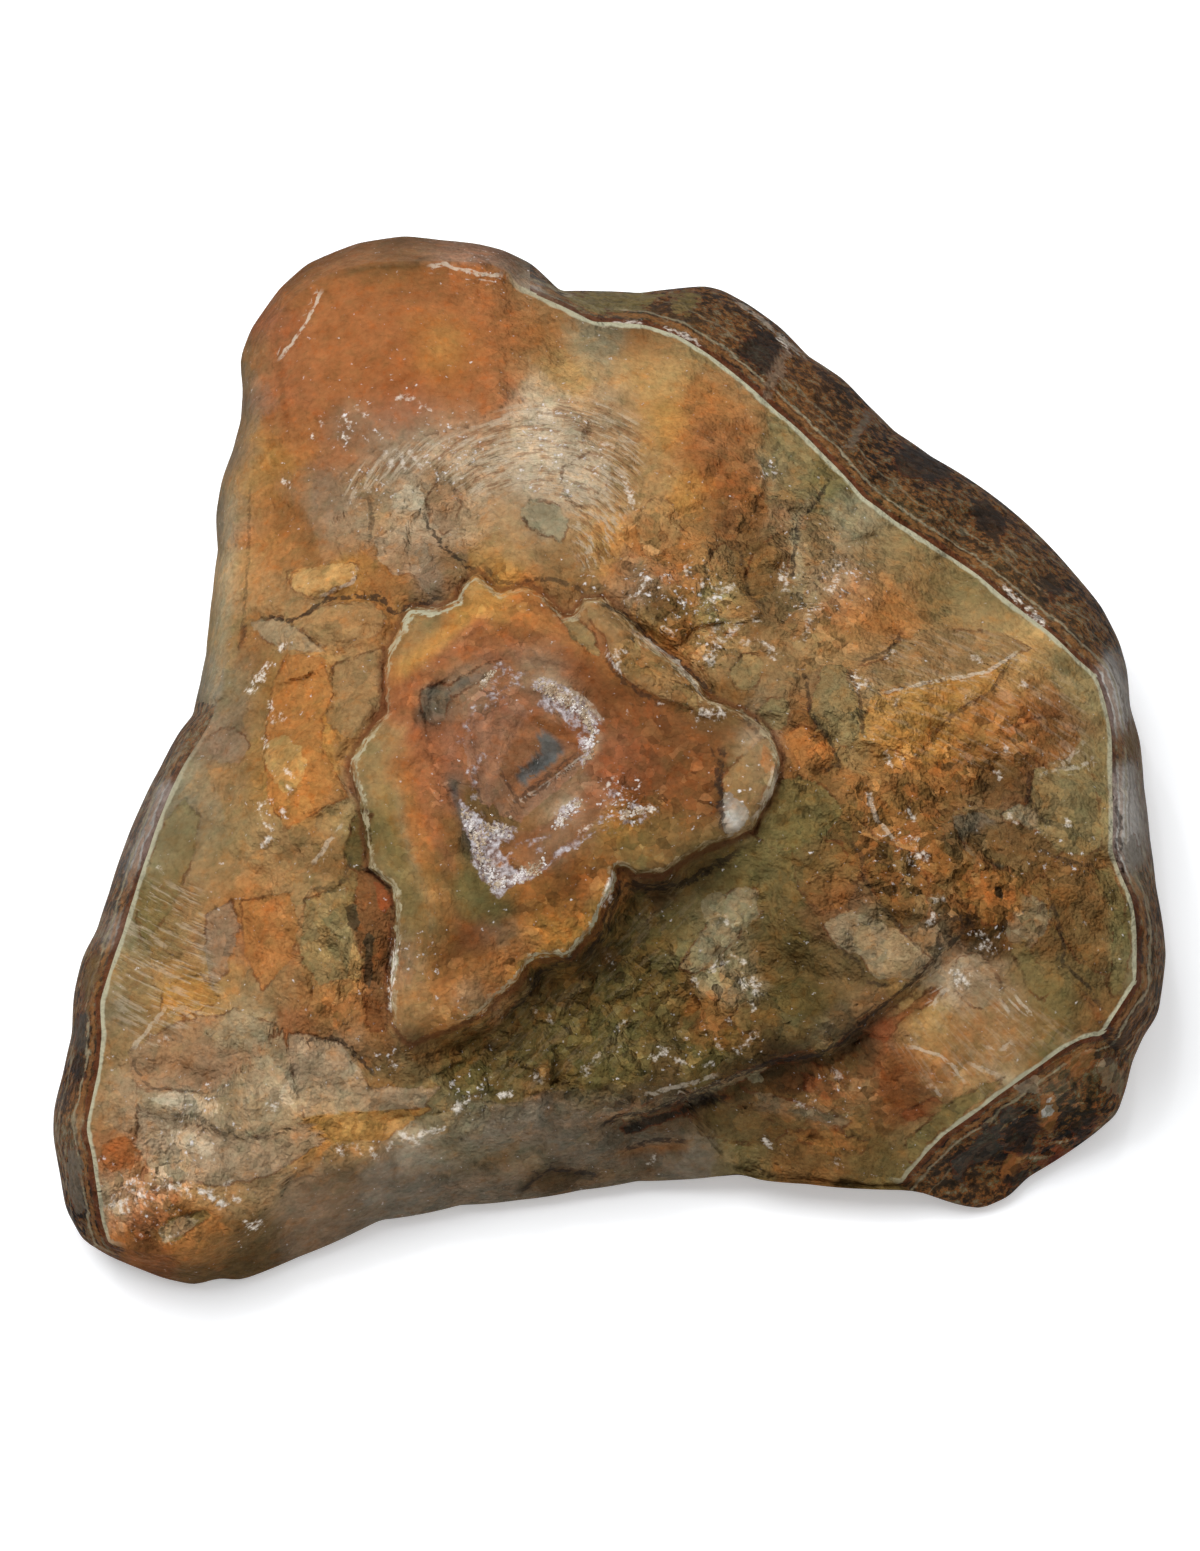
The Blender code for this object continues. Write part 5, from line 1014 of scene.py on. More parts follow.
# How strongly the pale line shows along the plate's edge
PLATE_LINE_SPOTS = [
    ((476, 575), 0.8), ((410, 610), 1.0), ((386, 684), 0.5), ((352, 762), 0.9), ((368, 842), 0.7),
    ((396, 941), 0.8), ((391, 981), 1.0), ((394, 1018), 0.5), ((405, 1035), 0.0), ((440, 1030), 0.0),
    ((470, 1016), 0.6), ((516, 981), 0.8), ((582, 938), 0.9), ((604, 905), 1.0), ((662, 872), 0.5),
    ((751, 829), 0.4), ((779, 759), 0.8), ((740, 710), 0.5), ((698, 683), 0.8), ((622, 613), 0.6),
    ((585, 600), 0.6), ((562, 618), 0.8), ((526, 588), 0.3),
]

# The strips of fine quartz crystals in the pit: half width in millimetres, how many, and the line
CRYSTAL_STRIPS = [
    (1.0, 300, [(466, 812), (474, 832), (482, 858), (496, 884), (516, 878), (546, 862)]),
    (1.2, 110, [(484, 828), (506, 832)]),
    (1.0, 320, [(540, 684), (560, 696), (578, 708), (594, 724), (588, 744), (584, 762)]),
    (0.8, 110, [(558, 826), (566, 812), (580, 802)]), (0.7, 60, [(625, 815), (648, 808)]),
    (0.6, 50, [(480, 688), (492, 672)]),
]

# Where white grains of quartz and small painted glints show: pixel, half width in millimetres, and how
# many, from 0 for none to 2 for one white blob
FROST_AND_GLINT_PLACES = [
    ((700, 600), 6.0, 0.6), ((720, 640), 4.0, 0.5), ((735, 795), 3.0, 0.5), ((560, 450), 9.0, 0.5),
    ((450, 450), 7.0, 0.5), ((370, 490), 5.0, 0.4), ((470, 1090), 5.0, 0.5), ((680, 1048), 5.0, 0.4),
    ((735, 1045), 4.0, 0.3), ((620, 800), 5.0, 0.6), ((450, 1005), 4.0, 0.2), ((150, 1200), 6.0, 0.5),
    ((200, 1115), 7.0, 0.4), ((360, 425), 6.0, 0.4), ((840, 580), 5.0, 0.5), ((800, 600), 5.0, 0.4),
    ((275, 820), 3.0, 0.4), ((900, 860), 7.0, 0.4), ((990, 940), 4.0, 0.4), ((650, 590), 5.0, 0.5),
    ((380, 1060), 5.0, 0.4), ((480, 270), 4.0, 0.4), ((830, 1085), 5.0, 0.3), ((600, 1030), 12.0, 0.1),
    ((1060, 850), 6.0, 0.3), ((480, 1060), 6.0, 0.2), ((590, 590), 3.0, 0.5), ((770, 470), 2.0, 0.8),
    ((420, 950), 5.0, 0.3), ((640, 1080), 8.0, 0.15), ((200, 1145), 5.0, 0.4),
]

# The points: least and greatest radius and height in millimetres, how far they lean at most, the width of
# the tip and the lift of the middle as shares of the foot and the height, and the seed of their draws
CRYSTAL_RADIUS = (0.12, 0.3)
CRYSTAL_HEIGHT = (0.1, 0.34)
CRYSTAL_LEAN = math.radians(38)
CRYSTAL_TIP = 0.3
CRYSTAL_LIFT = 0.2
SEED = 7

# The chips of the break and the gravel in the materials: size in millimetres and seed
FINE_CHIPS = (2.4, 25.0)
GRAVEL_CHIPS = (1.5, 31.0)

# The noises in the materials: size of their features in millimetres, detail, roughness and seed
NOISES = {
    "clouds": (3.5, 3.0, 0.6, 1.0), "grains": (0.8, 3.0, 0.6, 2.0), "hues": (1.8, 3.0, 0.6, 3.0),
    "frost": (0.9, 2.0, 0.6, 4.0), "plate_sway": (1.6, 3.0, 0.6, 5.0), "rind_clouds": (1.5, 3.0, 0.7, 7.0),
    "rind_grains": (1.0, 3.0, 0.65, 8.0), "rind_sway": (3.0, 3.0, 0.6, 9.0),
    "band_sway": (3.0, 2.0, 0.6, 10.0), "relief": (0.8, 1.5, 0.65, 12.0),
    "crystal_clouds": (2.5, 3.0, 0.6, 13.0), "rind_relief": (1.6, 2.0, 0.6, 14.0),
    "line_sway": (1.6, 3.0, 0.6, 15.0), "line_gaps": (1.2, 3.0, 0.6, 16.0), "polish": (2.5, 3.0, 0.6, 17.0),
    "fibres": (0.6, 3.0, 0.6, 20.0), "rind_drift": (9.0, 2.0, 0.6, 21.0),
    "layer_sway": (4.0, 3.0, 0.6, 26.0), "layers": (1.6, 3.0, 0.6, 27.0), "druse": (1.6, 3.0, 0.65, 28.0),
}

# Where each part of the pattern comes in: the value at which there is none of it and the one at which it is
# full, in millimetres from an edge, in half widths of a line or along a noise, and its strength
RISES = {
    "patch": (-0.1, 0.1, 1.0),
    "seam": (0.28, 0.08, 1.0),
    "seam_gaps": (0.44, 0.58, PATCH_SEAM),
    "light_fibres": (0.5, 0.62, 0.65),
    "dark_fibres": (0.47, 0.36, 0.5),
    "on_plate": (0.0, 1.0, 1.0),
    "druse": (0.7, 0.9, 0.8),
    "frost": (0.68, 0.84, 0.9),
    "line": (1.3, 0.7, 0.8),
    "line_close": (3.6, 2.8, 1.0),
    "line_gaps": (0.36, 0.52, 1.0),
    "painted_glint": (1.1, -0.6, 1.0),
    "groove_start": (0.9, 1.2, 0.6),
    "groove_end": (2.2, 1.5, 1.0),
    "plate_line_start": (-1.15, -0.95, 1.0),
    "plate_line_end": (-0.7, -1.0, 1.0),
    "plate_line_gaps": (0.32, 0.56, 1.0),
    "band_start": (-0.8, -0.55, 1.0),
    "band_end": (0.2, -0.1, 1.0),
    "rind_paleness": (0.12, 0.3, 1.0),
    "patch_step": (-0.4, 0.4, 1.0),
}

# How far each line or edge wanders with its noise: in millimetres, and for thin lines in half widths
LAYER_SWAY = 3.0
PLATE_GROOVE_SWAY = 1.6
PLATE_LINE_SWAY = 2.6
RIND_SWAY = 1.4
BAND_SWAY = 0.9
DARK_LINE_SWAY = 5.0
PALE_LINE_SWAY = 4.0
PAINTED_GLINT_SWAY = 6.0

# What the stone's own noise does to its colours: positions from 0 to 1, and colours
CHIP_STOPS = [
    (0.0, (0.76, 0.8, 0.8)), (0.35, (0.94, 0.96, 0.94)), (0.65, (1.06, 1.02, 0.98)),
    (0.9, (1.2, 1.08, 0.92)), (1.0, (1.22, 1.2, 1.18)),
]
CLOUD_STOPS = [
    (0.32, (0.84, 0.82, 0.78)), (0.44, (0.96, 0.95, 0.93)), (0.56, (1.04, 1.04, 1.04)),
    (0.68, (1.16, 1.15, 1.13)),
]
HUE_STOPS = [
    (0.32, (1.09, 0.93, 0.78)), (0.44, (1.02, 0.99, 0.95)), (0.56, (0.98, 1.0, 0.98)),
    (0.68, (0.88, 0.97, 0.95)),
]
GRAIN_STOPS = [
    (0.3, (0.74, 0.71, 0.66)), (0.44, (0.94, 0.93, 0.92)), (0.56, (1.05, 1.05, 1.05)),
    (0.7, (1.26, 1.25, 1.23)),
]

# Colours of the rind along its clouds
RIND_STOPS = [
    (0.38, (0.01, 0.009, 0.009)), (0.44, (0.035, 0.02, 0.011)), (0.49, (0.085, 0.042, 0.018)),
    (0.53, (0.24, 0.08, 0.022)), (0.57, (0.11, 0.072, 0.03)), (0.66, (0.21, 0.165, 0.1)),
]

# Colours of the pit's fine quartz, of the plate's thin layers and of the gravel, each along a noise
DRUSE_STOPS = [
    (0.3, (0.13, 0.07, 0.06)), (0.42, (0.24, 0.17, 0.15)), (0.5, (0.36, 0.3, 0.29)),
    (0.58, (0.48, 0.43, 0.43)), (0.7, (0.66, 0.62, 0.63)),
]
LAYER_STOPS = [(0.36, (0.84, 0.82, 0.78)), (0.5, (1.0, 1.0, 1.0)), (0.64, (1.16, 1.13, 1.06))]
GRAVEL_STOPS = [
    (0.05, (0.52, 0.48, 0.46)), (0.2, (0.76, 0.82, 0.72)), (0.4, (0.92, 1.0, 0.94)),
    (0.55, (1.12, 0.96, 0.86)), (0.75, (1.26, 1.08, 0.92)), (0.88, (1.15, 1.28, 1.25)),
    (0.96, (1.8, 1.85, 1.9)),
]

# Layers of the rind: from and to how far out of the edge in millimetres, colour and strength, and over
# which distance a layer comes in
RIND_LINE_EDGE = 0.2
RIND_LINES = [
    (0.4, 1.5, "dark_red", 0.85), (1.6, 2.3, "rust", 0.6), (2.4, 2.9, "grey_green", 0.85),
    (3.0, 3.4, "dark_brown", 0.7), (4.6, 5.0, "grey_green", 0.4),
]

# The stone's two finishes: material, specular level, coat and greatest roughness
WET_FINISH = ("wet_chalcedony", 0.3, 0.35, 0.65)
WORN_FINISH = ("worn_chalcedony", 0.02, 0.0, 1.0)

# The depth of the relief in each material, in millimetres
STONE_RELIEF = 1.0
RIND_RELIEF = 1.2

# The studio: the table's size in metres and its own glow, the light from all round, and each lamp's size in
# metres, its watts, where it hangs and whether the gloss mirrors it
FLOOR_SIZE = 6.0
FLOOR_GLOW = 0.35
WORLD_STRENGTH = 0.15
LIGHTS = [
    ("softbox", 0.7, 8.7, (-0.38, 0.04, 0.98), False), ("overhead", 0.9, 4.4, (0.2, -0.25, 1.15), False),
    ("glint_behind", 0.03, 0.7, (-0.25, 0.6, 0.75), True),
    ("glint_left", 0.03, 0.5, (-0.6, 0.55, 0.6), True), ("glint_right", 0.03, 0.5, (0.3, 0.7, 0.7), True),
    ("glint_above", 0.03, 0.5, (-0.15, 0.1, 1.1), True),
]
LIGHT_COLOUR = (0.975, 1.0, 1.035)

# The picture's height in pixels, and the height of the camera's sensor in millimetres
PICTURE_HEIGHT = 1551
SENSOR_HEIGHT = 36.0


def smooth_step(value, low, high):
    """0 below low, 1 above high and a smooth rise between them."""
    share = np.clip((value - low) / (high - low), 0.0, 1.0)
    return share * share * (3.0 - 2.0 * share)


def place_seen_at(x, y, height):
    """The places, in millimetres, that the view shows at these pixels when they are at these heights."""
    sine, cosine = math.sin(VIEW_ELEVATION), math.cos(VIEW_ELEVATION)
    eye = AIM + VIEW_DISTANCE * np.array([0.0, -cosine, sine])
    right = (x - VIEW_CENTRE[0]) / FOCAL_PIXELS
    up = (VIEW_CENTRE[1] - y) / FOCAL_PIXELS
    ray = np.stack([right, cosine + up * sine, -sine + up * cosine], axis=-1)
    reach = (height - eye[2]) / ray[..., 2]
    return eye + ray * reach[..., None]


def read_round_heart(points, values, angle):
    """Values that belong to pixels round the heart, read at other angles between them."""
    offsets = np.asarray(points, float) - HEART
    own = np.arctan2(offsets[:, 1], offsets[:, 0])
    order = np.argsort(own)
    return np.interp(angle, own[order], np.asarray(values, float)[order], period=2 * math.pi)


def radius_of(outline, angle):
    """How far an outline is from the heart, in pixels, in each direction, its corners a little worn."""
    wear = math.radians(0.6)
    radii = np.hypot(*(np.asarray(outline, float) - HEART).T)
    before, here, after = (read_round_heart(outline, radii, angle + turn * wear) for turn in (-1, 0, 1))
    return 0.25 * before + 0.5 * here + 0.25 * after


def surface_through(spots):
    """The smooth surface through the spot heights, as a thin plate would bend: a function of a pixel."""
    pixels = np.array([pixel for pixel, _ in spots], float) / 1000
    heights = np.array([height for _, height in spots], float)

    def bend(distance):
        """How a thin plate bends at a distance from where it is held."""
        return distance**2 * np.log(distance + 1e-9)

    flat = np.hstack([np.ones((len(spots), 1)), pixels])
    apart = np.linalg.norm(pixels[:, None] - pixels[None], axis=-1)
    system = np.block([[bend(apart), flat], [flat.T, np.zeros((3, 3))]])
    solution = np.linalg.solve(system, np.concatenate([heights, np.zeros(3)]))
    weights, level, slopes = solution[:-3], solution[-3], solution[-2:]

    def height_at(x, y):
        """The height of the surface at each pixel."""
        at = np.stack([x, y], axis=-1) / 1000
        total = level + at @ slopes
        for pixel, weight in zip(pixels, weights):
            total = total + weight * bend(np.linalg.norm(at - pixel, axis=-1))
        return total

    return height_at


def along_line(x, y, line):
    """Each pixel's distance from a line, in millimetres, and where along it from 0 to 1.

    The distance is negative on the line's right as it runs, for someone who looks at the picture.
    """
    points = np.asarray(line, float)
    lengths = np.hypot(*np.diff(points, axis=0).T)
    starts = np.concatenate([[0.0], np.cumsum(lengths)]) / lengths.sum()
    nearest = np.full(x.shape, np.inf)
    side, where = np.ones(x.shape), np.zeros(x.shape)
    for index, (x0, y0) in enumerate(points[:-1]):
        run_x, run_y = points[index + 1] - points[index]
        share = np.clip(((x - x0) * run_x + (y - y0) * run_y) / (run_x**2 + run_y**2), 0.0, 1.0)
        off_x, off_y = x - x0 - share * run_x, y - y0 - share * run_y
        distance = np.hypot(off_x, off_y)
        nearer = distance < nearest
        nearest = np.where(nearer, distance, nearest)
        side = np.where(nearer, np.where(run_y * off_x > run_x * off_y, 1.0, -1.0), side)
        where = np.where(nearer, starts[index] + share * (starts[index + 1] - starts[index]), where)
    return side * nearest / PIXELS_PER_MM, where


def depth_inside(x, y, outline):
    """How far each pixel is inside a closed outline, in millimetres, negative outside it."""
    distance = np.abs(along_line(x, y, outline + outline[:1])[0])
    within = np.zeros(x.shape, bool)
    for (x0, y0), (x1, y1) in zip(outline, outline[1:] + outline[:1]):
        if y0 != y1:
            within ^= ((y0 > y) != (y1 > y)) & (x < (x1 - x0) * (y - y0) / (y1 - y0) + x0)
    return np.where(within, distance, -distance)


def shuffled(column, row, seed):
    """A number between 0 and 1 for each cell of a grid, without any pattern."""
    return (np.sin(column * 127.1 + row * 311.7 + seed * 74.7) * 43758.5453) % 1.0


def broken_planes(x, y, size, seed, crispness=14.0):
    """Small planes of about this size in millimetres, each tilted its own way, between about -1 and 1."""
    x, y = x / (size * PIXELS_PER_MM), y / (size * PIXELS_PER_MM)
    total, weights = np.zeros(x.shape), np.zeros(x.shape)
    for step_x in (-1, 0, 1):
        for step_y in (-1, 0, 1):
            column, row = np.floor(x) + step_x, np.floor(y) + step_y
            off_x = x - column - shuffled(column, row, seed)
            off_y = y - row - shuffled(column, row, seed + 1)
            tilt_x = 2.0 * shuffled(column, row, seed + 2) - 1.0
            tilt_y = 2.0 * shuffled(column, row, seed + 3) - 1.0
            rise = shuffled(column, row, seed + 4) - 0.5
            weight = np.exp(-crispness * (off_x**2 + off_y**2)) + 1e-12
            total += weight * (rise + tilt_x * off_x + tilt_y * off_y)
            weights += weight
    return total / weights


def lumps(x, y, size, seed):
    """Smooth noise of about this size in millimetres, between about -1 and 1."""
    scale = 1.0 / (size * PIXELS_PER_MM)
    flat = [noise.noise(Vector((a, b, seed))) for a, b in zip(np.ravel(x * scale), np.ravel(y * scale))]
    return np.reshape(flat, x.shape)


def fracture(x, y):
    """The uneven break of the face, calmer on the plate and in the places that broke smoothly."""
    rough = sum(lift * broken_planes(x, y, size, seed) for size, lift, seed in BREAK_LAYERS)
    rough *= 1.0 - PLATE_CALM * smooth_step(depth_inside(x, y, PLATE), PLATE_CALM_START, 0.0)
    for (centre_x, centre_y), half_width, calmer in CALM_PLACES:
        away = np.hypot(x - centre_x, y - centre_y) / PIXELS_PER_MM
        rough *= 1.0 - calmer * (1.0 - smooth_step(away, 0.5 * half_width, half_width))
    return rough


def plate_and_pit(x, y):
    """The rise of the layered plate, the groove round it, and the steps down into the crystal pit."""
    half_step = 0.5 * STEP_WIDTH
    plate = depth_inside(x, y, PLATE)
    dish = PLATE_DISH * smooth_step(plate, *PLATE_DISH_REACH)
    rise = PLATE_RISE * smooth_step(plate, -half_step, half_step) - dish
    (tip_x, tip_y), reach, loss = PLATE_TIP
    rise *= 1.0 - loss * np.exp(-((np.hypot(x - tip_x, y - tip_y) / PIXELS_PER_MM / reach) ** 2))
    rise -= PLATE_GROOVE * np.exp(-(((plate + STEP_WIDTH) / STEP_WIDTH) ** 2))
    steps = [(PIT, PIT_DEPTH), (PIT_FLOOR, PIT_FLOOR_DEPTH)] + INNER_STEPS
    for outline, drop in steps:
        rise -= drop * smooth_step(depth_inside(x, y, outline), -half_step, half_step)
    return rise


def hollow(x, y):
    """The drop into the hollow, steep along the plate's edge and gentle on its other side."""
    plate_side = [at for at in PLATE if at[1] > HOLLOW_PLATE_TOP and at[0] > HOLLOW_PLATE_LEFT][::-1]
    bowl = smooth_step(depth_inside(x, y, HOLLOW_RIM + plate_side), -0.01, 0.01)
    under_plate = smooth_step(-depth_inside(x, y, PLATE), *HOLLOW_STEEP)
    from_rim = smooth_step(np.abs(along_line(x, y, HOLLOW_RIM)[0]), *HOLLOW_GENTLE)
    return -HOLLOW_DEPTH * bowl * under_plate * from_rim


def near_outline(x, y, outline, margin):
    """Which pixels are near or inside an outline, so that the slow reading is done for those alone."""
    (left, top), (right, bottom) = np.min(outline, axis=0) - margin, np.max(outline, axis=0) + margin
    return (x > left) & (x < right) & (y > top) & (y < bottom)


def facets(x, y):
    """The lift of each flat facet over the face round it."""
    lift = np.zeros(x.shape)
    for _, lifted, slope_right, slope_down, outline in FACETS:
        near = near_outline(x, y, outline, FACET_MARGIN)
        middle_x, middle_y = np.mean(outline, axis=0)
        off_x, off_y = x[near] - middle_x, y[near] - middle_y
        plane = slope_right * off_x / PIXELS_PER_MM + slope_down * off_y / PIXELS_PER_MM
        depth = depth_inside(x[near], y[near], outline)
        lift[near] += (lifted + plane) * smooth_step(depth, -0.5 * EDGE_WIDTH, 0.5 * EDGE_WIDTH)
    return lift


def taper(where, share):
    """1 along a line and 0 at its two ends."""
    return smooth_step(where, 0.0, share) * smooth_step(1.0 - where, 0.0, share)


def cracks(x, y):
    """The grooves of the cracks, which close towards their ends."""
    depth = np.zeros(x.shape)
    for line, deepest, half_width in CRACKS:
        distance, where = along_line(x, y, line)
        groove = np.exp(-((distance / (half_width + 0.2 * EDGE_WIDTH)) ** 2))
        depth = np.maximum(depth, deepest * groove * taper(where, CRACK_TAPER))
    return -depth


def ledges(x, y):
    """The drop below each ledge, with a narrow groove at its foot."""
    drop = np.zeros(x.shape)
    for line, deepest, fade in LEDGES:
        distance, where = along_line(x, y, line)
        shown = taper(where, CRACK_TAPER)
        below = smooth_step(distance, -0.3 * EDGE_WIDTH, 0.7 * EDGE_WIDTH)
        drop += deepest * below * np.exp(-np.maximum(distance, 0.0) / fade) * shown
        drop += LEDGE_GROOVE * np.exp(-((distance / EDGE_WIDTH) ** 2)) * shown
    return -drop


def height_seen(x, y, angle, outward):
    """Height above the ground at each pixel. outward is 0 up to the rim and 1 at the silhouette."""
    rim_radius = radius_of(RIM, angle)
    rim_x, rim_y = HEART[0] + rim_radius * np.cos(angle), HEART[1] + rim_radius * np.sin(angle)
    on_side = outward > 0
    face = surface_through(FACE_SPOTS)(np.where(on_side, rim_x, x), np.where(on_side, rim_y, y))
    edge = read_round_heart(*zip(*SILHOUETTE_SPOTS), angle)
    roundness = read_round_heart(*zip(*ROUNDNESS_SPOTS), angle)
    full_round = 1.0 - np.sqrt(np.clip(1.0 - outward**2, 0.0, 1.0))
    height = face + (edge - face) * (roundness * full_round + (1.0 - roundness) * outward)

    near_edge = smooth_step(outward, 0.5, 1.0)
    height += (fracture(x, y) + fine_break(x, y)) * (1.0 - near_edge)
    height += plate_and_pit(x, y) + hollow(x, y) + facets(x, y)
    height += (cracks(x, y) + ledges(x, y)) * (1.0 - near_edge)
    return height


def face_height(x, y):
    """Height above the ground at pixels inside the edge of the broken face."""
    return height_seen(x, y, np.arctan2(y - HEART[1], x - HEART[0]), np.zeros(x.shape))


def disc_of(across, along):
    """The square grid drawn as a disc: each vertex's angle, and how far out it is from 0 to 1."""
    reach = np.maximum(np.abs(across), np.abs(along))
    sideways = np.abs(across) >= np.abs(along)
    longer = np.where(sideways, across, along)
    shorter = np.where(sideways, along, across)
    lean = shorter / np.where(np.abs(longer) < 1e-12, 1.0, longer) * (math.pi / 4)
    angle = np.where(sideways, lean, math.pi / 2 - lean) + np.where(longer < 0, math.pi, 0.0)
    return angle, reach


def radius_seen(angle, reach):
    """How far from the heart, in pixels, each vertex is drawn, so that the rings run along the edges."""
    half_step = 0.5 * STEP_WIDTH * PIXELS_PER_MM
    pit_floor, pit, plate = (radius_of(outline, angle) for outline in (PIT_FLOOR, PIT, PLATE))
    knots = [
        (0, 0.0),
        (PIT_FLOOR_RING, pit_floor - half_step),
        (PIT_FLOOR_RING + 1, pit_floor + half_step),
        (PIT_RING, pit - half_step),
        (PIT_RING + 1, pit + half_step),
        (PLATE_RING, plate - half_step),
        (PLATE_RING + 1, plate + half_step),
        (RIM_RING, radius_of(RIM, angle)),
        (RINGS, radius_of(SILHOUETTE, angle)),
    ]
    ring = reach * RINGS
    radius = np.zeros(angle.shape)
    for (near, inner), (far, outer) in zip(knots[:-1], knots[1:]):
        share = np.clip((ring - near) / (far - near), 0.0, 1.0)
        radius = np.where(ring > near, inner + share * (outer - inner), radius)
    return radius


def pixel_of(angle, reach):
    """The pixel at which the view shows each vertex, or the silhouette above a hidden one."""
    radius = radius_seen(angle, reach)
    return HEART[0] + radius * np.cos(angle), HEART[1] + radius * np.sin(angle)


def smoothed_ring(ring, reach):
    """A closed ring of places with its small bends taken out, by averaging over its neighbours."""
    shares = np.hanning(2 * reach + 3)[1:-1]
    shares /= shares.sum()
    return sum(share * np.roll(ring, turn, axis=0) for turn, share in zip(range(-reach, reach + 1), shares))


def outward_in_plan(ring):
    """The level direction out of a closed ring at each of its places."""
    along = np.roll(ring, -3, axis=0) - np.roll(ring, 3, axis=0)
    normal = np.stack([along[:, 1], -along[:, 0]], axis=-1)
    normal /= np.linalg.norm(normal, axis=-1, keepdims=True)
    middle = ring[:, :2].mean(axis=0)
    return normal * np.sign(np.sum(normal * (ring[:, :2] - middle), axis=-1).sum())


def side_ring(edge, down):
    """The ring at a share of the way down the hidden side from the silhouette, where down is 0."""
    ring = edge + (smoothed_ring(edge, len(edge) // 40) - edge) * min(1.0, 2.0 * down)
    ring[:, 1] += BACK_BULGE * edge[:, 2] * down * (1.0 - down)
    ring[:, 2] = edge[:, 2] * (1.0 - down) ** SIDE_FALL
    uneven = 0.5 + lumps(*(ring[:, :2].T * PIXELS_PER_MM), SIDE_LUMP_SIZE, 40.0 * down)
    inset = BASE_INSET * down**SIDE_CURVE + SIDE_LUMPS * uneven * math.sin(math.pi * down)
    ring[:, :2] -= outward_in_plan(ring) * inset[:, None]
    return ring


def base_ring(foot, inward):
    """The ring at a share of the way in from the foot of the side to the flat that the stone rests on."""
    ring = foot.copy()
    middle = foot[:, :2].mean(axis=0)
    ring[:, :2] = middle + (foot[:, :2] - middle) * (1.0 - (1.0 - BASE_WIDTH_SHARE) * inward)
    wave = lumps(*(ring[:, :2].T * PIXELS_PER_MM), BASE_LUMP_SIZE, 5.0)
    ring[:, 2] = BASE_HOLLOW * smooth_step(wave, -0.1, 0.35) * math.sin(math.pi * inward)
    return ring


def skin_sheet():
    """The grid, with a copy of its edge a step lower for each hidden ring, closed at the end."""
    sheet = bmesh.new()
    bmesh.ops.create_grid(sheet, x_segments=GRID, y_segments=GRID, size=1.0)
    edges = [edge for edge in sheet.edges if edge.is_boundary]
    for _ in range(SIDE_RINGS + BASE_RINGS):
        pulled = bmesh.ops.extrude_edge_only(sheet, edges=edges)["geom"]
        moved = [item for item in pulled if isinstance(item, bmesh.types.BMVert)]
        edges = [item for item in pulled if isinstance(item, bmesh.types.BMEdge) and item.is_boundary]
        bmesh.ops.translate(sheet, verts=moved, vec=(0.0, 0.0, -1.0))
    bmesh.ops.contextual_create(sheet, geom=edges)
    return sheet


def shape_skin(sheet):
    """Moves every vertex of the sheet to its place on the stone.

    Returns each vertex's pixel, its angle round the heart, how far out it is from the rim to the
    silhouette, and how far down the hidden side it is.
    """
    flat = np.array([vert.co for vert in sheet.verts], float)
    steps = np.rint(-flat[:, 2]).astype(int)
    seen = steps == 0
    angle, reach = disc_of(flat[:, 0], flat[:, 1])
    x, y = pixel_of(angle, reach)
    outward = np.clip((reach * RINGS - RIM_RING) / (RINGS - RIM_RING), 0.0, 1.0)
    places = np.zeros(flat.shape)
    height = height_seen(x[seen], y[seen], angle[seen], outward[seen])
    places[seen] = place_seen_at(x[seen], y[seen], height)

    turns = angle % (2 * math.pi)
    rings = [np.flatnonzero((reach > 1.0 - 1e-6) & (steps == step)) for step in range(steps.max() + 1)]
    rings = [ring[np.argsort(turns[ring])] for ring in rings]
    silhouette = places[rings[0]]
    for step in range(1, SIDE_RINGS + 1):
        places[rings[step]] = side_ring(silhouette, step / SIDE_RINGS)
    foot = places[rings[SIDE_RINGS]]
    for step in range(1, BASE_RINGS + 1):
        places[rings[SIDE_RINGS + step]] = base_ring(foot, step / BASE_RINGS)
    for vert, place in zip(sheet.verts, places):
        vert.co = Vector(place * MM)
    return x, y, angle, outward, np.clip(steps / SIDE_RINGS, 0.0, 1.0)


def share_near(places, x, y):
    """How much each pixel lies in the strongest of these places, from 0 to 1."""
    most = np.zeros(x.shape)
    start, end = PLACE_EDGE
    for (centre_x, centre_y), half_width, strength in places:
        away = np.hypot(x - centre_x, y - centre_y) / PIXELS_PER_MM
        most = np.maximum(most, strength * (1.0 - smooth_step(away, start * half_width, end * half_width)))
    return most


def roughness_of_break(x, y):
    """How rough the break is at each pixel, from nearly smooth to 1."""
    rougher = share_near(ROUGH_PLACES, x, y)
    rough = PLAIN_ROUGHNESS + ADDED_ROUGHNESS * rougher
    rough *= 1.0 - CALM_LOSS * share_near(CALM_PLACES, x, y)
    on_plate = smooth_step(depth_inside(x, y, PLATE), -1.0, 0.5)
    rough = np.maximum(rough * (1.0 - PLATE_LOSS * on_plate), ROUGHNESS_ON_PLATE * rougher * on_plate)
    return np.maximum(rough, SMOOTHEST)


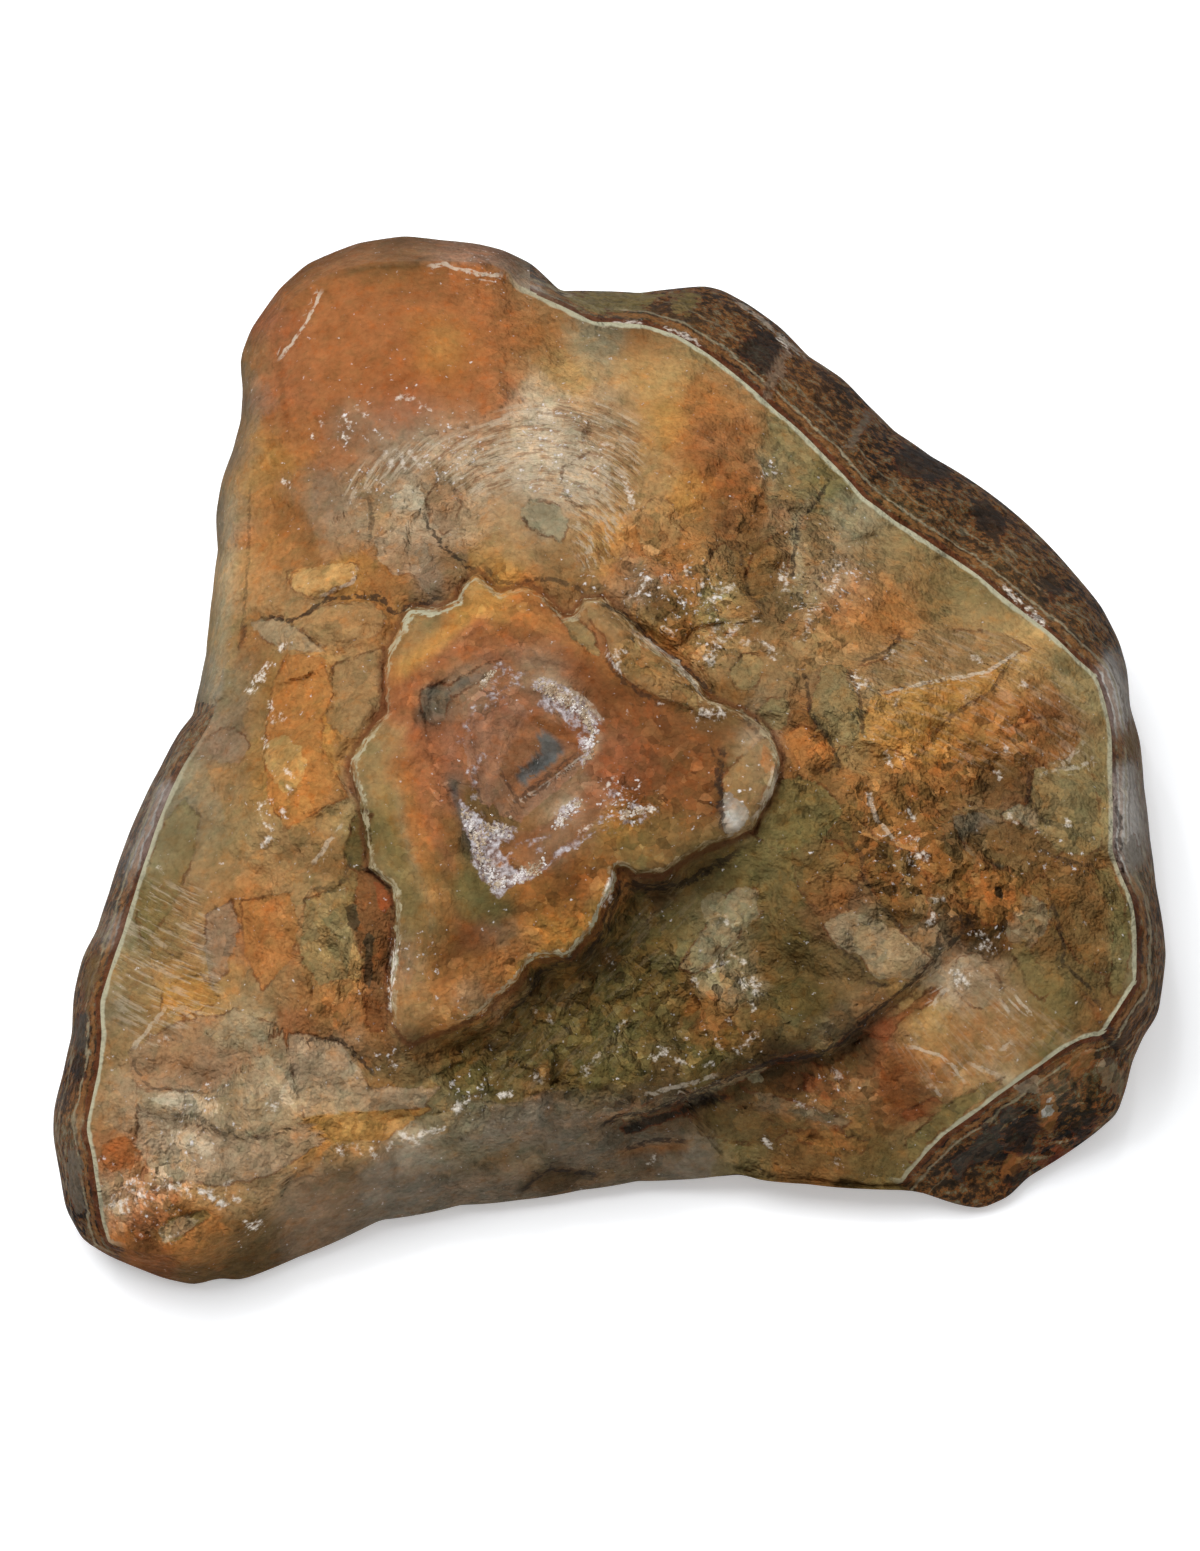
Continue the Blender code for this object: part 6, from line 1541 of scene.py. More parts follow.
def fine_break(x, y):
    """The chips and grains of the break, and the thin layers along the plate's edge."""
    rough = roughness_of_break(x, y)
    size, lift, seed = GRAIN
    relief = lift * lumps(x, y, size, seed) * rough
    moved_x, moved_y = wander(x, y)
    for size, lift, seed in CHIP_LAYERS:
        relief += lift * broken_planes(moved_x, moved_y, size, seed, CHIP_CRISPNESS) * rough
    size, sway, seed = PLATE_LAYER_SWAY
    plate = depth_inside(x, y, PLATE) + sway * lumps(x, y, size, seed)
    layer = (plate / PLATE_LAYER) % 1.0
    near_edge = smooth_step(plate, *PLATE_LAYER_START) * (1.0 - smooth_step(plate, *PLATE_LAYER_END))
    step = smooth_step(layer, 0.0, PLATE_LAYER_STEP) * (1.0 - layer)
    return relief + PLATE_LAYER_LIFT * near_edge * step


def linear(name):
    """A colour of the palette as the light that it sends back, each part from 0 to 1."""
    shown = np.array(PALETTE[name]) / 255.0
    return np.where(shown <= 0.04045, shown / 12.92, ((shown + 0.055) / 1.055) ** 2.4)


def nearest_chip(x, y, size, seed):
    """The middle of the chip of the break that each pixel lies in."""
    x, y = x / (size * PIXELS_PER_MM), y / (size * PIXELS_PER_MM)
    nearest, middle_x, middle_y = np.full(x.shape, np.inf), x.copy(), y.copy()
    for step_x in (-1, 0, 1):
        for step_y in (-1, 0, 1):
            column, row = np.floor(x) + step_x, np.floor(y) + step_y
            at_x, at_y = column + shuffled(column, row, seed), row + shuffled(column, row, seed + 1)
            away = np.hypot(x - at_x, y - at_y)
            nearer = away < nearest
            nearest = np.where(nearer, away, nearest)
            middle_x, middle_y = np.where(nearer, at_x, middle_x), np.where(nearer, at_y, middle_y)
    return middle_x * size * PIXELS_PER_MM, middle_y * size * PIXELS_PER_MM


def wander(x, y):
    """Pixels moved a little to and fro, so that the edges of colours are as uneven as in real stone."""
    moved_x, moved_y = x, y
    for size, reach, seed_x, seed_y in WANDER_LAYERS:
        moved_x = moved_x + reach * lumps(x, y, size, seed_x)
        moved_y = moved_y + reach * lumps(x, y, size, seed_y)
    return moved_x, moved_y


def blended(colours, x, y):
    """The colour at each pixel: the nearest coloured places, run together at their edges."""
    total, weights = np.zeros((len(x), 3)), np.zeros(len(x))
    for name, places in colours.items():
        for place_x, place_y, half_width in places:
            away = np.hypot(x - place_x, y - place_y) / (half_width * PIXELS_PER_MM)
            weight = np.exp(-SPOT_SHARPNESS * away**2) + 1e-7 / (1.0 + away**4)
            total += weight[:, None] * linear(name)
            weights += weight
    return total / weights[:, None]


def in_chips(colours, x, y):
    """The colours at each pixel, with each chip of the break in a colour of its own."""
    tint = (1.0 - sum(CHIP_SHARES)) * blended(colours, x, y)
    for (size, _, seed), share in zip(CHIP_LAYERS, CHIP_SHARES):
        middle_x, middle_y = nearest_chip(x, y, size, seed)
        light = 1.0 + CHIP_CONTRAST * (2.0 * shuffled(middle_x, middle_y, seed + 5) - 1.0)
        tint += share * light[:, None] * blended(colours, middle_x, middle_y)
    return tint


def outlined(patches, tint, x, y, down):
    """How deep inside a patch with a clear edge each pixel is, in millimetres, and that patch's colour."""
    depth, colours = np.full(x.shape, -PATCH_REACH), tint.copy()
    for name, strength, outline in patches:
        near = np.flatnonzero(near_outline(x, y, outline, PATCH_MARGIN))
        inside = np.clip(depth_inside(x[near], y[near], outline), -PATCH_REACH, PATCH_REACH)
        over = (inside > depth[near]) | (inside > 0.0)
        depth[near[over]] = inside[over]
        colours[near[over]] = tint[near[over]] + strength * (linear(name) - tint[near[over]])
    return depth - PATCH_LOSS * down, colours


def fibre_guides(x, y):
    """How strong the fibres are at each pixel, and how far it is across them and along them."""
    strength, across, along = np.zeros(x.shape), np.zeros(x.shape), np.zeros(x.shape)
    for share, (centre_x, centre_y), ringed, outline in FIBRES:
        near = np.flatnonzero(near_outline(x, y, outline, PATCH_MARGIN))
        off_x, off_y = (x[near] - centre_x) / PIXELS_PER_MM, (y[near] - centre_y) / PIXELS_PER_MM
        radius = np.hypot(off_x, off_y)
        turned = np.arctan2(off_y, off_x) * radius.mean()
        inside = share * smooth_step(depth_inside(x[near], y[near], outline), -1.0, 1.5)
        stronger = inside > strength[near]
        kept = near[stronger]
        strength[kept] = inside[stronger]
        across[kept] = (radius if ringed else turned)[stronger]
        along[kept] = (turned if ringed else radius)[stronger]
    return strength, across, along


def druse_share(x, y):
    """How closely fine quartz covers each pixel."""
    shares = [share * smooth_step(depth_inside(x, y, outline), -0.7, 0.5) for share, outline in DRUSES]
    return np.max(shares, axis=0)


def painted_light_and_shade(x, y):
    """The painted light and shade: how much lighter or darker the colours are at each pixel."""
    steps = np.zeros(x.shape)
    for (place_x, place_y), radius, factor in PAINTED_LIGHT_AND_SHADE:
        gap = np.hypot(x - place_x, y - place_y) / PIXELS_PER_MM / radius
        steps += math.log(factor) * np.exp(-gap ** 2)
    return np.exp(steps)


def with_strokes(tint, x, y):
    """The colours with the soft lines of colour laid over them."""
    for name, half_width, strength, line in STROKES:
        distance, where = along_line(x, y, line)
        share = strength * np.exp(-((distance / half_width) ** 2)) * taper(where, STROKE_TAPER)
        tint = tint + (linear(name) - tint) * share[:, None]
    return tint


def line_guides(x, y, lines, tapered=True):
    """For thin crisp lines: the distance to the nearest one in half widths, with and without its side."""
    side, gap, strength = np.full(x.shape, LINE_REACH), np.full(x.shape, LINE_REACH), np.zeros(x.shape)
    for half_width, darkness, line in lines:
        near = np.flatnonzero(near_outline(x, y, line, LINE_MARGIN))
        distance, where = along_line(x[near], y[near], line)
        distance = np.clip(distance / half_width, -LINE_REACH, LINE_REACH)
        nearer = np.abs(distance) < gap[near]
        kept = near[nearer]
        side[kept], gap[kept] = distance[nearer], np.abs(distance[nearer])
        strength[kept] = darkness * (taper(where, LINE_TAPER)[nearer] if tapered else 1.0)
    return side, gap, strength


def add_guide(mesh, name, values):
    """A number or a colour for each vertex, for the materials to read."""
    if values.ndim == 1:
        guide = mesh.attributes.new(name, "FLOAT", "POINT")
        guide.data.foreach_set("value", np.ascontiguousarray(values, dtype=np.float32))
    else:
        guide = mesh.attributes.new(name, "FLOAT_COLOR", "POINT")
        guide.data.foreach_set("color", np.hstack([values, np.ones((len(values), 1))]).ravel())


def face_tint(x, y, moved, rough):
    """The painted colours of the broken face, in chips where it is rough, with the strokes over them."""
    plain = blended(FACE_COLOURS, *moved)
    chipped = np.clip(CHIP_GAIN * rough, 0.0, 1.0)[:, None]
    return with_strokes(plain + (in_chips(FACE_COLOURS, *moved) - plain) * chipped, x, y)


def rind_tint(moved, uneven):
    """The painted colours of the rind, which turn to umber on the hidden side."""
    rind = blended(RIND_COLOURS, *moved)
    return rind + (linear("umber") - rind) * smooth_step(uneven, *UMBER_TAKES_OVER)[:, None]


def paint(mesh, x, y, angle, outward, down):
    """Colours and guides for the materials at each vertex, and how much of each vertex is rind.

    down is 0 on the side that the view shows, and from 0 to 1 down the hidden side.
    """
    moved, rough = wander(x, y), roughness_of_break(x, y)
    size, sway, seed = SIDE_SWAY
    uneven = down + sway * lumps(x, y, size, seed)
    rind_share = np.maximum(read_round_heart(*zip(*RIND_SPOTS), angle), smooth_step(uneven, *RIND_TAKES_OVER))
    rim_depth = depth_inside(x, y, RIM) - SIDE_DEPTH * down
    on_rind = rind_share * smooth_step(-rim_depth, *RIND_EDGE)
    face = face_tint(x, y, moved, rough)
    tint = face + (rind_tint(moved, uneven) - face) * on_rind[:, None]

    # Painted shade: darker where the surface turns away at the silhouette, fading down the hidden side
    turning_away_shade = smooth_step(outward, *EDGE_SHADE_REACH) * (1.0 - smooth_step(down, 0.0, EDGE_SHADE_END))
    edge_shade = FACE_EDGE_SHADE + (RIND_EDGE_SHADE - FACE_EDGE_SHADE) * on_rind
    # Painted light and shade at the listed places, partly the stone's own tone
    light_and_shade_factor = 1.0 + (painted_light_and_shade(x, y) - 1.0) * (1.0 - smooth_step(down, 0.0, PAINTED_LIGHT_AND_SHADE_END))
    tint *= ((1.0 - edge_shade * turning_away_shade) * light_and_shade_factor)[:, None]

    facet_patches = [(name, FACET_SHARE, outline) for name, *_, outline in FACETS if name]
    patch_depth, patch_tint = outlined(facet_patches + PATCHES, tint, x, y, down)
    spot_depth, spot_tint = outlined(SPOTS, tint, x, y, down)
    fibre, fibre_across, fibre_along = fibre_guides(x, y)
    guides = {
        "tint": tint,
        "patch_depth": patch_depth,
        "patch_tint": patch_tint,
        "spot_depth": spot_depth,
        "spot_tint": spot_tint,
        "druse": druse_share(x, y),
        "fibre": fibre,
        "fibre_across": fibre_across,
        "fibre_along": fibre_along,
        "frost": share_near(FROST_AND_GLINT_PLACES, x, y),
        "gravel": share_near(GRAVEL_PLACES, x, y),
        "rim_depth": rim_depth,
        "band": read_round_heart(*zip(*BAND_SPOTS), angle),
        "plate_depth": depth_inside(x, y, PLATE),
        "plate_line": read_round_heart(*zip(*PLATE_LINE_SPOTS), angle),
        "rough": rough,
    }
    # The cracks' dark lines, and along each ledge a line of painted shade at its foot
    crack_and_ledge_shade_lines = [(CRACK_HALF_WIDTH, CRACK_DARKNESS, line) for line, *_ in CRACKS + LEDGES]
    for name, lines in (("dark", crack_and_ledge_shade_lines + DARK_AND_SHADE_LINES), ("pale", PALE_LINES), ("painted_glint", PAINTED_GLINTS)):
        side, gap, strength = line_guides(x, y, lines, tapered=name != "painted_glint")
        guides.update({name + "_side": side, name + "_gap": gap, name + "_strength": strength})
    for name, values in guides.items():
        add_guide(mesh, name, values)
    return on_rind


def add_node(tree, kind, sockets=None, **settings):
    """A shader node with its settings, and with values or other nodes' outputs on its input sockets."""
    node = tree.nodes.new(kind)
    for name, value in settings.items():
        setattr(node, name, value)
    for name, value in (sockets or {}).items():
        if isinstance(value, bpy.types.NodeSocket):
            tree.links.new(value, node.inputs[name])
        else:
            node.inputs[name].default_value = value
    return node


def guide_value(tree, name):
    """A guide's number at each place."""
    return add_node(tree, "ShaderNodeAttribute", attribute_name=name).outputs["Fac"]


def guide_colour(tree, name):
    """A guide's colour at each place."""
    return add_node(tree, "ShaderNodeAttribute", attribute_name=name).outputs["Color"]


def noise_value(tree, size, detail, roughness, seed, place=None):
    """Noise from 0 to 1 in the stone's own space, with features of this size in millimetres."""
    if place is None:
        place = add_node(tree, "ShaderNodeTexCoord").outputs["Object"]
    apart = add_node(tree, "ShaderNodeVectorMath", {0: place, 1: (0.37 * seed, 0.0, 0.11 * seed)}).outputs[0]
    sockets = {"Vector": apart, "Scale": 1.0 / (size * MM), "Detail": detail, "Roughness": roughness}
    return add_node(tree, "ShaderNodeTexNoise", sockets).outputs["Fac"]


def noise_of(tree, name, place=None):
    """The noise of this name."""
    return noise_value(tree, *NOISES[name], place)


def calculate(tree, operation, first, second=0.0, third=0.0):
    """The result of one step of arithmetic."""
    sockets = {0: first, 1: second, 2: third}
    return add_node(tree, "ShaderNodeMath", sockets, operation=operation).outputs[0]


def times(tree, *values):
    """The product of two values or more."""
    product, *others = values
    for other in others:
        product = calculate(tree, "MULTIPLY", product, other)
    return product


def added(tree, value, factor, base):
    """A value times a factor, added to a base."""
    return calculate(tree, "MULTIPLY_ADD", value, factor, base)


def minus(tree, first, second):
    """The difference of two values."""
    return calculate(tree, "SUBTRACT", first, second)


def vector_step(tree, operation, *vectors):
    """One step of arithmetic with vectors."""
    return add_node(tree, "ShaderNodeVectorMath", dict(enumerate(vectors)), operation=operation)


def rise_between(tree, value, low, high, strength=1.0):
    """0 where a value is below low and the strength where it is above high; low may be the higher."""
    sockets = {"Value": value, "From Min": low, "From Max": high, "To Max": strength}
    return add_node(tree, "ShaderNodeMapRange", sockets, interpolation_type="SMOOTHSTEP").outputs[0]


def rise_of(tree, value, name):
    """How much there is at a value of the part of the pattern with this name."""
    return rise_between(tree, value, *RISES[name])


def mixed(tree, share, first, second, blend_type="MIX"):
    """The first colour with a share of the second one mixed into it."""
    sockets = {0: share, 6: first, 7: second}
    return add_node(tree, "ShaderNodeMix", sockets, data_type="RGBA", blend_type=blend_type).outputs[2]


def opaque(colour):
    """A colour with its opacity, as sockets want it."""
    return (*colour, 1.0)


def painted(tree, share, colour, name):
    """The colour with a share of one of the palette mixed into it."""
    return mixed(tree, share, colour, opaque(linear(name)))


def ramp(tree, value, stops):
    """Colours along a value from 0 to 1."""
    node = add_node(tree, "ShaderNodeValToRGB", {"Fac": value})
    elements = node.color_ramp.elements
    while len(elements) < len(stops):
        elements.new(0.5)
    for element, (position, colour) in zip(elements, stops):
        element.position = position
        element.color = opaque(colour)
    return node.outputs["Color"]


def tinted(tree, share, colour, value, stops):
    """The colour multiplied by a share of the colours along a value."""
    return mixed(tree, share, colour, ramp(tree, value, stops), "MULTIPLY")


def chip_space(tree, size, seed):
    """The stone's own space in steps of this size in millimetres, bent so that no chip is regular."""
    place = add_node(tree, "ShaderNodeTexCoord").outputs["Object"]
    sockets = {"Vector": place, "Scale": (0.8 + 0.002 * seed) / (size * MM), "Detail": 2.0}
    sway = add_node(tree, "ShaderNodeTexNoise", sockets).outputs["Color"]
    swayed = vector_step(tree, "MULTIPLY_ADD", sway, (0.9, 0.9, 0.9), (seed, 0.0, 0.0)).outputs[0]
    return vector_step(tree, "MULTIPLY_ADD", place, (1.0 / (size * MM),) * 3, swayed).outputs[0]


def chips(tree, size, seed):
    """Chips of about this size in millimetres: how high each leans, and a number by chance for each."""
    place = chip_space(tree, size, seed)
    cells = add_node(tree, "ShaderNodeTexVoronoi", {"Vector": place, "Scale": 1.0}).outputs
    off = vector_step(tree, "SUBTRACT", place, cells["Position"]).outputs[0]
    slope = vector_step(tree, "SUBTRACT", cells["Color"], (0.5, 0.5, 0.5)).outputs[0]
    lean = vector_step(tree, "DOT_PRODUCT", off, slope).outputs["Value"]
    return lean, add_node(tree, "ShaderNodeSeparateColor", {"Color": cells["Color"]}).outputs[0]


def ragged_depth(tree, name, raggedness):
    """How deep inside a patch it is, in millimetres, with a ragged edge to the patch."""
    sway = minus(tree, noise_value(tree, 1.2 + 0.3 * raggedness, 3.0, 0.6, 18.0), 0.5)
    return added(tree, sway, raggedness, guide_value(tree, name + "_depth"))


def with_patches(tree, colour, raggedness=RAGGEDNESS, cover=1.0):
    """The patches with clear edges, with a dark seam in places along an edge, and the spots on them."""
    for name in ("patch", "spot"):
        depth = ragged_depth(tree, name, raggedness)
        share = times(tree, rise_of(tree, depth, "patch"), cover)
        colour = mixed(tree, share, colour, guide_colour(tree, name + "_tint"))
        if name == "patch":
            seam = rise_of(tree, calculate(tree, "ABSOLUTE", depth), "seam")
            kept = rise_of(tree, noise_of(tree, "layer_sway"), "seam_gaps")
            colour = painted(tree, times(tree, seam, kept), colour, "dark_red")
    return colour


def fibre_noise(tree):
    """Noise drawn out along the fibres."""
    across = times(tree, guide_value(tree, "fibre_across"), MM)
    along = times(tree, guide_value(tree, "fibre_along"), 0.15 * MM)
    place = add_node(tree, "ShaderNodeCombineXYZ", {"X": across, "Y": along}).outputs[0]
    return noise_of(tree, "fibres", place)


def with_fibres(tree, colour):
    """Light and dark fibres in the places painted for them."""
    strands, share = fibre_noise(tree), guide_value(tree, "fibre")
    colour = painted(tree, times(tree, rise_of(tree, strands, "light_fibres"), share), colour, "quartz")
    return painted(tree, times(tree, rise_of(tree, strands, "dark_fibres"), share), colour, "red_brown")


def with_layers(tree, colour):
    """The plate's thin layers, which run along its edge."""
    inward = guide_value(tree, "plate_depth")
    depth = times(tree, added(tree, noise_of(tree, "layer_sway"), LAYER_SWAY, inward), MM)
    place = add_node(tree, "ShaderNodeCombineXYZ", {"X": depth}).outputs[0]
    on_plate = rise_of(tree, inward, "on_plate")
    return tinted(tree, on_plate, colour, noise_of(tree, "layers", place), LAYER_STOPS)


def with_gravel(tree, colour):
    """Small grains of many colours in the places painted for them."""
    return tinted(tree, guide_value(tree, "gravel"), colour, chips(tree, *GRAVEL_CHIPS)[1], GRAVEL_STOPS)


def with_druse(tree, colour):
    """The fine quartz in the pit: a crust where it is closest, and scattered grains round that."""
    cover = added(tree, guide_value(tree, "druse"), 0.42, noise_of(tree, "druse"))
    grains = ramp(tree, noise_of(tree, "grains"), DRUSE_STOPS)
    return mixed(tree, rise_of(tree, cover, "druse"), colour, grains)


def face_colour(tree, tint):
    """The broken face: the painted colours with patches, layers, chips, clouds, grains and fibres in them."""
    rough = guide_value(tree, "rough")
    colour = with_gravel(tree, with_layers(tree, with_patches(tree, tint)))
    colour = tinted(tree, rough, colour, chips(tree, *FINE_CHIPS)[1], CHIP_STOPS)
    colour = tinted(tree, 1.0, colour, noise_of(tree, "clouds"), CLOUD_STOPS)
    colour = tinted(tree, 1.0, colour, noise_of(tree, "hues"), HUE_STOPS)
    colour = tinted(tree, added(tree, rough, 0.55, 0.45), colour, noise_of(tree, "grains"), GRAIN_STOPS)
    return with_druse(tree, with_fibres(tree, colour))


def with_frost(tree, colour):
    """White specks, of quartz and of painted glints, thick in the places painted for them."""
    above = added(tree, guide_value(tree, "frost"), 0.2, noise_of(tree, "frost"))
    return painted(tree, rise_of(tree, above, "frost"), colour, "frost")


def line_share(tree, name, waviness):
    """How much of a thin line is at each place, from the line guides of this name."""
    sway = minus(tree, noise_of(tree, "line_sway"), 0.5)
    moved = added(tree, sway, waviness, guide_value(tree, name + "_side"))
    on_line = rise_of(tree, calculate(tree, "ABSOLUTE", moved), "line")
    close = rise_of(tree, guide_value(tree, name + "_gap"), "line_close")
    kept = rise_of(tree, noise_of(tree, "line_gaps"), "line_gaps")
    return times(tree, on_line, close, kept, guide_value(tree, name + "_strength"))


def with_groove(tree, colour):
    """The dark groove round the plate."""
    waver = times(tree, noise_of(tree, "plate_sway"), PLATE_GROOVE_SWAY)
    outward = minus(tree, waver, guide_value(tree, "plate_depth"))
    groove = times(tree, rise_of(tree, outward, "groove_start"), rise_of(tree, outward, "groove_end"))
    return painted(tree, groove, colour, "dark_red")


def with_lines(tree, colour):
    """The thin dark lines, partly painted shade, the pale lines, and the painted white glints."""
    colour = painted(tree, line_share(tree, "dark", DARK_LINE_SWAY), colour, "black")
    colour = painted(tree, line_share(tree, "pale", PALE_LINE_SWAY), colour, "pale")
    # Painted glints: white highlights painted into the colour, broken up by noise
    off = minus(tree, 0.5, noise_of(tree, "grains"))
    gap = added(tree, off, PAINTED_GLINT_SWAY, guide_value(tree, "painted_glint_gap"))
    share = times(tree, rise_of(tree, gap, "painted_glint"), guide_value(tree, "painted_glint_strength"))
    return painted(tree, share, colour, "painted_glint")


def with_plate_line(tree, colour):
    """The pale scalloped line along the edge of the plate, wider where it shows more strongly."""
    waver = minus(tree, times(tree, noise_of(tree, "plate_sway"), PLATE_LINE_SWAY), 0.3)
    inward = minus(tree, guide_value(tree, "plate_depth"), waver)
    strength = guide_value(tree, "plate_line")
    widened = added(tree, strength, -0.5, inward)
    line = times(tree, rise_of(tree, inward, "plate_line_start"), rise_of(tree, widened, "plate_line_end"))
    kept = rise_of(tree, noise_of(tree, "polish"), "plate_line_gaps")
    pale = mixed(tree, strength, opaque(linear("gold")), opaque(linear("white_band")))
    return mixed(tree, times(tree, line, kept, strength), colour, pale)


def rind_colour(tree, tint):
    """The rind: painted colours broken up by black, rust and green, with thin layers along its edge."""
    drift = minus(tree, noise_of(tree, "rind_drift"), 0.5)
    clouds = added(tree, drift, 0.4, noise_of(tree, "rind_clouds"))
    # Where the painted glare makes the tint pale, the clouds are kept out so that the glare stays smooth
    paleness = add_node(tree, "ShaderNodeRGBToBW", {"Color": tint}).outputs[0]
    share = added(tree, rise_of(tree, paleness, "rind_paleness"), -0.55, 0.7)
    colour = mixed(tree, share, tint, ramp(tree, clouds, RIND_STOPS))
    waver = times(tree, noise_of(tree, "rind_sway"), RIND_SWAY)
    outward = minus(tree, waver, guide_value(tree, "rim_depth"))
    band = guide_value(tree, "band")
    for low, high, name, share in RIND_LINES:
        inner = rise_between(tree, outward, low, low + RIND_LINE_EDGE, share)
        outer = rise_between(tree, outward, high, high - RIND_LINE_EDGE)
        colour = painted(tree, times(tree, inner, outer, band), colour, name)
    colour = with_patches(tree, colour, raggedness=4.0, cover=0.8)
    colour = tinted(tree, 1.0, colour, noise_of(tree, "rind_grains"), GRAIN_STOPS)
    return with_lines(tree, with_gravel(tree, colour))


def with_white_band(tree, colour):
    """The white chalcedony band along the edge of the broken face."""
    waver = times(tree, noise_of(tree, "band_sway"), BAND_SWAY)
    inward = minus(tree, guide_value(tree, "rim_depth"), waver)
    band = times(tree, rise_of(tree, inward, "band_start"), rise_of(tree, inward, "band_end"))
    return painted(tree, times(tree, band, guide_value(tree, "band")), colour, "white_band")


def new_material(name, values):
    """A new material, its nodes and its shader, with these values on the shader's own sockets."""
    material = bpy.data.materials.new(name)
    material.use_nodes = True
    shader = material.node_tree.nodes["Principled BSDF"]
    for socket, value in values.items():
        shader.inputs[socket].default_value = value
    return material, material.node_tree, shader


def add_relief(tree, shader, height, depth):
    """The fine relief of a surface, for this depth in millimetres."""
    bump = add_node(tree, "ShaderNodeBump", {"Height": height, "Strength": 1.0, "Distance": depth * MM})
    tree.links.new(bump.outputs["Normal"], shader.inputs["Normal"])


def stone_relief(tree):
    """The relief of the break: chips, fibres, gravel and a small step at each patch's edge."""
    rough = guide_value(tree, "rough")
    relief = added(tree, chips(tree, *FINE_CHIPS)[0], 1.6, noise_of(tree, "relief"))
    height = times(tree, relief, rough)
    height = added(tree, fibre_noise(tree), guide_value(tree, "fibre"), height)
    grainy = added(tree, rough, 0.6, guide_value(tree, "gravel"))
    height = added(tree, chips(tree, *GRAVEL_CHIPS)[0], grainy, height)
    step = rise_of(tree, ragged_depth(tree, "patch", RAGGEDNESS), "patch_step")
    return added(tree, step, 0.35, height)


def stone_material(name, gloss, coat, roughest):
    """Mottled chalcedony, under a wet gloss or nearly dull."""
    material, tree, shader = new_material(name, {
        "IOR": 1.45, "Specular IOR Level": gloss, "Coat Weight": coat, "Coat Roughness": 0.06})
    colour = with_plate_line(tree, with_groove(tree, face_colour(tree, guide_colour(tree, "tint"))))
    colour = with_lines(tree, with_frost(tree, colour))
    tree.links.new(with_white_band(tree, colour), shader.inputs["Base Color"])
    sockets = {"Value": noise_of(tree, "polish"), "From Min": 0.3, "From Max": 0.7}
    sockets.update({"To Min": roughest - 0.35, "To Max": roughest})
    dullness = add_node(tree, "ShaderNodeMapRange", sockets)
    tree.links.new(dullness.outputs[0], shader.inputs["Roughness"])
    add_relief(tree, shader, stone_relief(tree), STONE_RELIEF)
    return material


def rind_material():
    """The nodule's rough rind: dark, mottled and dull."""
    material, tree, shader = new_material("dark_rind", {"Roughness": 0.75, "Specular IOR Level": 0.03})
    tree.links.new(rind_colour(tree, guide_colour(tree, "tint")), shader.inputs["Base Color"])
    height = calculate(tree, "ADD", chips(tree, *GRAVEL_CHIPS)[0], noise_of(tree, "rind_relief"))
    add_relief(tree, shader, height, RIND_RELIEF)
    return material


def crystal_material():
    """Small clear quartz points with a little iron in them."""
    values = {"Roughness": 0.12, "IOR": 1.54, "Coat Weight": 0.5}
    material, tree, shader = new_material("quartz_points", values)
    stops = [(0.38, linear("pink_grey")), (0.5, linear("quartz")), (0.6, linear("frost"))]
    colour = ramp(tree, noise_of(tree, "crystal_clouds"), stops)
    tree.links.new(colour, shader.inputs["Base Color"])
    return material


def add_object(name, data):
    """A new object in the scene."""
    holder = bpy.data.objects.new(name, data)
    bpy.context.scene.collection.objects.link(holder)
    return holder


def make_stone():
    """The whole stone in one skin, in place of the plain solid."""
    sheet = skin_sheet()
    x, y, angle, outward, down = shape_skin(sheet)
    bmesh.ops.recalc_face_normals(sheet, faces=sheet.faces)
    mesh = bpy.data.meshes.new("stone_skin")
    sheet.to_mesh(mesh)
    sheet.free()
    mesh.shade_smooth()
    mesh.set_sharp_from_angle(angle=SHARP_ANGLE)
    on_rind = paint(mesh, x, y, angle, outward, down)
    for material in (stone_material(*WET_FINISH), stone_material(*WORN_FINISH), rind_material()):
        mesh.materials.append(material)
    for polygon in mesh.polygons:
        around = list(polygon.vertices)
        dull = polygon.normal.z < STEEP or outward[around].mean() > SIDE_START
        polygon.material_index = 2 if on_rind[around].mean() > 0.5 else int(dull)
    stone = add_object("stone_skin", mesh)
    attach(stone, "root")
    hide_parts("carnelian_stone")


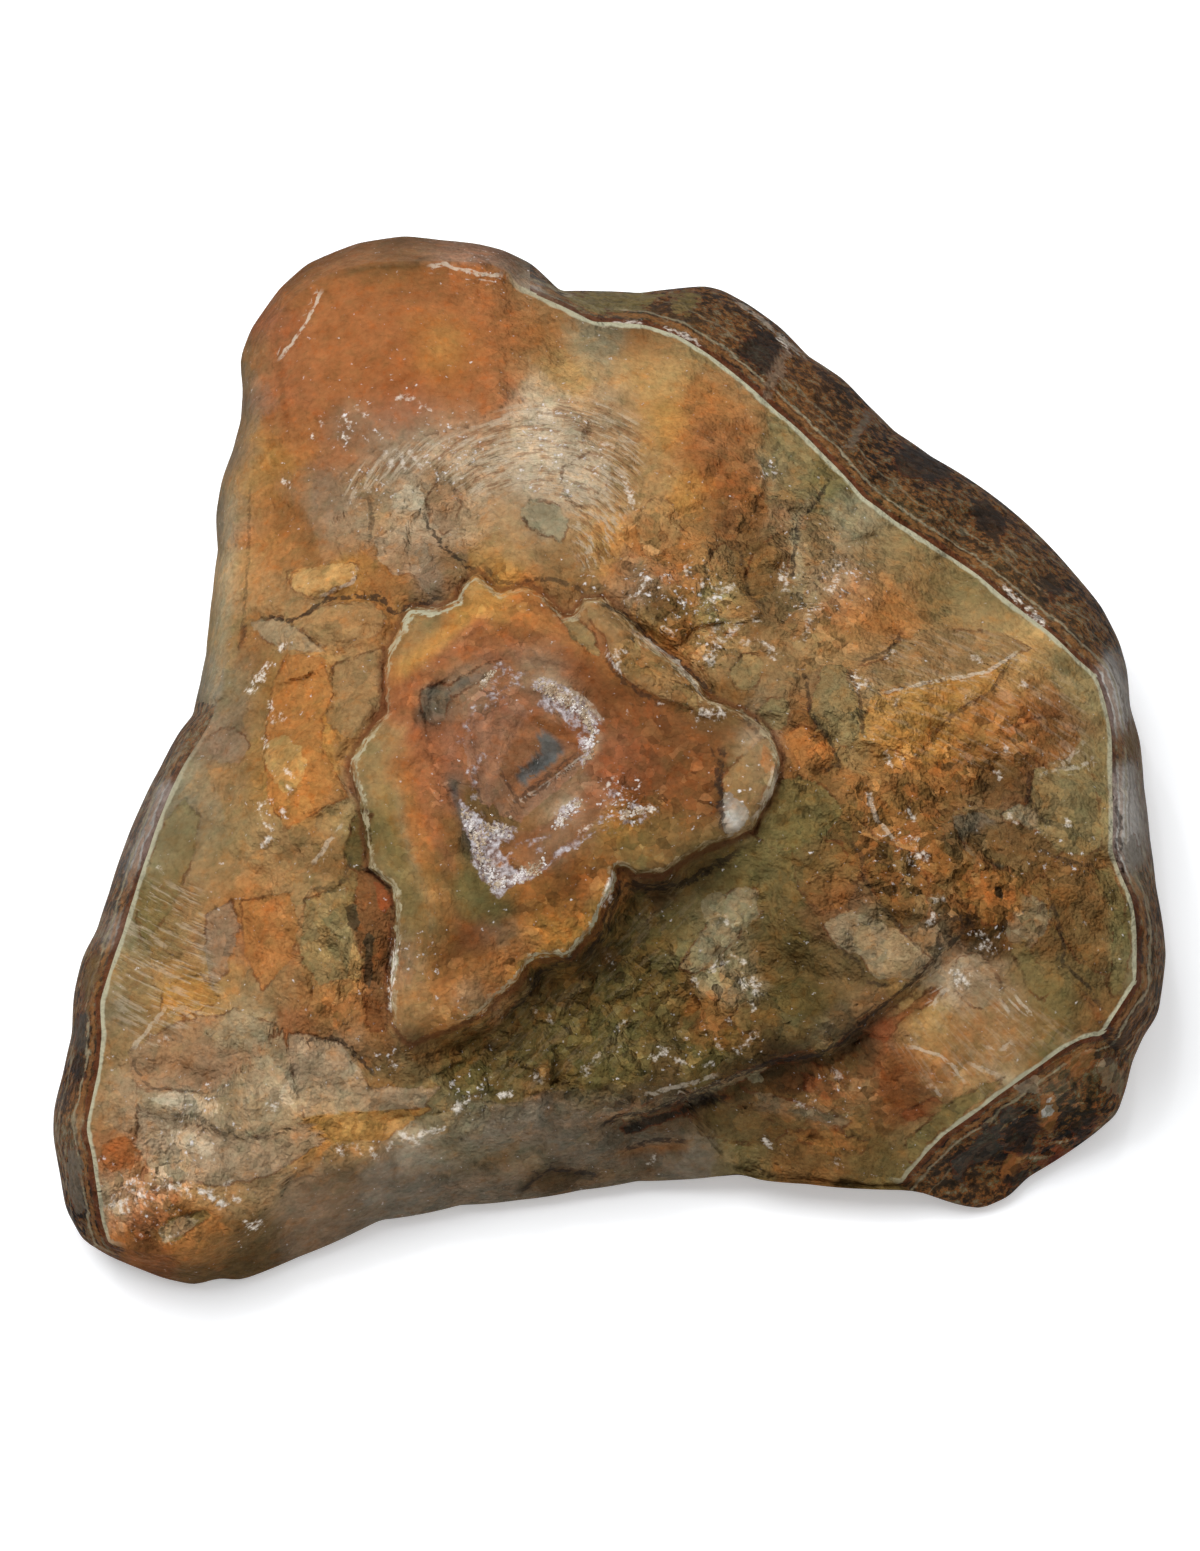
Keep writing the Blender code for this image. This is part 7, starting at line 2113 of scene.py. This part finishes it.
def make_crystals():
    """The fine quartz points that line parts of the pit."""
    chance = np.random.default_rng(SEED)
    points = bmesh.new()
    for half_width, count, line in CRYSTAL_STRIPS:
        along = np.array(line, float)
        lengths = np.hypot(*np.diff(along, axis=0).T)
        reached = np.concatenate([[0.0], np.cumsum(lengths)])
        where = chance.uniform(0.0, reached[-1], count)
        spread = half_width * PIXELS_PER_MM * chance.normal(0.0, 0.5, (2, count))
        x = np.interp(where, reached, along[:, 0]) + spread[0]
        y = np.interp(where, reached, along[:, 1]) + spread[1]
        feet = place_seen_at(x, y, face_height(x, y)) * MM
        for foot in feet:
            radius = chance.uniform(*CRYSTAL_RADIUS) * MM
            height = chance.uniform(*CRYSTAL_HEIGHT) * MM
            lean = Matrix.Rotation(chance.uniform(0.0, CRYSTAL_LEAN), 4, "X")
            turn = Matrix.Rotation(chance.uniform(0.0, 2 * math.pi), 4, "Z")
            lift = Matrix.Translation((0.0, 0.0, CRYSTAL_LIFT * height))
            bmesh.ops.create_cone(
                points, cap_ends=True, segments=6, radius1=radius, radius2=CRYSTAL_TIP * radius,
                depth=height, matrix=Matrix.Translation(foot) @ turn @ lean @ lift)
    mesh = bpy.data.meshes.new("quartz_points")
    points.to_mesh(mesh)
    points.free()
    mesh.materials.append(crystal_material())
    crystals = add_object("quartz_points", mesh)
    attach(crystals, "root")


def make_floor():
    """A plain white table, wide enough to fill every view."""
    bpy.ops.mesh.primitive_plane_add(size=FLOOR_SIZE)
    floor = bpy.context.object
    floor.name = "floor"
    material, _, _ = new_material("white_table", {
        "Base Color": (0.9, 0.9, 0.9, 1.0), "Roughness": 0.8, "Specular IOR Level": 0.1,
        "Emission Color": (1.0, 1.0, 1.0, 1.0), "Emission Strength": FLOOR_GLOW})
    floor.data.materials.append(material)


def add_area_light(name, size, watts, place, mirrored):
    """A square light at a place in metres, turned to the stone."""
    light = bpy.data.lights.new(name, "AREA")
    light.size = size
    light.energy = watts
    light.color = LIGHT_COLOUR
    holder = add_object(name, light)
    holder.location = place
    holder.rotation_euler = (Vector(AIM * MM) - Vector(place)).to_track_quat("-Z", "Y").to_euler()
    holder.visible_glossy = mirrored


def light_scene():
    """Soft studio light from the left and above, and small lamps for the glints, in plain screen colours."""
    bpy.context.scene.view_settings.view_transform = "Standard"
    world = bpy.data.worlds.new("studio")
    world.use_nodes = True
    background = world.node_tree.nodes["Background"]
    background.inputs["Color"].default_value = (1.0, 1.0, 1.0, 1.0)
    background.inputs["Strength"].default_value = WORLD_STRENGTH
    bpy.context.scene.world = world
    for light in LIGHTS:
        add_area_light(*light)


def add_camera():
    """The photograph's view: from 60 degrees above the horizon, a metre away."""
    camera = bpy.data.cameras.new("camera")
    camera.sensor_fit = "VERTICAL"
    camera.sensor_height = SENSOR_HEIGHT
    camera.lens = FOCAL_PIXELS / PICTURE_HEIGHT * SENSOR_HEIGHT
    camera.clip_start = 0.01
    holder = add_object("camera", camera)
    back = Vector((0.0, -math.cos(VIEW_ELEVATION), math.sin(VIEW_ELEVATION)))
    holder.location = Vector(AIM * MM) + back * VIEW_DISTANCE * MM
    holder.rotation_euler = (math.pi / 2 - VIEW_ELEVATION, 0.0, 0.0)
    bpy.context.scene.camera = holder


add_camera()
light_scene()
make_floor()
make_stone()
make_crystals()
bpy.context.view_layer.update()
